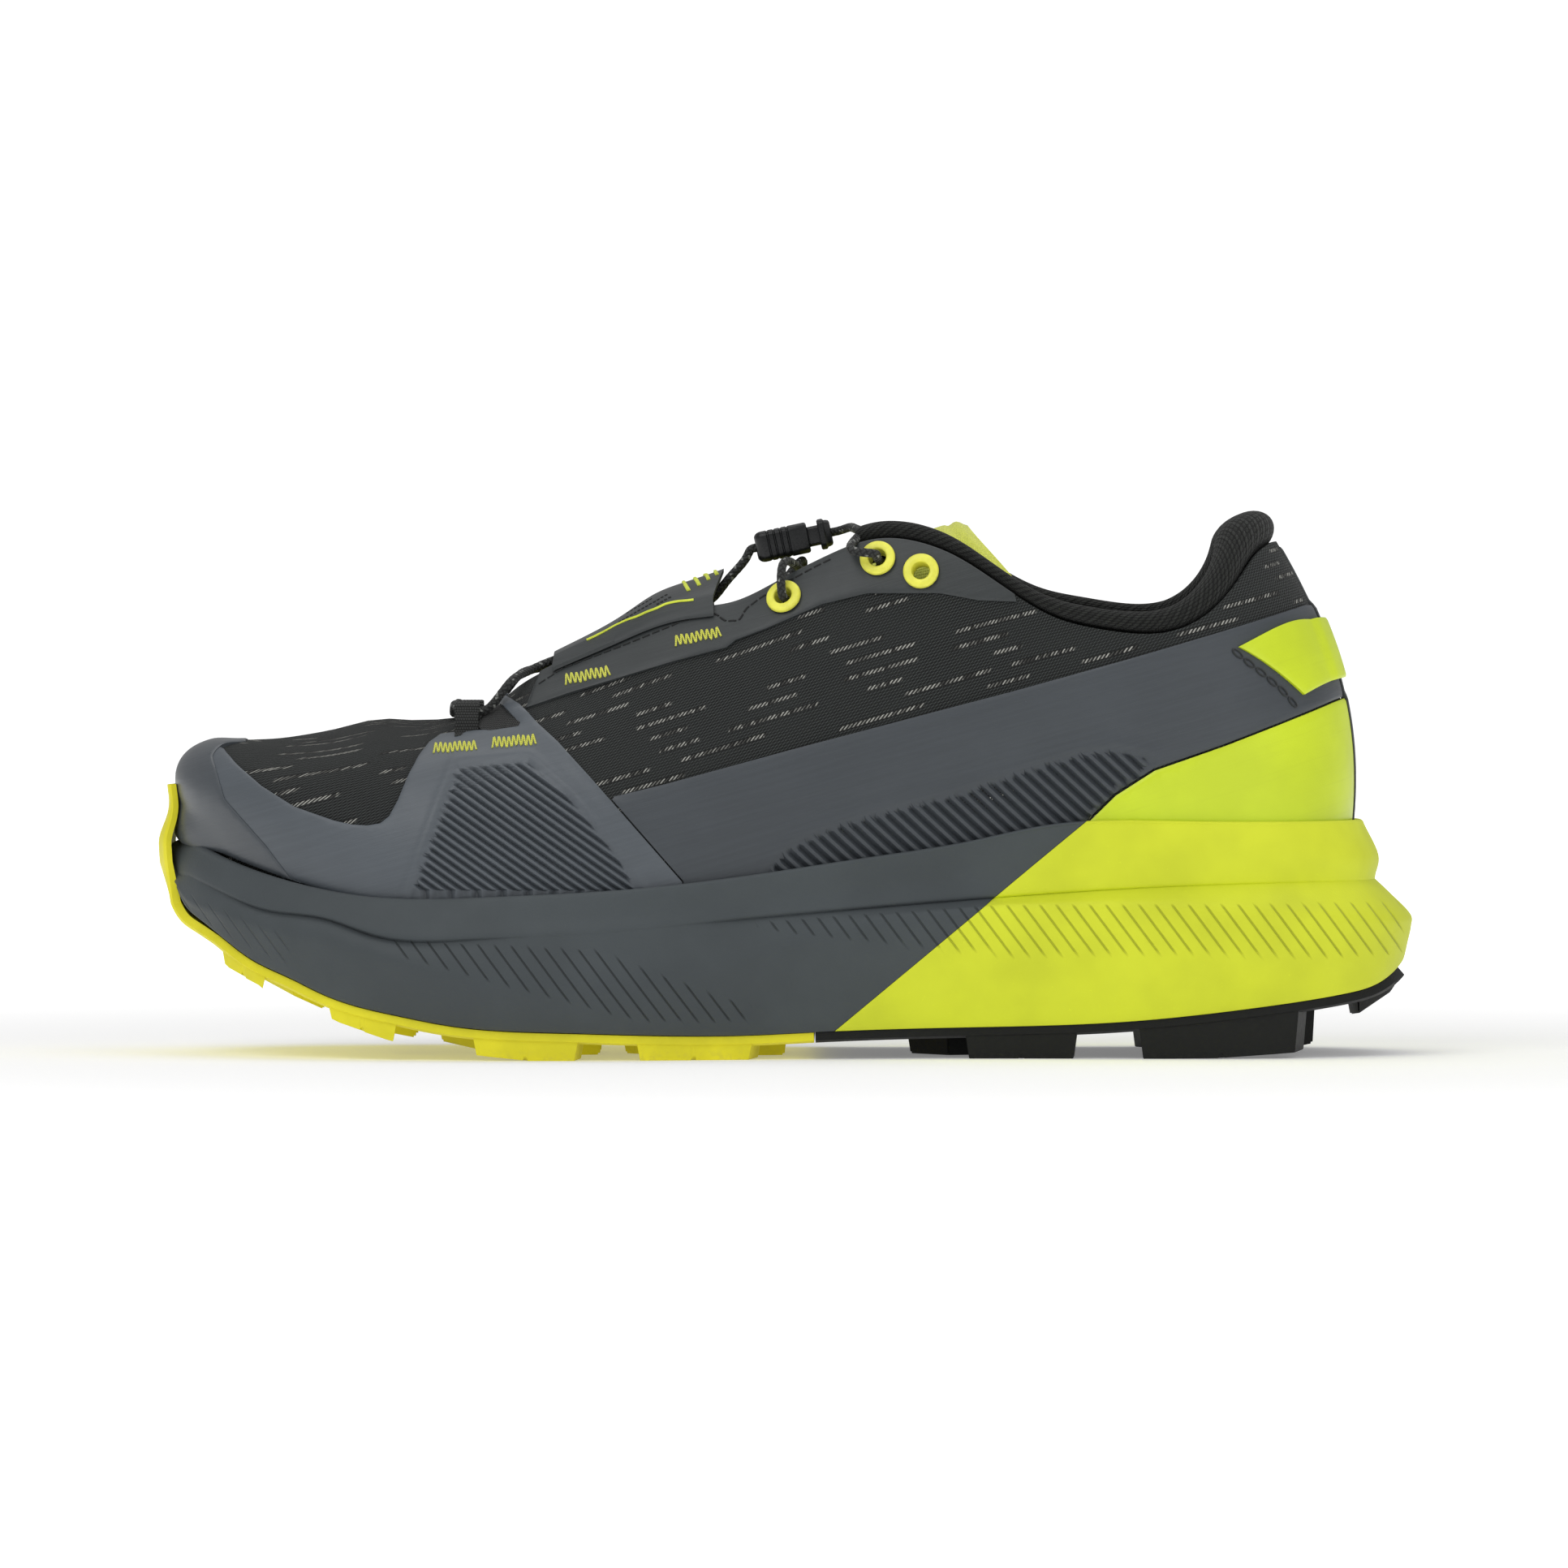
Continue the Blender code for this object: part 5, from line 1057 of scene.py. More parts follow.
def midsole_rows():
    """The foam's section at each column: from its bottom edge over the lip to the footbed."""
    s = np.linspace(-1, 1, SOLE_COLUMNS, endpoint=False)
    edge, normal = sole_edge(s)[:, :2], outward(sole_edge, s)
    u = np.abs(s)

    def at(inset, z):
        return np.column_stack([edge - normal * np.asarray(inset).reshape(-1, 1), z])

    bottom = at(row_lookup(BOTTOM_INSET, u), np.zeros(len(s)))
    bottom[:, 2] = height(sole_z, bottom[:, 0])
    h_lip = lip_station(s)
    lip_in, lip_out = (shell(s, h_lip, g) for g in (LIP_GAP, LIP_GAP + LIP_WIDTH))
    lip_in[:, 2] = lip_out[:, 2] = height(lip_z, lip_out[:, 0])
    tall = lip_out[:, 2] - bottom[:, 2]
    crease = np.maximum(height(crease_z, edge[:, 0]), bottom[:, 2] + 0.25 * tall)
    depth = row_lookup(CREASE_DEPTH, edge[:, 0])
    facet = np.clip(row_lookup(FACET_Z, edge[:, 0]), bottom[:, 2] + 0.2 * tall, crease - 1.5)
    crease_inset = row_lookup(CREASE_INSET, u)
    span = facet - bottom[:, 2]
    wall = [
        bottom + np.column_stack([normal * -0.6, np.full(len(s), 0.1)]), bottom,
        at(0.75 * row_lookup(BOTTOM_INSET, u), bottom[:, 2] + 0.12 * span),
        at(0.22 * row_lookup(BOTTOM_INSET, u) + 0.3, bottom[:, 2] + 0.5 * span),
        at(0, facet - 0.12 * span), at(0.2, facet + 0.18 * (crease - facet)),
        at(0.2 + 0.55 * crease_inset, crease - 0.35 * (crease - facet)), at(crease_inset + depth, crease),
    ]
    band_z = crease + 0.4 * (lip_out[:, 2] - crease)
    shelf = 0.2 * at(crease_inset, np.zeros(len(s))) + 0.8 * lip_out
    shelf[:, 2] = lip_out[:, 2] - np.minimum(1.6, 0.3 * (lip_out[:, 2] - crease))
    over = at(crease_inset + 0.2 * depth, crease + np.minimum(1.0, 0.12 * (lip_out[:, 2] - crease)))
    top = [at(crease_inset + depth, crease), over, at(row_lookup(BAND_INSET, u), band_z), shelf,
           lip_out + np.column_stack([normal * 0.1, np.full(len(s), -0.45)]),
           0.65 * lip_out + 0.35 * lip_in, lip_in + [0, 0, -0.35]]
    lower, upper = catmull(np.array(wall), 6), catmull(np.array(top), 6)[1:]
    inner = [shell(s, h_lip * share, LIP_GAP) for share in (0.78, 0.54, 0.28, 0.0)]
    inner[-1][:, 2] = feather(s)[:, 2] - STROBEL_THICKNESS - 3 * GAP
    return np.concatenate([lower, upper, np.array(inner)])


def between(value, low, high, soft):
    return ease(value, low - soft, low + soft) * (1 - ease(value, high - soft, high + soft))


def groove_masks(points):
    """How strongly each of the three families of sidewall grooves shows at each point, in relief and in the
    painted shade that darkens them.
    """
    x, z = points[:, 0], points[:, 2]
    front_top = np.interp(x, (-92, -43, -37, -10), (28.4, 26.0, 23.3, 13.2))
    front_low = np.interp(x, (-92, -89, -34, -10), (26.4, 24.4, 9.6, 9.2))
    rear_top = np.interp(x, (-4, 16, 50, 149), (32.6, 34.1, 36.4, 36.6))
    rear_low = np.interp(x, (-6, 0, 52, 149), (31.6, 30.2, 25.0, 24.4))
    toe_top = np.interp(x, (-146, -118), (39.5, 29.5))
    toe_low = np.interp(x, (-146, -118), (36, 22.5))
    return {
        "front_grooves": between(z, front_low, front_top, 0.4) * between(x, -92, -9, 1) * 0.8,
        "rear_grooves": between(z, rear_low, rear_top, 0.4) * between(x, -6, 147, 1) * 0.7,
        "toe_grooves": between(z, toe_low, toe_top, 0.8) * between(x, -143, -117, 1) * 0.35,
    }


def build_midsole():
    """Both foams, cut apart along the sloping joint."""
    rows = midsole_rows()
    levels, columns, _ = rows.shape
    verts = rows.reshape(-1, 3)
    faces = grid_faces(levels, columns, wrap_columns=True)
    faces += lid(0, columns, True) + lid((levels - 1) * columns, columns, False)
    (x1, z1), (x0, z0) = FOAM_JOINT
    normal = Vector((z1 - z0, 0, x0 - x1)).normalized()
    middle = Vector(((x0 + x1) / 2, 0, (z0 + z1) / 2)) * MM
    for name, look, sign in (("midsole_forefoot", "grey_foam", 1), ("midsole_heel", "lime_foam", -1)):
        obj = piece(f"{name}_moulded", verts, faces, LOOKS[look], look, [name], sharp=50)
        bm = bmesh.new()
        bm.from_mesh(obj.data)
        cut = bmesh.ops.bisect_plane(
            bm, geom=[*bm.verts, *bm.edges, *bm.faces], dist=1e-7,
            plane_co=middle - normal * sign * 0.05 * MM, plane_no=normal * sign, clear_outer=True)
        rim = [e for e in cut["geom_cut"] if isinstance(e, bmesh.types.BMEdge)]
        bmesh.ops.triangle_fill(bm, edges=rim, use_beauty=True)
        bmesh.ops.recalc_face_normals(bm, faces=bm.faces)
        bm.to_mesh(obj.data)
        bm.free()
        count = len(obj.data.vertices)
        co = np.empty(count * 3)
        obj.data.vertices.foreach_get("co", co)
        add_masks(obj.data, groove_masks(co.reshape(-1, 3) / MM))
        obj.data.set_sharp_from_angle(angle=math.radians(50))


def edge_at_x(x, side):
    """The s at which the sole's edge passes x on one side."""
    s = np.linspace(0.02, 0.98, 1200) * side
    return float(np.interp(x, sole_edge(s)[:, 0], s))


def bottom_edge(s, inset):
    place, normal = sole_edge(s)[..., :2], outward(sole_edge, s)
    return place - normal * (row_lookup(BOTTOM_INSET, np.abs(s)) + inset)[..., None]


TOE_GUARD = (  # how far outside the foam's edge, height, half its width in stations
    (0.5, 44.5, 0.036), (0.8, 50, 0.035), (0.9, 54, 0.034), (0.9, 59, 0.031), (0.6, 64.3, 0.026),
)
GUARD_THICKNESS = 1.7
GUARD_ROWS = 16
TOE_CLEARANCE = 1.0
OUTSOLE_COLUMNS = 25
OUTSOLE_ROWS = 110
GUARD_REST = 0.25  # gap between the guard's top and the toe bumper's film


def on_bumper(plan, stations, z):
    """Plan points of the guard, laid against the toe bumper wherever they would stand off it."""
    h = np.linspace(0.02, 0.6, 80)
    rests = []
    for s in stations:
        face = shell(s, h, BUMPER[1] + GUARD_REST)
        rests.append([np.interp(z, face[:, 2], face[:, k]) for k in (0, 1)])
    return plan + (np.array(rests) - plan) * ease(z, 50, 63)


def outsole_layer(first_u, last_u, guard):
    """The rubber skin under the foam, with the guard that wraps up the toe."""
    across = np.linspace(0, 1, OUTSOLE_COLUMNS)
    rows = []
    if guard:
        table = np.array(TOE_GUARD)
        for k in np.linspace(len(table) - 1, 0, GUARD_ROWS + 1)[:-1]:
            clear, z, half = (np.interp(k, np.arange(len(table)), table[:, j]) for j in range(3))
            stations = np.linspace(-half, half, OUTSOLE_COLUMNS)
            plan = sole_edge(stations)[:, :2] + outward(sole_edge, stations) * clear
            plan = on_bumper(plan, stations, z)
            rows.append(np.column_stack([plan, np.full(OUTSOLE_COLUMNS, z)]))
    for share in np.linspace(0, 1, OUTSOLE_ROWS):
        u = first_u + (last_u - first_u) * share**(1.6 if guard else 0.9)
        outer, inner = bottom_edge(np.array(-u), 0.8), bottom_edge(np.array(u), 0.8)
        plan = outer + (inner - outer) * across[:, None]
        steep = np.clip((-134 - plan[:, 0]) / 8, 0, 1)
        rows.append(np.column_stack([plan, height(sole_z, plan[:, 0]) - GAP - TOE_CLEARANCE * steep]))
    top = np.array(rows)
    normals = unit(np.cross(np.gradient(top, axis=0), np.gradient(top, axis=1)))
    if normals[len(rows) // 2, OUTSOLE_COLUMNS // 2, 2] > 0:
        normals = -normals
    thickness = np.full(top.shape[:2], OUTSOLE_THICKNESS)
    if guard:
        thickness[:GUARD_ROWS] = GUARD_THICKNESS
    rounding = np.minimum(across, 1 - across) * 80
    thickness = thickness * (1 - 0.25 * (1 - ease(rounding, 0, 2.6)))[None, :]
    return top, top + normals * thickness[..., None]


def tread(x):
    return float(row_lookup(TREAD_Z, x))


def bevelled(verts, faces, width, segments=2):
    """The solid with its sharp edges rounded."""
    bm = bmesh.new()
    made = [bm.verts.new(v) for v in verts]
    for face in faces:
        bm.faces.new([made[i] for i in face])
    bmesh.ops.recalc_face_normals(bm, faces=bm.faces)
    sharp = [e for e in bm.edges if len(e.link_faces) == 2 and e.calc_face_angle() > math.radians(22)]
    bmesh.ops.bevel(bm, geom=sharp, offset=width, segments=segments, affect="EDGES", clamp_overlap=True)
    bm.verts.index_update()
    out = [tuple(v.co) for v in bm.verts], [[v.index for v in f.verts] for f in bm.faces]
    bm.free()
    return out


def lug(corners, depth_in_layer=1.0):
    """A tapered rubber block from inside the outsole layer down to the tread."""
    corners = [np.array(c, float) for c in corners]
    centre = sum(corners) / len(corners)
    top, bottom = [], []
    for c in corners:
        top.append((c[0], c[1], float(height(sole_z, c[0])) - depth_in_layer))
        toward = centre - c
        foot = c + toward / np.linalg.norm(toward) * LUG_TAPER
        bottom.append((foot[0], foot[1], tread(foot[0])))
    n = len(corners)
    faces = [list(range(n)), [n + i for i in reversed(range(n))]]
    faces += [[i, (i + 1) % n, n + (i + 1) % n, n + i] for i in range(n)]
    return bevelled(top + bottom, faces, 0.45)


NOTCH_RADIUS = 0.75


def edge_lug(x0, x1, side, depth=17.0, skew=4.0):
    """A lug along the sole's edge, with a small half-round notch in its outer foot."""
    middle = (x0 + x1) / 2
    half_circle = [middle + NOTCH_RADIUS * math.cos(a) for a in np.linspace(math.pi, 0, 7)]
    xs = [x0, x0 + 0.3 * (middle - x0), *half_circle, x1 - 0.3 * (x1 - middle), x1]
    lifts = [0, 0, *(NOTCH_RADIUS * math.sin(a) * 1.3 for a in np.linspace(0, math.pi, 7)), 0, 0]
    rims = []
    for x in xs:
        place = bottom_edge(np.array(edge_at_x(x, side)), 1.1)
        rims.append((float(place[0]), float(place[1])))
    far_edge = np.linspace(rims[0][1], rims[-1][1], len(xs)) - side * depth
    inner = [(x0 + skew + 3 + (x1 - x0 - 6) * k, y)
             for k, y in zip(np.linspace(0, 1, len(xs)), far_edge, strict=True)]
    rows = [[((1 - t) * a[0] + t * b[0], (1 - t) * a[1] + t * b[1]) for a, b in zip(rims, inner, strict=True)]
            for t in (0.0, 0.12, 1.0)]
    top = np.array([[(x, y, float(height(sole_z, x)) - 1.0) for x, y in plan] for plan in rows])
    foot = []
    for t, plan in zip((0.0, 0.12, 1.0), rows, strict=True):
        line = []
        for k, (x, y) in enumerate(plan):
            squeeze = np.interp(k, (0, 1, len(xs) - 2, len(xs) - 1), (LUG_TAPER, 0.3, -0.3, -LUG_TAPER))
            push = LUG_TAPER * 0.7 * (1 if t == 0 else -1 if t == 1 else 0.2)
            lift = lifts[k] if t < 0.1 else 0.0
            line.append((x + squeeze, y - side * push, tread(x) + lift))
        foot.append(line)
    verts, faces = slab(top, np.array(foot))
    return bevelled([tuple(v) for v in verts], faces, 0.3)


def chevron(x, y, width, length, sweep):
    """A V-shaped lug that points to the toe."""
    w = width / 2
    return lug([(x - length / 2 - sweep, y), (x + sweep, y - w), (x + sweep + length, y - w * 0.8),
                (x + length / 2 - sweep, y), (x + sweep + length, y + w * 0.8), (x + sweep, y + w)])


EDGE_LUGS_FRONT = ((-136, -124.5), (-109.6, -92.4), (-74, -48), (-34, -6.2))
EDGE_LUGS_REAR = ((43, 69), (83.5, 123.5))
CENTRE_LUGS_FRONT = ((-120, 3), (-98, 0), (-76, -2), (-54, -3), (-32, -4), (-10, -5))
CENTRE_LUGS_REAR = ((36, -4), (96, 0), (116, 0))


def build_outsole():
    split = abs(edge_at_x(OUTSOLE_JOINT_X, -1))
    for name, look, span, guard, edges, centres in (
        ("outsole_forefoot", "yellow_rubber", (0.035, split - 0.0005), True, EDGE_LUGS_FRONT,
         CENTRE_LUGS_FRONT),
        ("outsole_heel", "black_rubber", (split + 0.0005, 0.985), False, EDGE_LUGS_REAR, CENTRE_LUGS_REAR),
    ):
        blocks = [slab(*outsole_layer(*span, guard))]
        blocks += [edge_lug(x0, x1, side) for x0, x1 in edges for side in (-1, 1)]
        blocks += [chevron(x, y, 26, 8, 3) for x, y in centres]
        if not guard:
            blocks.append(lug([(136.5, -16), (145.5, -8), (147, 0), (145.5, 8), (136.5, 16), (134.5, 0)]))
        piece(f"{name}_lugged", *joined(blocks), LOOKS[look], look, [name], sharp=40)


def build_insole():
    """A cupped insole with a soft top edge, in place of its plain solid."""
    columns, rings = 160, 16
    s = np.linspace(-1, 1, columns, endpoint=False)
    normal, base = outward(feather, s), feather(s)
    grids = []
    for top in (True, False):
        rows = []
        for k in np.linspace(1, 0, rings):
            plan = base[:, :2] - normal * 4.6
            axis = np.column_stack([plan[:, 0] * 0.93, np.full(columns, 1.5)])
            place = axis + (plan - axis) * k
            cup = 2.6 * ease(place[:, 0], 20, 100) * k**6 + 1.0 * k**8
            crown = 0.6 * (1 - k * k)
            z = base[:, 2] + GAP + (INSOLE_THICKNESS + cup - crown - 0.9 * ease(k, 0.94, 1.0) if top else 0.0)
            rows.append(np.column_stack([place, z]))
        grids.append(np.array(rows))
    verts = np.concatenate([g.reshape(-1, 3) for g in grids])
    n = rings * columns
    faces = grid_faces(rings, columns, wrap_columns=True) + grid_faces(rings, columns, n, True, False, True)
    faces += [[(j + 1) % columns, j, n + j, n + (j + 1) % columns] for j in range(columns)]
    faces += lid(n - columns, columns, False) + lid(2 * n - columns, columns, True)
    piece("insole_cupped", verts, faces, LOOKS["insole"], "insole", ["insole"])


# Upper

BUMPER_EDGE_XZ = ((-136, 71), (-132.6, 61), (-122.8, 50.5), (-116.5, 42.5))
OVERLAY_XZ = (
    (-118.3, 42), (-124.4, 49.8), (-134.2, 60.8), (-137.4, 70.6), (-136.6, 74.4), (-133.5, 72.8),
    (-130, 69.2), (-123.9, 64.3), (-115.9, 59.5), (-106.3, 56.3), (-102, 55.4), (-98.5, 55.2),
    (-95.3, 55.7), (-93.2, 57.4), (-91.2, 61.1), (-88.8, 67.0), (-86.2, 72.0), (-83.8, 75.0), (-81.5, 76.6),
    (-77, 77.2), (-72, 77.6), (-69.2, 77.6), (-62.9, 78.6),
    (-62.6, 79.3), (-65.2, 81.6), (-67.6, 83.9), (-66.2, 85.3), (-62.4, 83), (-58, 79), (-53.5, 75),
    (-45.5, 66.4), (-40.7, 61), (-31, 50), (-24, 42),
)
BAND_TOP_XZ = (
    (-23.7, 42.2), (-30.7, 50.2), (-40.5, 61.4), (-40.0, 62.1), (-28.3, 64.9), (0, 72.6), (53.3, 86.6),
    (81.3, 94.4), (105.5, 101.5), (124.3, 107.1),
)
BAND_LOW_XZ = ((130.9, 84.5), (104.2, 74.4), (87.3, 68.6), (78.0, 62.7), (72.1, 56.9), (68.5, 53))
CAP_XZ = ((69.3, 53), (72.6, 56.5), (78.4, 62.2), (87.6, 68.1), (104.3, 73.9), (131, 84.0))
EYESTAY_LOW_XZ = (
    (-61.3, 82.8), (-51.6, 86.2), (-26.8, 93.7), (-13.6, 97.2), (-11.4, 99.0), (-4.1, 101.7), (9, 107.4),
    (19.8, 110), (36.9, 110), (46.1, 108.3), (55, 108.0),
)
FRONT_RIBS_XZ = ((-76.7, 68.9), (-60.6, 70.2), (-50.8, 61.8), (-45.1, 55.2), (-38.8, 47.4), (-34, 38),
                 (-88, 38))
REAR_RIBS_XZ = ((-3.5, 44.2), (-1.9, 46.7), (3.5, 50.8), (10.6, 54.2), (26, 58.6), (41.1, 62.2), (58.3, 68.2),
                (71, 71.9), (78.3, 72.8), (86.2, 71.0), (84.4, 67), (78, 61.5), (71, 53), (40, 46), (0, 40))
FRONT_RIBS = (FRONT_RIBS_XZ, math.radians(35), 1.75)  # field, slope and pitch
REAR_RIBS = (REAR_RIBS_XZ, math.radians(43), 2.45)
FRONT_RIB_DEPTH, REAR_RIB_DEPTH = 0.7, 0.75
FRONT_FRAME_RISE, REAR_FRAME_RISE = 0.55, 0.3
RIB_RISE = 0.3  # how far the ribs stand over the film round them
STAY_TOP_H = 0.985  # where the knit and the eyestays end under the collar and throat
HEEL_SEAM = 0.9982
TAPE_HALF_WIDTH = 0.0085  # of the heel seam's tape, in stations
BAND_HEEL = 0.9925
EYELET_CLEAR = EYELET_BARREL / 2 + GAP


def circle_on_last(s, h, radius, sides=28):
    """A round hole's rim in (s, h), true to millimetres on the surface."""
    here, step = last_point(s, h), 1e-3
    ds = (last_point(s + step, h) - here) / step
    dh = (last_point(s, h + step) - here) / step
    u = ds / np.linalg.norm(ds)
    v = dh - np.dot(dh, u) * u
    v /= np.linalg.norm(v)
    basis = np.array([[np.dot(ds, u), np.dot(dh, u)], [np.dot(ds, v), np.dot(dh, v)]])
    rim = []
    for k in range(sides):
        angle = 2 * math.pi * k / sides
        change = np.linalg.solve(basis, [radius * math.cos(angle), radius * math.sin(angle)])
        rim.append((s + change[0], h + change[1]))
    return rim


def eyelet_places(side):
    return [find_on_last(x, z, side, offset=FILM[1]) for x, z in EYELETS_XZ]


def rib_grooves_and_shade(points, field, angle, pitch):
    """How deep in a groove between ribs each point lies, from 0 to 1, and its distance into the field. The
    depth also serves as the mask for the painted shade in the grooves.
    """
    flat = points[:, [0, 2]]
    inside_by = depth_in(flat, field)
    across = flat[:, 0] * math.sin(angle) + flat[:, 1] * math.cos(angle)
    groove = (0.5 + 0.5 * np.cos(2 * math.pi * across / pitch)) ** 1.6
    return groove * ease(inside_by, -0.15, 0.5), inside_by


def ribs(points, rib_set, depth, frame_rise):
    """Rounded ribs that run down and rearward inside a field, with a soft raised frame round it."""
    groove, inside_by = rib_grooves_and_shade(points, *rib_set)
    frame_part = frame_rise * np.exp(-(((inside_by + 1.9) / 1.2) ** 2))
    return RIB_RISE * ease(inside_by, -0.15, 0.8) - (depth + RIB_RISE) * groove + frame_part


RIB_STEPS, RIB_RUN = 6, 1.0  # mesh points from rib to rib, and how far apart they are along them
FRAME_STEP, FRAME_REACH = 0.75, 4.4


def rib_points(field, angle, pitch, side):
    """Mesh points (s, h) in line with the ribs of a field, and closer ones in the frame round it."""
    field = np.array(field, float)
    c, s = math.cos(angle), math.sin(angle)
    turned = np.column_stack([field[:, 0] * c - field[:, 1] * s, field[:, 0] * s + field[:, 1] * c])
    low, high = turned.min(axis=0) - 5, turned.max(axis=0) + 5

    def back(run, across):
        run, across = (m.ravel() for m in np.meshgrid(run, across))
        return np.column_stack([run * c + across * s, across * c - run * s])

    step = pitch / RIB_STEPS
    lines = np.arange(round(low[1] / step), round(high[1] / step)) * step
    inner = back(np.arange(low[0], high[0], RIB_RUN), lines)
    inner = inner[depth_in(inner, field) > -0.2]
    frame_ring = back(np.arange(low[0], high[0], FRAME_STEP), np.arange(low[1], high[1], FRAME_STEP))
    place = depth_in(frame_ring, field)
    frame_ring = frame_ring[(place < -0.5) & (place > -4.2)]
    points = np.concatenate([inner, frame_ring])
    return find_all(points[points[:, 1] > 40], side, offset=FILM[1])


def ribbed_film(name, loop, rib_set, side, shape, look, node):
    """A film with a field of ribs, meshed in line with them."""
    def near(points):
        return depth_in(points[:, [0, 2]], rib_set[0]) > -FRAME_REACH

    verts, faces, maps = skin(loop, FILM, 1.5, shape=shape, fine=near,
                              extra_points=rib_points(*rib_set, side))
    # the groove depth goes along as a mask for the painted shade in the grooves
    piece(name, verts, faces, LOOKS[look], "slate_film", [node], maps=maps,
          masks={"rib_grooves_and_shade": rib_grooves_and_shade(verts, *rib_set)[0]})


def low_edge(first, last, h=0.05, count=12):
    """Points along the foot of the upper, inside the lip, from station first to last."""
    return [(first + (last - first) * i / count, h) for i in range(count + 1)]


def build_knit():
    holes = [circle_on_last(s, h, EYELET_CLEAR) for side, _ in SIDES for s, h in eyelet_places(side)]
    ends = (-HEEL_SEAM, 0.0, HEEL_SEAM)
    outline = [*((s, 0.0) for s in ends), *((s, STAY_TOP_H) for s in reversed(ends))]

    def swell(points):
        x, z = points[:, 0], points[:, 2]
        return 0.25 * np.sin(x / 9) * np.sin(z / 7 + x / 31) * ease(z, 50, 60)

    verts, faces, maps = skin(outline, KNIT, 1.6, holes, swell, drop=0.0)
    piece("knit_upper", verts, faces, LOOKS["knit"], "knit", ["upper_mesh"], maps=maps)


def bumper_outline():
    """The toe bumper's edge: up from the lip on the outer side, over the toe and down again."""
    outer, inner = on_last(BUMPER_EDGE_XZ, -1), on_last(BUMPER_EDGE_XZ, 1)
    front_h = find_on_last(-128.5, 6, -1, axes=(0, 1))[1]
    bottom = [(outer[-1][0] - 0.008, 0.06), (inner[-1][0] + 0.008, 0.06)]
    bend = [(outer[0][0] * 0.55, front_h * 0.97), (0.0, front_h), (inner[0][0] * 0.55, front_h * 0.97)]
    return [*reversed(outer), *bend, *inner, bottom[1], (0.0, 0.06), bottom[0]]


CROWN_DROP = 0.85  # how far the bumper's top edge sinks towards the knit
CHIN_LIFT = 3.8  # how far its foot stands out to meet the toe guard


def build_films():
    outline = bumper_outline()
    front_h = max(h for s, h in outline if abs(s) < 0.02)

    def settle(s, h):
        crown = ease(h, front_h - 0.14, front_h - 0.02) * (1 - ease(np.abs(s), 0.07, 0.12))
        chin = (1 - ease(h, 0.05, 0.16)) * (1 - ease(np.abs(s), 0.035, 0.09))
        return CHIN_LIFT * chin - CROWN_DROP * crown

    verts, faces, maps = skin(outline, BUMPER, 1.3, drop=0.3, lift=settle)
    piece("toe_bumper_film", verts, faces, LOOKS["bumper_film"], "slate_film", ["toe_bumper"], maps=maps)
    for side, word in SIDES:
        overlay = on_last(OVERLAY_XZ, side)
        loop = overlay + low_edge(overlay[-1][0], overlay[0][0], 0.06)

        def front_shape(points):
            arm = 0.9 * ease(points[:, 2], 79.5, 82) * ease(points[:, 0], -68, -66)
            return ribs(points, FRONT_RIBS, FRONT_RIB_DEPTH, FRONT_FRAME_RISE) + arm

        ribbed_film(f"forefoot_film_{word}", loop, FRONT_RIBS, side, front_shape, "slate_film",
                    f"forefoot_overlay_{word}")

        top, low = on_last(BAND_TOP_XZ, side), on_last(BAND_LOW_XZ, side)
        heel = [(side * BAND_HEEL, top[-1][1]), (side * BAND_HEEL, low[0][1])]
        loop = [*top, *heel, *low, *low_edge(low[-1][0], top[0][0], 0.05)]

        def rear_shape(points):
            return ribs(points, REAR_RIBS, REAR_RIB_DEPTH, REAR_FRAME_RISE)

        ribbed_film(f"band_film_{word}", loop, REAR_RIBS, side, rear_shape, "band_film",
                    f"quarter_band_{word}")

        stay = on_last(EYESTAY_LOW_XZ, side)
        top = [(s, STAY_TOP_H) for s in np.linspace(stay[-1][0], stay[0][0] + side * 0.004, 60)]
        holes = [circle_on_last(s, h, EYELET_CLEAR) for s, h in eyelet_places(side)]
        verts, faces, maps = skin(stay + top, FILM, 1.3, holes)
        piece(f"eyestay_film_{word}", verts, faces, LOOKS["dark_film"], "slate_film",
              [f"eyestay_{word}"], maps=maps)

    outer, inner = on_last(CAP_XZ, -1), on_last(CAP_XZ, 1)
    unrolled = [(s + 2.0 if s < 0 else s, h) for s, h in outer]
    top = [*inner, (1.0, unrolled[-1][1]), *reversed(unrolled)]
    foot = low_edge(unrolled[0][0], inner[0][0], 0.05, 30)
    verts, faces, maps = skin(top + foot, HEEL_FILM, 1.5, drop=0.45)
    piece("heel_cap_film", verts, faces, LOOKS["lime_film"], "lime_film", ["heel_cap"], maps=maps)

    tape = [(1 + TAPE_HALF_WIDTH * side, h) for side, h in ((-1, 0.06), (1, 0.06), (1, 0.97), (-1, 0.97))]
    (_, cap_h), (_, band_h) = inner[-1], on_last(BAND_TOP_XZ, 1)[-1]

    def lie_on(_s, h):
        return 0.4 * (1 - ease(h, cap_h, cap_h + 0.02)) - 0.8 * ease(h, band_h - 0.01, band_h + 0.02)

    verts, faces, maps = skin(tape, TAPE, 1.2, lift=lie_on)
    piece("heel_seam_tape", verts, faces, LOOKS["dark_film"], "slate_film", maps=maps)


WINDOW_XZ = ((-73.2, 79.0), (-69.5, 76.2), (-62.0, 77.8), (-61.8, 79.8), (-67.6, 84.4), (-70, 84.2))


def build_webbing_windows():
    """Ribbed webbing that shows between each forefoot film's arm and the front lace tunnel."""
    for side, word in SIDES:
        verts, faces, maps = skin(on_last(WINDOW_XZ, side), WEBBING, 1.2)
        piece(f"webbing_anchor_{word}", verts, faces, LOOKS["webbing"], "cord", maps=maps)


ROLL_RADIUS = ((0.0, 1.9), (0.12, 2.3), (0.30, 2.3), (0.62, 2.6), (0.72, 3.1), (0.86, 3.9), (1.0, 4.1))
LINING_START = (0.675, 0.74)


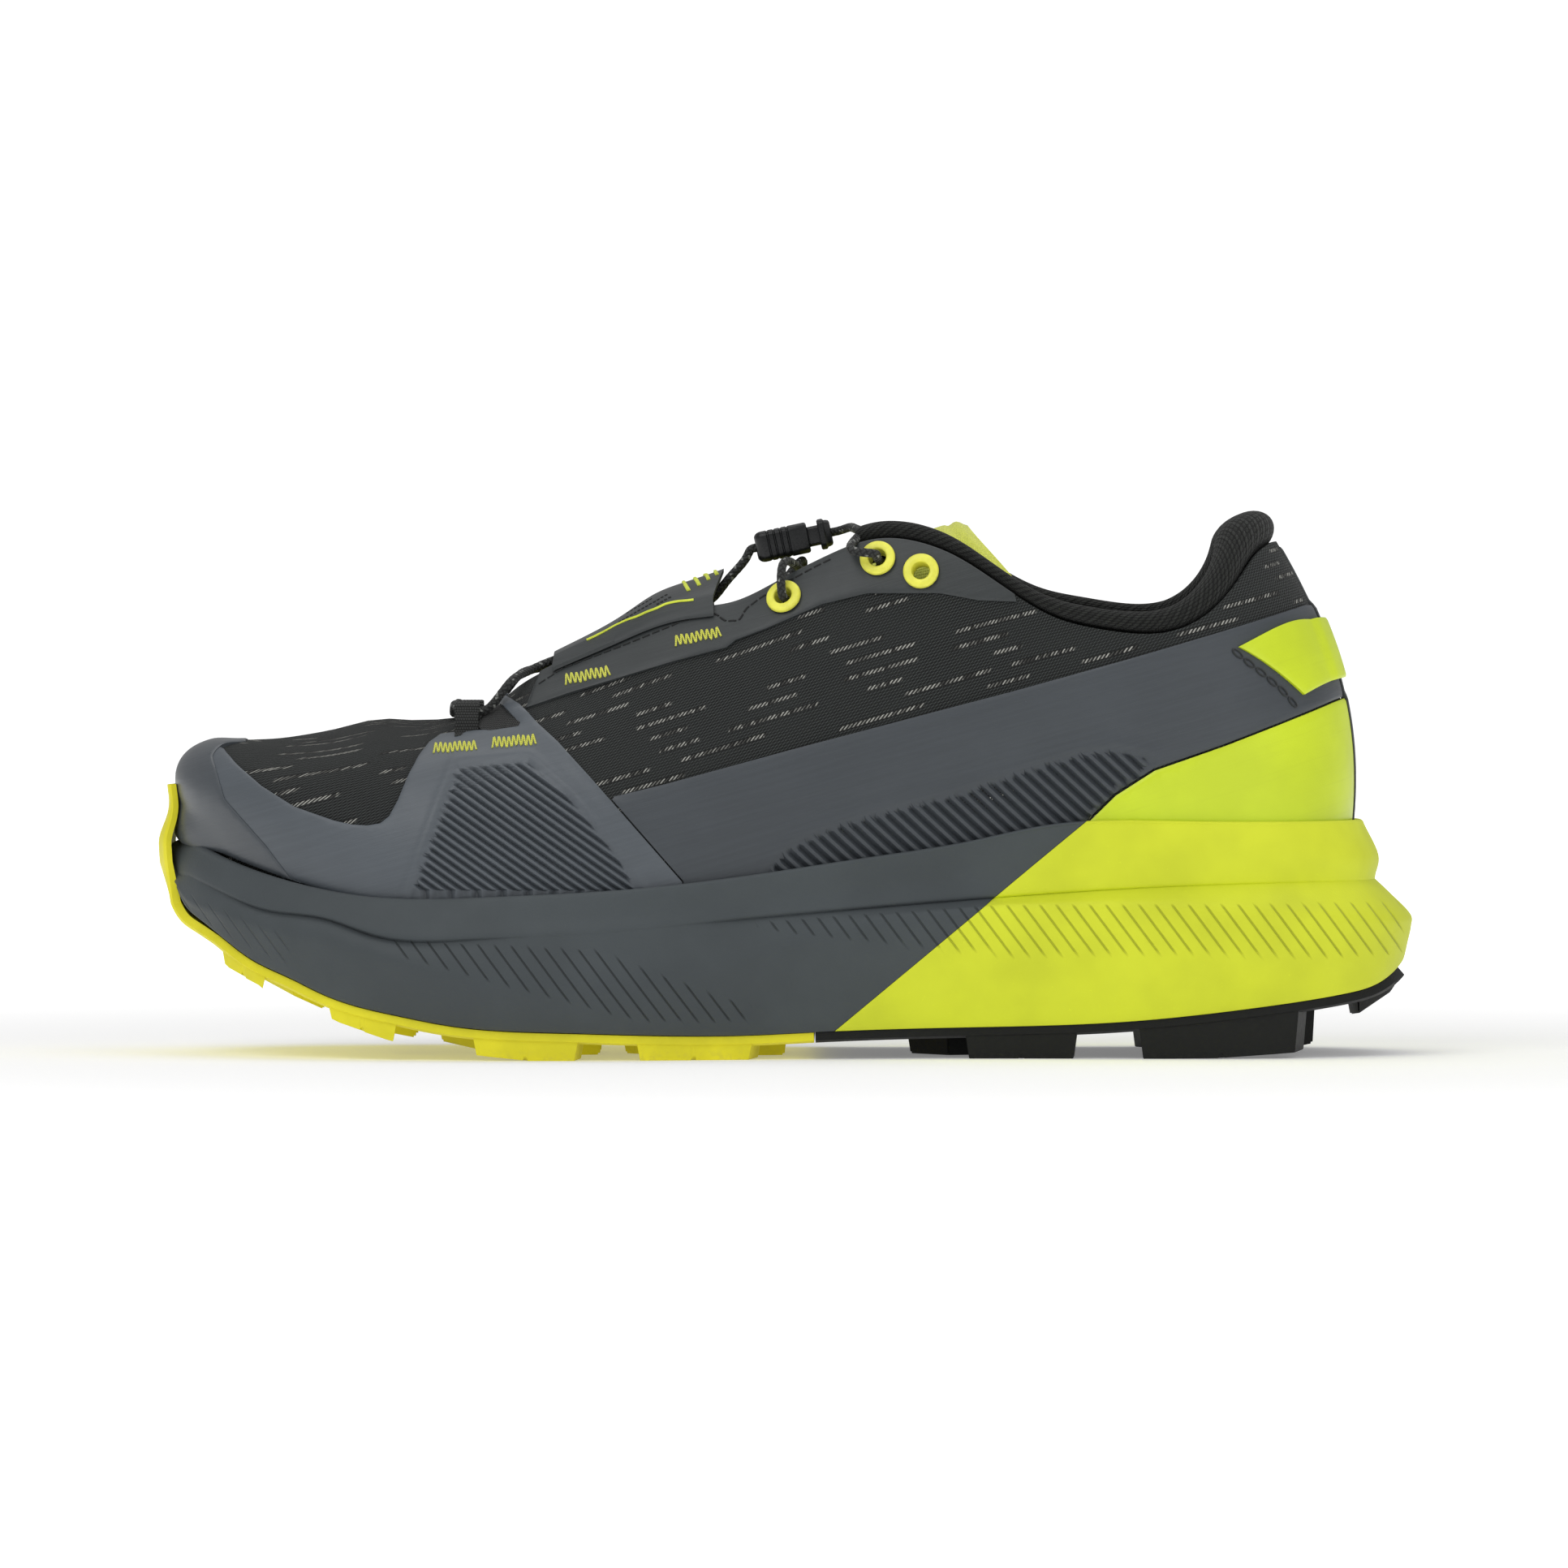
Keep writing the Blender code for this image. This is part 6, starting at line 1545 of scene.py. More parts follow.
def lining_section(s):
    """The lining and its padded roll, cut across at station s, as a closed loop."""
    u = 1 - abs(s - 1.0)
    share = (u - COLLAR_START) / (1 - COLLAR_START)
    radius = float(row_lookup(ROLL_RADIUS, share))
    top, below = last_point(s, 0.999), last_point(s, 0.96)
    up = (top - below) / np.linalg.norm(top - below)
    out = last_normal(s, 0.98)
    fuller = radius * (1 + 0.26 * float(ease(share, 0.5, 0.75)))
    wide = fuller * (1 + 0.35 * float(ease(share, 0.78, 1.0)))
    centre = top + up * (2 * radius + 0.4 - fuller) + out * (1.7 + 1.6 * float(ease(share, 0.8, 1.0)) - wide)
    roll = [centre + wide * math.cos(a) * out + fuller * math.sin(a) * up
            for a in np.radians(np.linspace(-75, 190, 26))]
    foot = float(np.interp(u, LINING_START, (0.93, 0.16)))
    levels = [0.94 + (foot - 0.94) * k for k in np.linspace(0.06, 1.0, 26)]
    padding = 1.1 * math.sin(math.pi * float(np.clip((u - 0.74) / 0.5, 0, 1)))
    inner_low = []
    for k, h in enumerate(levels):
        swell = padding * math.sin(math.pi * min(1.0, k / 18)) ** 2
        inner_low.append(shell(s, h, LINING[0] - swell))
    outer_low = [shell(s, h, LINING[1]) for h in reversed(levels)]
    neck = top + out * (LINING[1] - 0.1) - up * 0.3
    return [*roll, *inner_low, *outer_low, neck]


def build_collar():
    stations = np.linspace(COLLAR_START, 2 - COLLAR_START, 240)
    sections = np.array([lining_section(s) for s in stations])
    rows, columns, _ = sections.shape
    faces = grid_faces(rows, columns, wrap_columns=True)
    faces += [list(range(columns)), [(rows - 1) * columns + i for i in reversed(range(columns))]]
    step = np.linalg.norm(np.diff(sections, axis=1), axis=2).mean(axis=0)
    around = np.concatenate([[0], np.cumsum(step)])
    along = run_along(sections[:, 10])
    maps = np.stack(np.meshgrid(along, around, indexing="ij"), axis=-1).reshape(-1, 2)
    collar = piece("collar_padded", sections.reshape(-1, 3), faces, LOOKS["collar"], "collar",
                   ["collar_lining"], maps=maps, sharp=60)


# Tongue, throat cover and pull tab

TONGUE_CREST = Spline((
    (-66, 77.4), (-56, 85.0), (-40, 92.5), (-20, 101.8), (0, 110.8), (20, 119.3), (30, 123.6), (37, 126),
    (44, 127.3),
))
TONGUE_HALF_WIDTH = Spline(((-66, 7), (-56, 11), (-30, 19), (0, 23), (25, 22.5), (44, 21.5)))
TONGUE_DROP = Spline(((-66, 2), (-56, 5), (-30, 9), (0, 14), (25, 16), (44, 16)))
TONGUE_END_SWEEP = 14.0
TONGUE_SPAN = (-66, 43.5)


def tongue_point(x, t, depth):
    """A point at depth under the tongue's top face; t runs from -1 to 1 across it."""
    sweep = TONGUE_END_SWEEP * t * t * float(np.clip((x - TONGUE_HINGE_X) / 19, 0, 1))
    half, drop = TONGUE_HALF_WIDTH(x)[0], TONGUE_DROP(x)[0]
    return (x + sweep + 0.35 * depth, half * t, TONGUE_CREST(x)[0] - drop * t * t - depth)


def build_tongue():
    """One padded tongue, with a sewn channel round its edge."""
    foot, tip = TONGUE_SPAN
    across, along = np.linspace(-1, 1, 61), np.linspace(*TONGUE_SPAN, 150)
    grids = []
    for bottom in (0.0, TONGUE_THICKNESS):
        grid = []
        for x in along:
            row = []
            for t in across:
                edge = min((1 - abs(t)) * TONGUE_HALF_WIDTH(x)[0], tip - x, x - foot)
                pinch = 1.3 * (1 - float(ease(edge, 0, 2.2))) + 0.55 * math.exp(-(((edge - 4.2) / 0.7) ** 2))
                wrinkle = 0.3 * math.sin(x / 3.1 + 1.7 * math.sin(4 * t)) * float(ease(x, 26, 40))
                depth = bottom * (1 - 0.55 * t * t)
                shift = pinch - wrinkle if bottom == 0 else -pinch
                row.append(tongue_point(x, t, depth + shift))
            grid.append(row)
        grids.append(np.array(grid))
    verts, faces = slab(*grids)
    tongue = piece("tongue_padded", verts, faces, LOOKS["tongue"], "tongue_lime",
                   ["tongue_base", "tongue_tip"], body=None, sharp=60)
    hinge_z = float(TONGUE_CREST(TONGUE_HINGE_X)[0])
    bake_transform(tongue)


COVER_RISE = Spline(((-60, 0.6), (-51, 1.2), (-39, 2.8), (-33, 4.3), (-26, 5.0), (-14, 8.0)))
COVER_SPAN = (0.33, 0.475)
COVER_THICKNESS = 0.9


def cover_row(u, ts, layer):
    """Points across the throat cover at station u; t of -1 and 1 are its sewn edges."""
    a, b = shell(-u, 0.99, FILM[1] + 0.7), shell(u, 0.99, FILM[1] + 0.7)
    points = (a + b) / 2 + (b - a) / 2 * ts[:, None]
    arch = 1 - ts * ts
    rise = COVER_RISE(points[:, 0])[:, 0]
    points[:, 2] += rise * arch**0.8 + layer
    points[:, 0] += 2.5 * arch * (u - COVER_SPAN[0]) / (COVER_SPAN[1] - COVER_SPAN[0])
    low_a, low_b = shell(-u, 0.93, FILM[1] + 0.5), shell(u, 0.93, FILM[1] + 0.5)
    low_a[2] += layer
    low_b[2] += layer
    return np.concatenate([[low_a, (low_a + points[0]) / 2], points, [(low_b + points[-1]) / 2, low_b]])


def cover_grid(layer, rows=90, columns=81):
    ts = np.linspace(-1, 1, columns)
    return np.array([cover_row(u, ts, layer) for u in np.linspace(*COVER_SPAN, rows)])


LIME_LINE_XZ = ((-46.7, 98.5), (-41.8, 101.4), (-37, 103.7), (-32.1, 105.6), (-28.3, 107.3), (-25.8, 108.0),
                (-23.4, 108.1), (-21.3, 107.5))
BARS_XZ = (((-24.1, 112.9), (-22.7, 110.6)), ((-21.6, 114.2), (-20.2, 111.9)),
           ((-19.2, 115.3), (-17.9, 113.2)), ((-17.0, 116.1), (-16.0, 114.4)))
DOT_FIELDS_XZ = (
    ((-45.5, 100.6), (-40, 103.6), (-33.6, 108.4), (-29.8, 109.3), (-26.6, 110.2), (-26.6, 108.9),
     (-31.8, 106.2), (-36, 104.3), (-41, 102.2)),
    ((-41.5, 99.6), (-36, 102.0), (-31.5, 103.8), (-27, 106.0), (-23.6, 107.0), (-22.6, 106.0),
     (-27.6, 104.4), (-33, 102.6), (-38, 100.6)),
)
DOT_PITCH, DOT_RADIUS = 1.05, 0.41
TRIM_RADIUS, BAR_RADIUS = 0.32, 0.5


class CoverFace:
    """Finds places on the cover's outer face from their side-view coordinates."""

    def __init__(self):
        grid = cover_grid(COVER_THICKNESS, 300, 301)
        self.points = grid[:, 2:-2]
        normals = unit(np.cross(np.gradient(self.points, axis=1), np.gradient(self.points, axis=0)))
        self.normals = normals if normals[0, 150, 2] > 0 else -normals

    def at(self, x, z, side, lift=0.0):
        half = self.points.shape[1] // 2
        part = slice(0, half + 1) if side < 0 else slice(half, None)
        points, normals = self.points[:, part], self.normals[:, part]
        miss = (points[..., 0] - x) ** 2 + (points[..., 2] - z) ** 2
        i = np.unravel_index(np.argmin(miss), miss.shape)
        return points[i] + normals[i] * lift, normals[i], math.sqrt(miss[i])


def disc(centre, normal, radius, sides=8):
    side = np.cross(normal, (0, 1.0, 0))
    side /= np.linalg.norm(side)
    other = np.cross(normal, side)
    angles = 2 * np.pi * np.arange(sides) / sides
    rim = centre + radius * (np.cos(angles)[:, None] * side + np.sin(angles)[:, None] * other)
    verts = np.concatenate([rim, rim - normal * 0.25])
    faces = [list(range(sides)), [sides + i for i in reversed(range(sides))]]
    faces += [[i, (i + 1) % sides, sides + (i + 1) % sides, sides + i] for i in range(sides)]
    return verts, faces


def build_throat_cover():
    """The bridge over the lower throat, with its perforated fields, lime line and bars."""
    verts, faces = slab(cover_grid(COVER_THICKNESS), cover_grid(0.0))
    piece("throat_cover_film", verts, faces, LOOKS["dark_film"], "slate_film", ["throat_cover"], sharp=50)
    face = CoverFace()
    dots, lines = [], []
    for side, _ in SIDES:
        for field in DOT_FIELDS_XZ:
            field = np.array(field)
            low, high = field.min(axis=0), field.max(axis=0)
            for i, x in enumerate(np.arange(low[0], high[0], DOT_PITCH * 0.87)):
                for z in np.arange(low[1] + (i % 2) * DOT_PITCH / 2, high[1], DOT_PITCH):
                    if depth_in(np.array([[x, z]]), field)[0] > 0.2:
                        place, normal, miss = face.at(x, z, side, 0.12)
                        if miss < 0.6:
                            dots.append(disc(place, normal, DOT_RADIUS))
        line = smoothed(LIME_LINE_XZ, 0.6)
        places = [face.at(x, z, side, 0.02)[0] for x, z in line]
        lines.append(tube(smoothed(places[::3], 0.5), TRIM_RADIUS, 8)[:2])
        for (x0, z0), (x1, z1) in BARS_XZ:
            ends = [face.at(x0 + (x1 - x0) * k, z0 + (z1 - z0) * k, side, 0.0)[0] for k in (0, 0.5, 1)]
            lines.append(tube(np.array(ends), BAR_RADIUS, 8)[:2])
    piece("cover_perforations", *joined(dots), LOOKS["dark_print"], "slate_film")
    piece("cover_lime_trim", *joined(lines), LOOKS["lime_print"], "lime_film")


PULL_TAB_XZ = ((107.3, 97.2), (124.5, 103.4), (129.5, 88.9), (122.9, 85.8))
TAB_STAND_OFF = 0.8
CHAIN_XZ = ((105.9, 96.9), (109.0, 94.3), (113.6, 90.8), (117.8, 87.2), (122.6, 81.9))


def build_pull_tab():
    """The lime band round the heel, sewn down at both ends and standing off behind the heel."""
    outer = on_last(PULL_TAB_XZ, -1, spacing=40)
    inner = on_last(PULL_TAB_XZ, 1, spacing=40)
    unrolled = [(s + 2.0, h) for s, h in outer]
    loop = [inner[0], inner[1], (1.0, inner[1][1]), unrolled[1], unrolled[0], unrolled[3], unrolled[2],
            (1.0, inner[2][1]), inner[2], inner[3]]
    sewn = abs(outer[1][0])

    def lift(s, _h):
        return TAB_STAND_OFF * np.clip((1 - np.abs(s - 1.0) - sewn) / (0.97 - sewn), 0, 1) ** 0.7

    verts, faces, maps = skin(loop, (FILM[1] + 0.05, FILM[1] + 1.0), 1.2, lift=lift)
    piece("pull_tab_band", verts, faces, LOOKS["lime_film"], "lime_film", ["heel_pull_tab"], maps=maps)


# Sewing


def on_film(points_xz, side, lift, offset=FILM[1]):
    """Places on the upper for side-view points, lifted off the film, with the surface's normals."""
    s, h = find_all(np.array(points_xz, float), side, offset=offset).T
    return shell(s, h, offset + lift), last_normal(s, h)


TACKS = (  # centre x, z, length, height and tilt in degrees of each zigzag bar tack
    (-77.9, 73.6, 10.2, 2.2, 4), (-63.9, 75.0, 10.4, 2.4, 5), (-46.7, 90.5, 10.8, 2.4, 12),
    (-20.5, 99.7, 11.0, 2.4, 12),
)
TACK_TURNS = 9
THREAD_RADIUS = 0.23


def build_tacks():
    for side, word in SIDES:
        for number, (cx, cz, length, rise, tilt) in enumerate(TACKS, 1):
            a = math.radians(tilt)
            points = []
            for k in range(2 * TACK_TURNS + 1):
                run = length * (k / (2 * TACK_TURNS) - 0.5)
                up = rise * (0.5 if k % 2 else -0.5) * (1 + 0.12 * math.sin(k * 2.4))
                points.append((cx + run * math.cos(a) - up * math.sin(a),
                               cz + run * math.sin(a) + up * math.cos(a)))
            places, _ = on_film(spread(points, 1.3), side, 0.12)
            verts, faces, maps = tube(smoothed(places, 0.35), THREAD_RADIUS, 8)
            piece(f"bar_tack_{word}_{number}", verts, faces, LOOKS["lime_thread"], "lime_film", maps=maps,
                  fix_normals=False)


STITCH_XZ = (
    (-58.6, 88.2), (-52.8, 92.0), (-38.2, 97.6), (-24.2, 103.3), (-16.6, 105.1), (-13.6, 103.4),
    (-10.8, 103.6), (-8.6, 106.6), (-6.0, 108.6), (-1.2, 111.6), (7.6, 116.4), (13.0, 119.0),
)
STITCH_LENGTH, STITCH_PITCH = 1.9, 2.5
CHAIN_LENGTH, CHAIN_PITCH = 3.0, 3.7
HEAVY_THREAD = 0.26


def dashes(path, length, pitch):
    """Short pieces of a path, each length long and pitch apart."""
    run = run_along(path)
    for start in np.arange(0.4, run[-1] - length, pitch):
        yield at_runs(path, run, np.linspace(start, start + length, 7))


def build_stitch_lines():
    """The dark row along each eyestay and the chain of heavy stitches that holds the pull tab."""
    for side, word in SIDES:
        path, _ = on_film(spread(STITCH_XZ, 2.5), side, 0.0)
        stitches = [tube(run, HEAVY_THREAD, 6)[:2]
                    for run in dashes(smoothed(path, 0.4), STITCH_LENGTH, STITCH_PITCH)]
        piece(f"eyestay_stitches_{word}", *joined(stitches), LOOKS["dark_print"], "slate_film")
        path, normals = on_film(spread(CHAIN_XZ, 1.5), side, 0.1)
        chain = []
        for run in dashes(smoothed(path, 0.4), CHAIN_LENGTH, CHAIN_PITCH):
            along = run[-1] - run[0]
            across = np.cross(along / np.linalg.norm(along), normals[len(normals) // 2])
            angles = np.linspace(0, 2 * math.pi, 25)[:-1]
            middle = run[3]
            ring = [middle + along * 0.5 * math.cos(a) + across * 0.62 * math.sin(a) for a in angles]
            ring = np.array([*ring, ring[0], ring[1]])
            chain.append(tube(ring, HEAVY_THREAD, 8)[:2])
        piece(f"tab_chain_stitch_{word}", *joined(chain), LOOKS["dark_thread"], "slate_film")


# Lacing


def turned(profile, origin, axis, sides=56):
    """A closed ring turned about an axis from (radius, height) points."""
    axis = np.array(axis) / np.linalg.norm(axis)
    side = np.cross(axis, (0, 0, 1.0))
    side /= np.linalg.norm(side)
    other = np.cross(axis, side)
    verts = []
    for a in 2 * np.pi * np.arange(sides) / sides:
        radial = math.cos(a) * side + math.sin(a) * other
        verts += [np.array(origin) + radial * r + axis * z for r, z in profile]
    return verts, grid_faces(sides, len(profile), wrap_rows=True, wrap_columns=True)


def build_eyelets():
    """Rolled-edge eyelets: a domed flange with a soft rim, a rounded throat and a barrel."""
    r_out, r_barrel, r_hole = EYELET_OUTER / 2, EYELET_BARREL / 2, EYELET_HOLE / 2
    low, seat = KNIT[0] - 1.2, FILM[1] + 0.45
    throat = [(r_hole + 0.45 * (1 - math.cos(a)), seat + 0.62 + 0.45 * math.sin(a))
              for a in np.linspace(0, math.pi / 2, 8)]
    crown = [(r_hole + 0.45 + k * (r_out - r_hole - 1.08),
              seat + 1.07 + 0.05 * math.sin(math.pi * k) - 0.07 * k) for k in np.linspace(0.15, 1, 6)]
    rim = [(r_out - 0.63 + 0.63 * math.sin(a), seat + 0.37 + 0.63 * math.cos(a))
           for a in np.linspace(0.15, math.pi / 2, 7)]
    profile = [(r_hole, low), *throat, *crown, *rim, (r_out, seat), (r_barrel, seat), (r_barrel, low)]
    for side, word in SIDES:
        for number, (s, h) in enumerate(eyelet_places(side), 1):
            verts, faces = turned(profile, last_point(s, h), last_normal(s, h))
            piece(f"eyelet_ring_{word}_{number}", verts, faces, LOOKS["eyelet"], "eyelet",
                  [f"eyelet_{word}_{number}"], sharp=50)


def lock_point(along, across, up):
    """A point in the lock's own frame: along the cords, across them and up from them."""
    c, s = math.cos(LOCK_TILT), math.sin(LOCK_TILT)
    x, y, z = LOCK_CENTRE
    return (x + along * c - up * s, y + across, z + along * s + up * c)


def rounded_section(half_width, half_height, corner, steps=7):
    """A rectangle with round corners, in (across, up)."""
    w, h, c = half_width - corner, half_height - corner, corner
    points = []
    for cx, cz, start in ((w, h, 0), (-w, h, 90), (-w, -h, 180), (w, -h, 270)):
        points += [(cx + c * math.cos(math.radians(start + a)), cz + c * math.sin(math.radians(start + a)))
                   for a in np.linspace(0, 90, steps)]
    return points


def lofted(stations):
    """A closed solid through sections [(along, points)], in the lock's frame."""
    verts = [lock_point(along, *p) for along, points in stations for p in points]
    n = len(stations[0][1])
    faces = grid_faces(len(stations), n, wrap_columns=True)
    faces.append(list(range(n)))
    faces.append([(len(stations) - 1) * n + i for i in reversed(range(n))])
    return verts, faces


def rod(x0, x1, across, radius, sides=28):
    turn = [2 * math.pi * k / sides for k in range(sides)]
    ring = [(across + radius * math.cos(a), radius * math.sin(a)) for a in turn]
    return lofted([(x0, ring), (x1, ring)])


def cut_away(obj, verts, faces):
    """Cuts the solid with these points and faces out of a piece."""
    cutter = placed("cutter", solid_mesh("cutter", verts, faces))
    modifier = obj.modifiers.new("difference", "BOOLEAN")
    modifier.operation, modifier.object, modifier.solver = "DIFFERENCE", cutter, "EXACT"
    graph = bpy.context.evaluated_depsgraph_get()
    result = bpy.data.meshes.new_from_object(obj.evaluated_get(graph), depsgraph=graph)
    obj.modifiers.clear()
    obj.data = result
    bpy.data.objects.remove(cutter, do_unlink=True)


def resmooth(obj):
    """Smooth shading again after a cut, with the creases kept."""
    obj.data.shade_smooth()
    obj.data.set_sharp_from_angle(angle=math.radians(LOCK_CREASE))


RIBS_ALONG = (-5.9, -4.3, -2.7, -1.1)  # grooves between the finger ribs round the lock's front half
RIB_WIDTH, RIB_CUT = 0.6, 0.3
LOCK_NOSE, LOCK_CORNER, LOCK_CREASE = 1.9, 1.5, 42


def build_cord_lock():
    """The cord lock's body with its finger ribs, and its stepped button."""
    w, h = LOCK_WIDTH / 2, LOCK_HEIGHT / 2
    front, rear = LOCK_BODY
    nose = [(front + LOCK_NOSE * (1 - math.cos(a)), LOCK_NOSE * (1 - math.sin(a)))
            for a in np.linspace(0.15, math.pi / 2, 8)]
    stations = [(along, rounded_section(w - cut, h - 0.7 * cut, LOCK_CORNER)) for along, cut in nose]
    for centre in RIBS_ALONG:
        for offset, cut in ((-0.5, 0), (-0.35, 0.6), (-0.15, 1), (0.15, 1), (0.35, 0.6), (0.5, 0)):
            c = RIB_CUT * cut
            section = rounded_section(w - c, h - 0.55 * c, LOCK_CORNER)
            stations.append((centre + offset * RIB_WIDTH, section))
    stations += [(rear - 0.6, rounded_section(w, h, LOCK_CORNER)),
                 (rear - 0.2, rounded_section(w - 0.12, h - 0.12, 1.4)),
                 (rear, rounded_section(w - 0.5, h - 0.5, 1.2))]
    body = piece("lock_body_ribbed", *lofted(stations), LOOKS["lock"], "lock", ["cord_lock_body"],
                 body="cord_lock", sharp=LOCK_CREASE)
    cavity = rounded_section(w - LOCK_WALL, h - LOCK_WALL, 0.8)
    cutters = [lofted([(LOCK_CAVITY_FRONT, cavity), (rear + 3, cavity)])]
    cutters += [rod(front - 3, LOCK_CAVITY_FRONT + 1, y, BORE_DIAMETER / 2)
                for y in (-STRAND_SPACING / 2, STRAND_SPACING / 2)]
    for verts, faces in cutters:
        cut_away(body, verts, faces)
    resmooth(body)

    button_w, button_h = w - LOCK_WALL - GAP, h - LOCK_WALL - GAP
    plug_end = rear + BUTTON_TRAVEL + GAP
    end = LOCK_BUTTON[1]
    step = plug_end + 0.52 * (end - plug_end)
    stations = [
        (LOCK_BUTTON[0], rounded_section(button_w - 0.2, button_h - 0.2, 0.7)),
        (LOCK_BUTTON[0] + 0.3, rounded_section(button_w, button_h, 0.8)),
        (plug_end, rounded_section(button_w, button_h, 0.8)),
        (plug_end + 0.01, rounded_section(w - 0.3, h - 0.3, 1.3)),
        (plug_end + 0.3, rounded_section(w, h, LOCK_CORNER)),
        (step - 0.25, rounded_section(w, h, LOCK_CORNER)), (step, rounded_section(w - 0.25, h - 0.3, 1.4)),
        (step + 0.15, rounded_section(w - 0.35, h - 0.45, 1.3)),
        (end - 0.8, rounded_section(w - 0.4, h - 0.5, 1.3)),
        (end - 0.25, rounded_section(w - 0.6, h - 0.7, 1.2)), (end, rounded_section(w - 1.1, h - 1.2, 0.9)),
    ]
    button = piece("lock_button_stepped", *lofted(stations), LOOKS["lock"], "lock", ["cord_lock_button"],
                   body="lock_button", sharp=LOCK_CREASE)
    for y in (-STRAND_SPACING / 2, STRAND_SPACING / 2):
        cut_away(button, *rod(LOCK_BUTTON[0] - 2, LOCK_BUTTON[1] + 2, y, BORE_DIAMETER / 2))
    resmooth(button)


SPRING_TURNS, SPRING_RADIUS, SPRING_WIRE = 4, 1.1, 0.22
SPRING_ENDS = (-4.25, -0.9)


def build_spring():
    """The small spring between the strands, built at one length; the real spring shortens as the button goes
    in.
    """
    share = np.linspace(0, 1, SPRING_TURNS * 20 + 1)
    low, high = SPRING_ENDS
    coil = [lock_point(low + (high - low) * k, SPRING_RADIUS * math.cos(2 * math.pi * SPRING_TURNS * k),
                       SPRING_RADIUS * math.sin(2 * math.pi * SPRING_TURNS * k)) for k in share]
    verts, faces, maps = tube(coil, SPRING_WIRE, 8)
    spring = piece("spring_coil", verts, faces, LOOKS["steel"], "spring_steel", ["cord_lock_spring"],
                   body="cord_lock", maps=maps)
    axis = np.subtract(lock_point(1, 0, 0), lock_point(0, 0, 0))
    anchor = np.array(lock_point(low - SPRING_WIRE, 0, 0)) * MM
    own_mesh(spring)


def mirror_y(points):
    return [(x, -y, z) for x, y, z in points]


INSIDE_SHARES = (0.28, 0.5, 0.72)


def lace_half(side):
    """One side's half of the cord: from its end in the pocket through the lock and both eyelets."""
    strand = side * STRAND_SPACING / 2
    (s1, h1), (s2, h2) = eyelet_places(side)[:2]

    def through(s, h, offsets):
        base, normal = last_point(s, h), last_normal(s, h)
        return [tuple(base + normal * d) for d in offsets]

    inside_run = [tuple(shell(s2 + (s1 - s2) * k, h2 + (h1 - h2) * k - 0.03, INSIDE_RUN_DEPTH))
                  for k in INSIDE_SHARES]
    return [
        (-29.6, side * 1.7, 102.4), (-26, side * 2.2, 103.9), (-21, side * 2.8, 106.1),
        (-16.6, side * 3.2, 109.2), (-13.4, side * 3.3, 113.2), lock_point(-12.0, strand, -1.8),
        lock_point(-10.4, strand, 0.0),
        lock_point(-8, strand, 0.0), lock_point(-3, strand, 0.0), lock_point(3, strand, 0.0),
        lock_point(8, strand, 0.0), lock_point(11.3, strand, 0.0), (15.7, side * 6.3, 125.7),
        (17.2, side * 12.0, 125.3), (18.2, side * 18.0, 124.2),
        tuple(shell(s2 - side * 0.016, h2 + 0.02, 7.0)),
        *through(s2, h2, (5.8, 4.0, 2.2, 0.4, -1.4)), *inside_run,
        *through(s1, h1, (-1.4, 0.4, 2.2, 4.0)),
    ]


LOOP_XZ = (-75.3, 81.8)
LOOP_RADII = (1.75, 2.4)
LOOP_STAND = 4.4
LACE_OVER = (  # from an outer eyelet over the tongue to the inner side, then forward to the front
    (-0.4, -24.2, 116.4), (1.6, -19.5, 117.4), (4.0, -10, 115.4), (4.4, 0.0, 114.6), (1.2, 8.5, 112.4),
    (-5.5, 13.5, 106.9), (-14, 13.2, 101.8), (-25, 11.2, 98.4), (-38, 9.2, 95.0), (-48, 8.0, 92.6),
    (-53.5, 8.6, 92.5),
)
CROSSING_X = -78.9
TUNNEL_WIDTH = 6.0
LEG_WIDTH, LEG_THICKNESS, LEG_FOOT_Z = 5.6, 0.6, 77.0
END_TAB_SIZE, END_TAB_CORNER = (7, 7, 2.6), 0.7
END_TAB_CENTRE, END_TAB_TILT = (-34.4, 0, 100.2), -math.radians(26)


def loop_centre(side):
    """The middle of a webbing tunnel, which stands on the knit beside the throat's front."""
    return shell(*find_on_last(*LOOP_XZ, side, offset=LOOP_STAND), LOOP_STAND)


def front_run(side):
    """From the throat forward through one side's webbing tunnel."""
    x, y, z = loop_centre(side)
    return [
        (-60.5, side * 11.6, 91.6), (-65.4, y + 0.5 * side, 88.4), (x + 6.0, y + side * 0.4, z + 1.7),
        (x + 3.4, y, z + 0.1), (x + 0.8, y - side * 0.4, z + 0.1), (x - 1.6, y - side * 2.4, z + 0.5),
        (x - 2.9, y - side * 6.5, z + 1.7),
    ]


def crossing():
    """Where the cord lies over the vamp between the two tunnels."""
    h = np.linspace(0.5, 1, 400)
    ridge = shell(0.0, h, KNIT[1] + CORD_DIAMETER / 2)
    return CROSSING_X, 0.0, float(np.interp(CROSSING_X, ridge[:, 0], ridge[:, 2]))


BRAID_PITCH, BRAID_STARTS, BRAID_RELIEF = 3.4, 4, 0.045
LACE_SAMPLES = 8000  # places on the route's curve that its even points are picked from


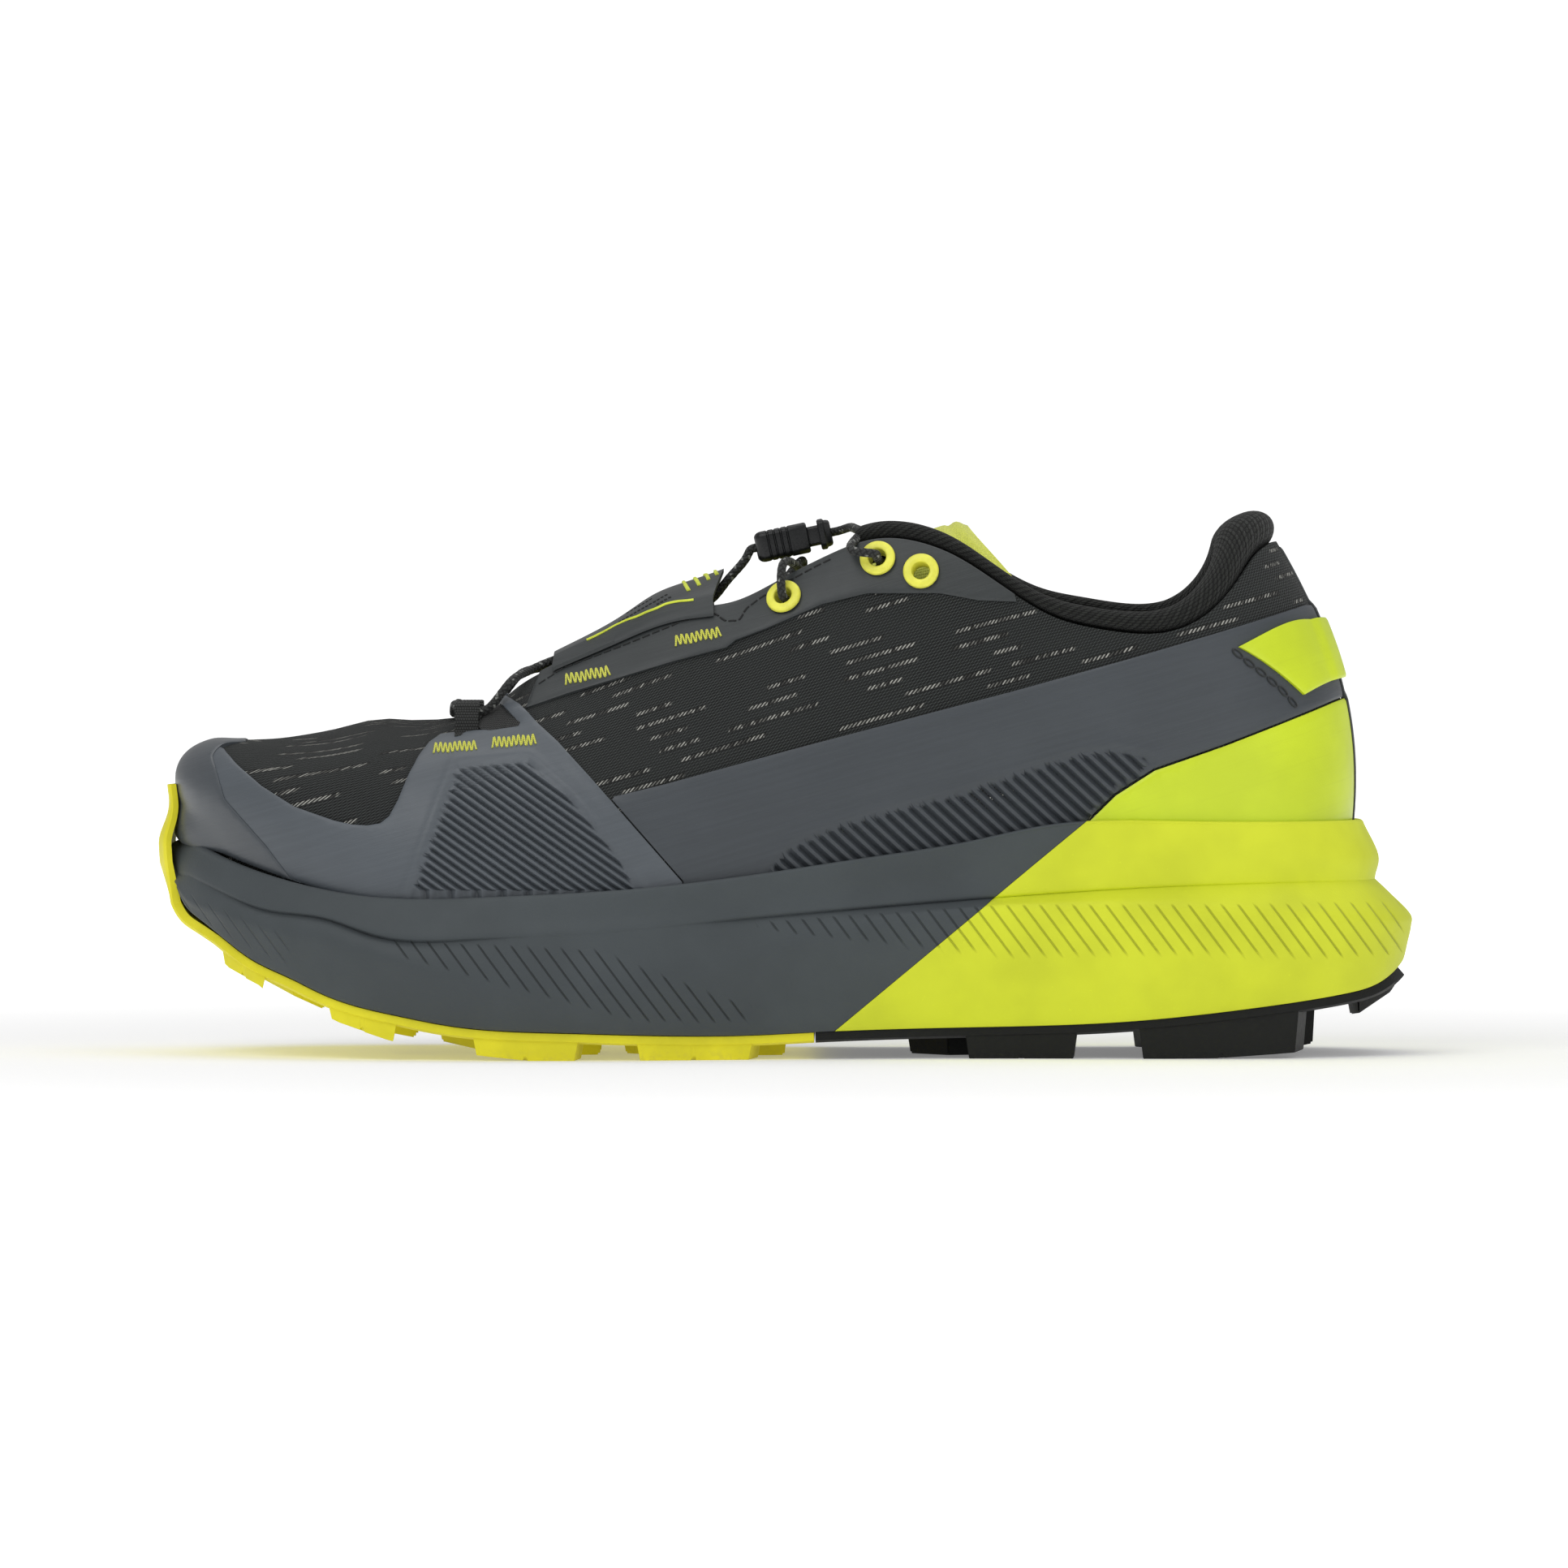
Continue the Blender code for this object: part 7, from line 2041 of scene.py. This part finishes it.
def build_lace():
    """The braided cord as one tube through the whole route."""
    other_over = [(x, y, z + 3.9 * math.exp(-(((y + 3) / 6.5) ** 2))) for x, y, z in mirror_y(LACE_OVER)]
    route = [*lace_half(-1), *LACE_OVER, *front_run(1), crossing(), *front_run(-1)[::-1],
             *other_over[::-1], *lace_half(1)[::-1]]

    def braid(length, angle):
        turn = 2 * np.pi * length / BRAID_PITCH
        left, right = np.sin(BRAID_STARTS * angle + turn), np.sin(BRAID_STARTS * angle - turn)
        return BRAID_RELIEF * (left * right - 0.6)

    verts, faces, maps = tube(smoothed(route, 0.4, LACE_SAMPLES), CORD_DIAMETER / 2, 24, braid)
    piece("lace_braided", verts, faces, LOOKS["cord"], "cord", ["lace"], maps=maps, fix_normals=False,
          sharp=60)


def ribbon(path, width_axis, width, thickness, repeat=0.8, relief=0.07):
    """A woven tape along a path: ribbed faces, flat edges. width_axis is the tape's width direction."""
    path = smoothed(path, 0.2)
    axis = np.array(width_axis, float)
    axis /= np.linalg.norm(axis)
    out = unit(np.cross(unit(np.gradient(path, axis=0)), axis))
    length = run_along(path)
    across = np.linspace(-0.5, 0.5, 15)
    grids = []
    for sign in (1, -1):
        rib = relief * np.sin(2 * np.pi * length[:, None] / repeat + np.pi * (np.arange(15) % 2)[None, :])
        edge = 0.5 * thickness * (1 - 0.5 * ease(np.abs(across), 0.42, 0.5))[None, :]
        grids.append(path[:, None] + axis * (across * width)[None, :, None]
                     + sign * out[:, None] * (edge + rib)[..., None])
    verts, faces = slab(*grids)
    u, v = np.meshgrid(length, across * width, indexing="ij")
    flat = np.stack([u, v], axis=-1).reshape(-1, 2)
    return verts, faces, np.concatenate([flat, flat])


def build_webbing():
    """The front tunnels: a folded tape round the cord whose ends are sewn flat to the knit."""
    for side, word in SIDES:
        centre = loop_centre(side)
        radius = (LOOP_RADII[0] + LOOP_RADII[1]) / 2
        arc = []
        for a in np.radians(np.linspace(-58, 238, 15)):
            arc.append(centre + np.array([0, -side * radius * math.cos(a), radius * math.sin(a)]))
        verts, faces, maps = ribbon(arc, (1.0, 0, 0), TUNNEL_WIDTH, LOOP_RADII[1] - LOOP_RADII[0])
        piece(f"lace_tunnel_{word}", verts, faces, LOOKS["webbing"], "cord", [f"lace_loop_{word}"], maps=maps)
        foot_s, foot_h = find_on_last(LOOP_XZ[0], LEG_FOOT_Z, side, offset=KNIT[1] + 0.5)
        base = shell(foot_s, foot_h, KNIT[1] + 0.5)
        top = arc[0] if (arc[0] - base)[2] < (arc[-1] - base)[2] else arc[-1]
        outer = centre + np.array([0, side * radius, 0])
        bend = outer * 0.55 + base * 0.45 + (0, side * 0.5, -0.2)
        leg = [outer + (0, 0, 0.4), bend, base, base + (base - top) * 0.3]
        verts, faces, maps = ribbon(leg, (1.0, 0, 0), LEG_WIDTH, LEG_THICKNESS)
        piece(f"tunnel_leg_{word}", verts, faces, LOOKS["webbing"], "cord", maps=maps)


def build_end_tab():
    """The soft-cornered tab in the pocket that joins the cord's two ends."""
    bm = bmesh.new()
    bmesh.ops.create_cube(bm, size=1.0)
    bmesh.ops.scale(bm, vec=END_TAB_SIZE, verts=bm.verts)
    bmesh.ops.bevel(bm, geom=bm.edges, offset=END_TAB_CORNER, segments=4, affect="EDGES")
    bmesh.ops.rotate(bm, matrix=Matrix.Rotation(END_TAB_TILT, 3, "Y"), verts=bm.verts)
    bmesh.ops.translate(bm, vec=END_TAB_CENTRE, verts=bm.verts)
    verts = [tuple(v.co) for v in bm.verts]
    faces = [[v.index for v in f.verts] for f in bm.faces]
    bm.free()
    piece("end_tab_moulded", verts, faces, LOOKS["lock"], "lock", ["lace_end_tab"])


def finish_plain_nodes():
    """Materials for the inner CAD parts that keep their own geometry."""
    for name, look in (("strobel_board", "board"), ("heel_counter_insert", "stiffener"),
                       ("toe_puff", "stiffener")):
        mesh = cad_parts[name].data
        mesh.materials.clear()
        mesh.materials.append(LOOKS[look])


# Stage, light and camera

CAMERA_DISTANCE, CAMERA_ELEVATION = 3.0, math.radians(1.0)
CAMERA_TARGET = Vector((0, 0, 0.0643))
VIEW_WIDTH = 0.37515
SENSOR = 36
WORLD_LIGHT, BACKDROP = 0.42, 1.1
NEAR_GLOW, FLOOR_GLOW = 0.2, 0.75  # the floor's own light by the shoe, and what is added far away
GLOW_REACH = (180, 900)
FLOOR_HALF_WIDTH = 4.0
LIGHTS = (  # name, place, target, width, height, watts
    ("key", (-0.6, -1.0, 1.2), (0, 0, 0.05), 0.9, 0.9, 6.5),
    ("fill", (0.9, -1.1, 0.6), (0, 0, 0.06), 1.2, 0.9, 2.2),
    ("top", (0.1, 0.15, 1.4), (0, 0, 0), 1.6, 0.9, 6.0),
)


def aimed(name, data, place, target):
    """A light or camera at a place that looks at a target."""
    obj = placed(name, data)
    obj.location = place
    obj.rotation_euler = (Vector(target) - Vector(place)).to_track_quat("-Z", "Y").to_euler()
    return obj


def build_stage():
    floor_mesh = bpy.data.meshes.new("studio_floor")
    r = FLOOR_HALF_WIDTH
    floor_mesh.from_pydata([(-r, -r, 0), (r, -r, 0), (r, r, 0), (-r, r, 0)], [], [(0, 1, 2, 3)])
    floor = placed("studio_floor", floor_mesh)
    look = Look("studio_paper", 0.9)
    grain = look.noise(2.0, 4.0)
    base = look.blend(grain.ease(0.3, 0.7), (0.90, 0.90, 0.90), (0.94, 0.94, 0.94))
    look.shader.inputs["Emission Color"].default_value = (1, 1, 1, 1)
    far = ((look.x * look.x + look.y * look.y) ** 0.5).ease(*GLOW_REACH)
    look.tree.links.new((far * FLOOR_GLOW + NEAR_GLOW).socket, look.shader.inputs["Emission Strength"])
    floor_mesh.materials.append(look.finish(base, grain, 0.02))

    world = bpy.data.worlds.new("studio")
    world.use_nodes = True
    background = world.node_tree.nodes["Background"]
    background.inputs["Color"].default_value = (1, 1, 1, 1)
    seen = Value(world.node_tree, world.node_tree.nodes.new("ShaderNodeLightPath").outputs["Is Camera Ray"])
    strength = seen * (BACKDROP - WORLD_LIGHT) + WORLD_LIGHT
    world.node_tree.links.new(strength.socket, background.inputs["Strength"])
    bpy.context.scene.world = world
    for name, place, target, width, tall, watts in LIGHTS:
        light = bpy.data.lights.new(name, "AREA")
        light.shape, light.size, light.size_y, light.energy = "RECTANGLE", width, tall, watts
        aimed(name, light, place, target)

    camera = bpy.data.cameras.new("camera")
    camera.sensor_width = SENSOR
    camera.lens = SENSOR * CAMERA_DISTANCE / VIEW_WIDTH
    away = Vector((0, -math.cos(CAMERA_ELEVATION), math.sin(CAMERA_ELEVATION)))
    bpy.context.scene.camera = aimed("camera", camera, CAMERA_TARGET + CAMERA_DISTANCE * away, CAMERA_TARGET)
    bpy.context.scene.view_settings.view_transform = "Standard"


for build in (
    build_midsole, build_outsole, build_insole, build_knit, build_films, build_webbing_windows, build_collar,
    build_tongue, build_throat_cover, build_pull_tab, build_tacks, build_stitch_lines, build_eyelets,
    build_cord_lock, build_spring, build_lace, build_webbing, build_end_tab, finish_plain_nodes, build_stage,
):
    build()
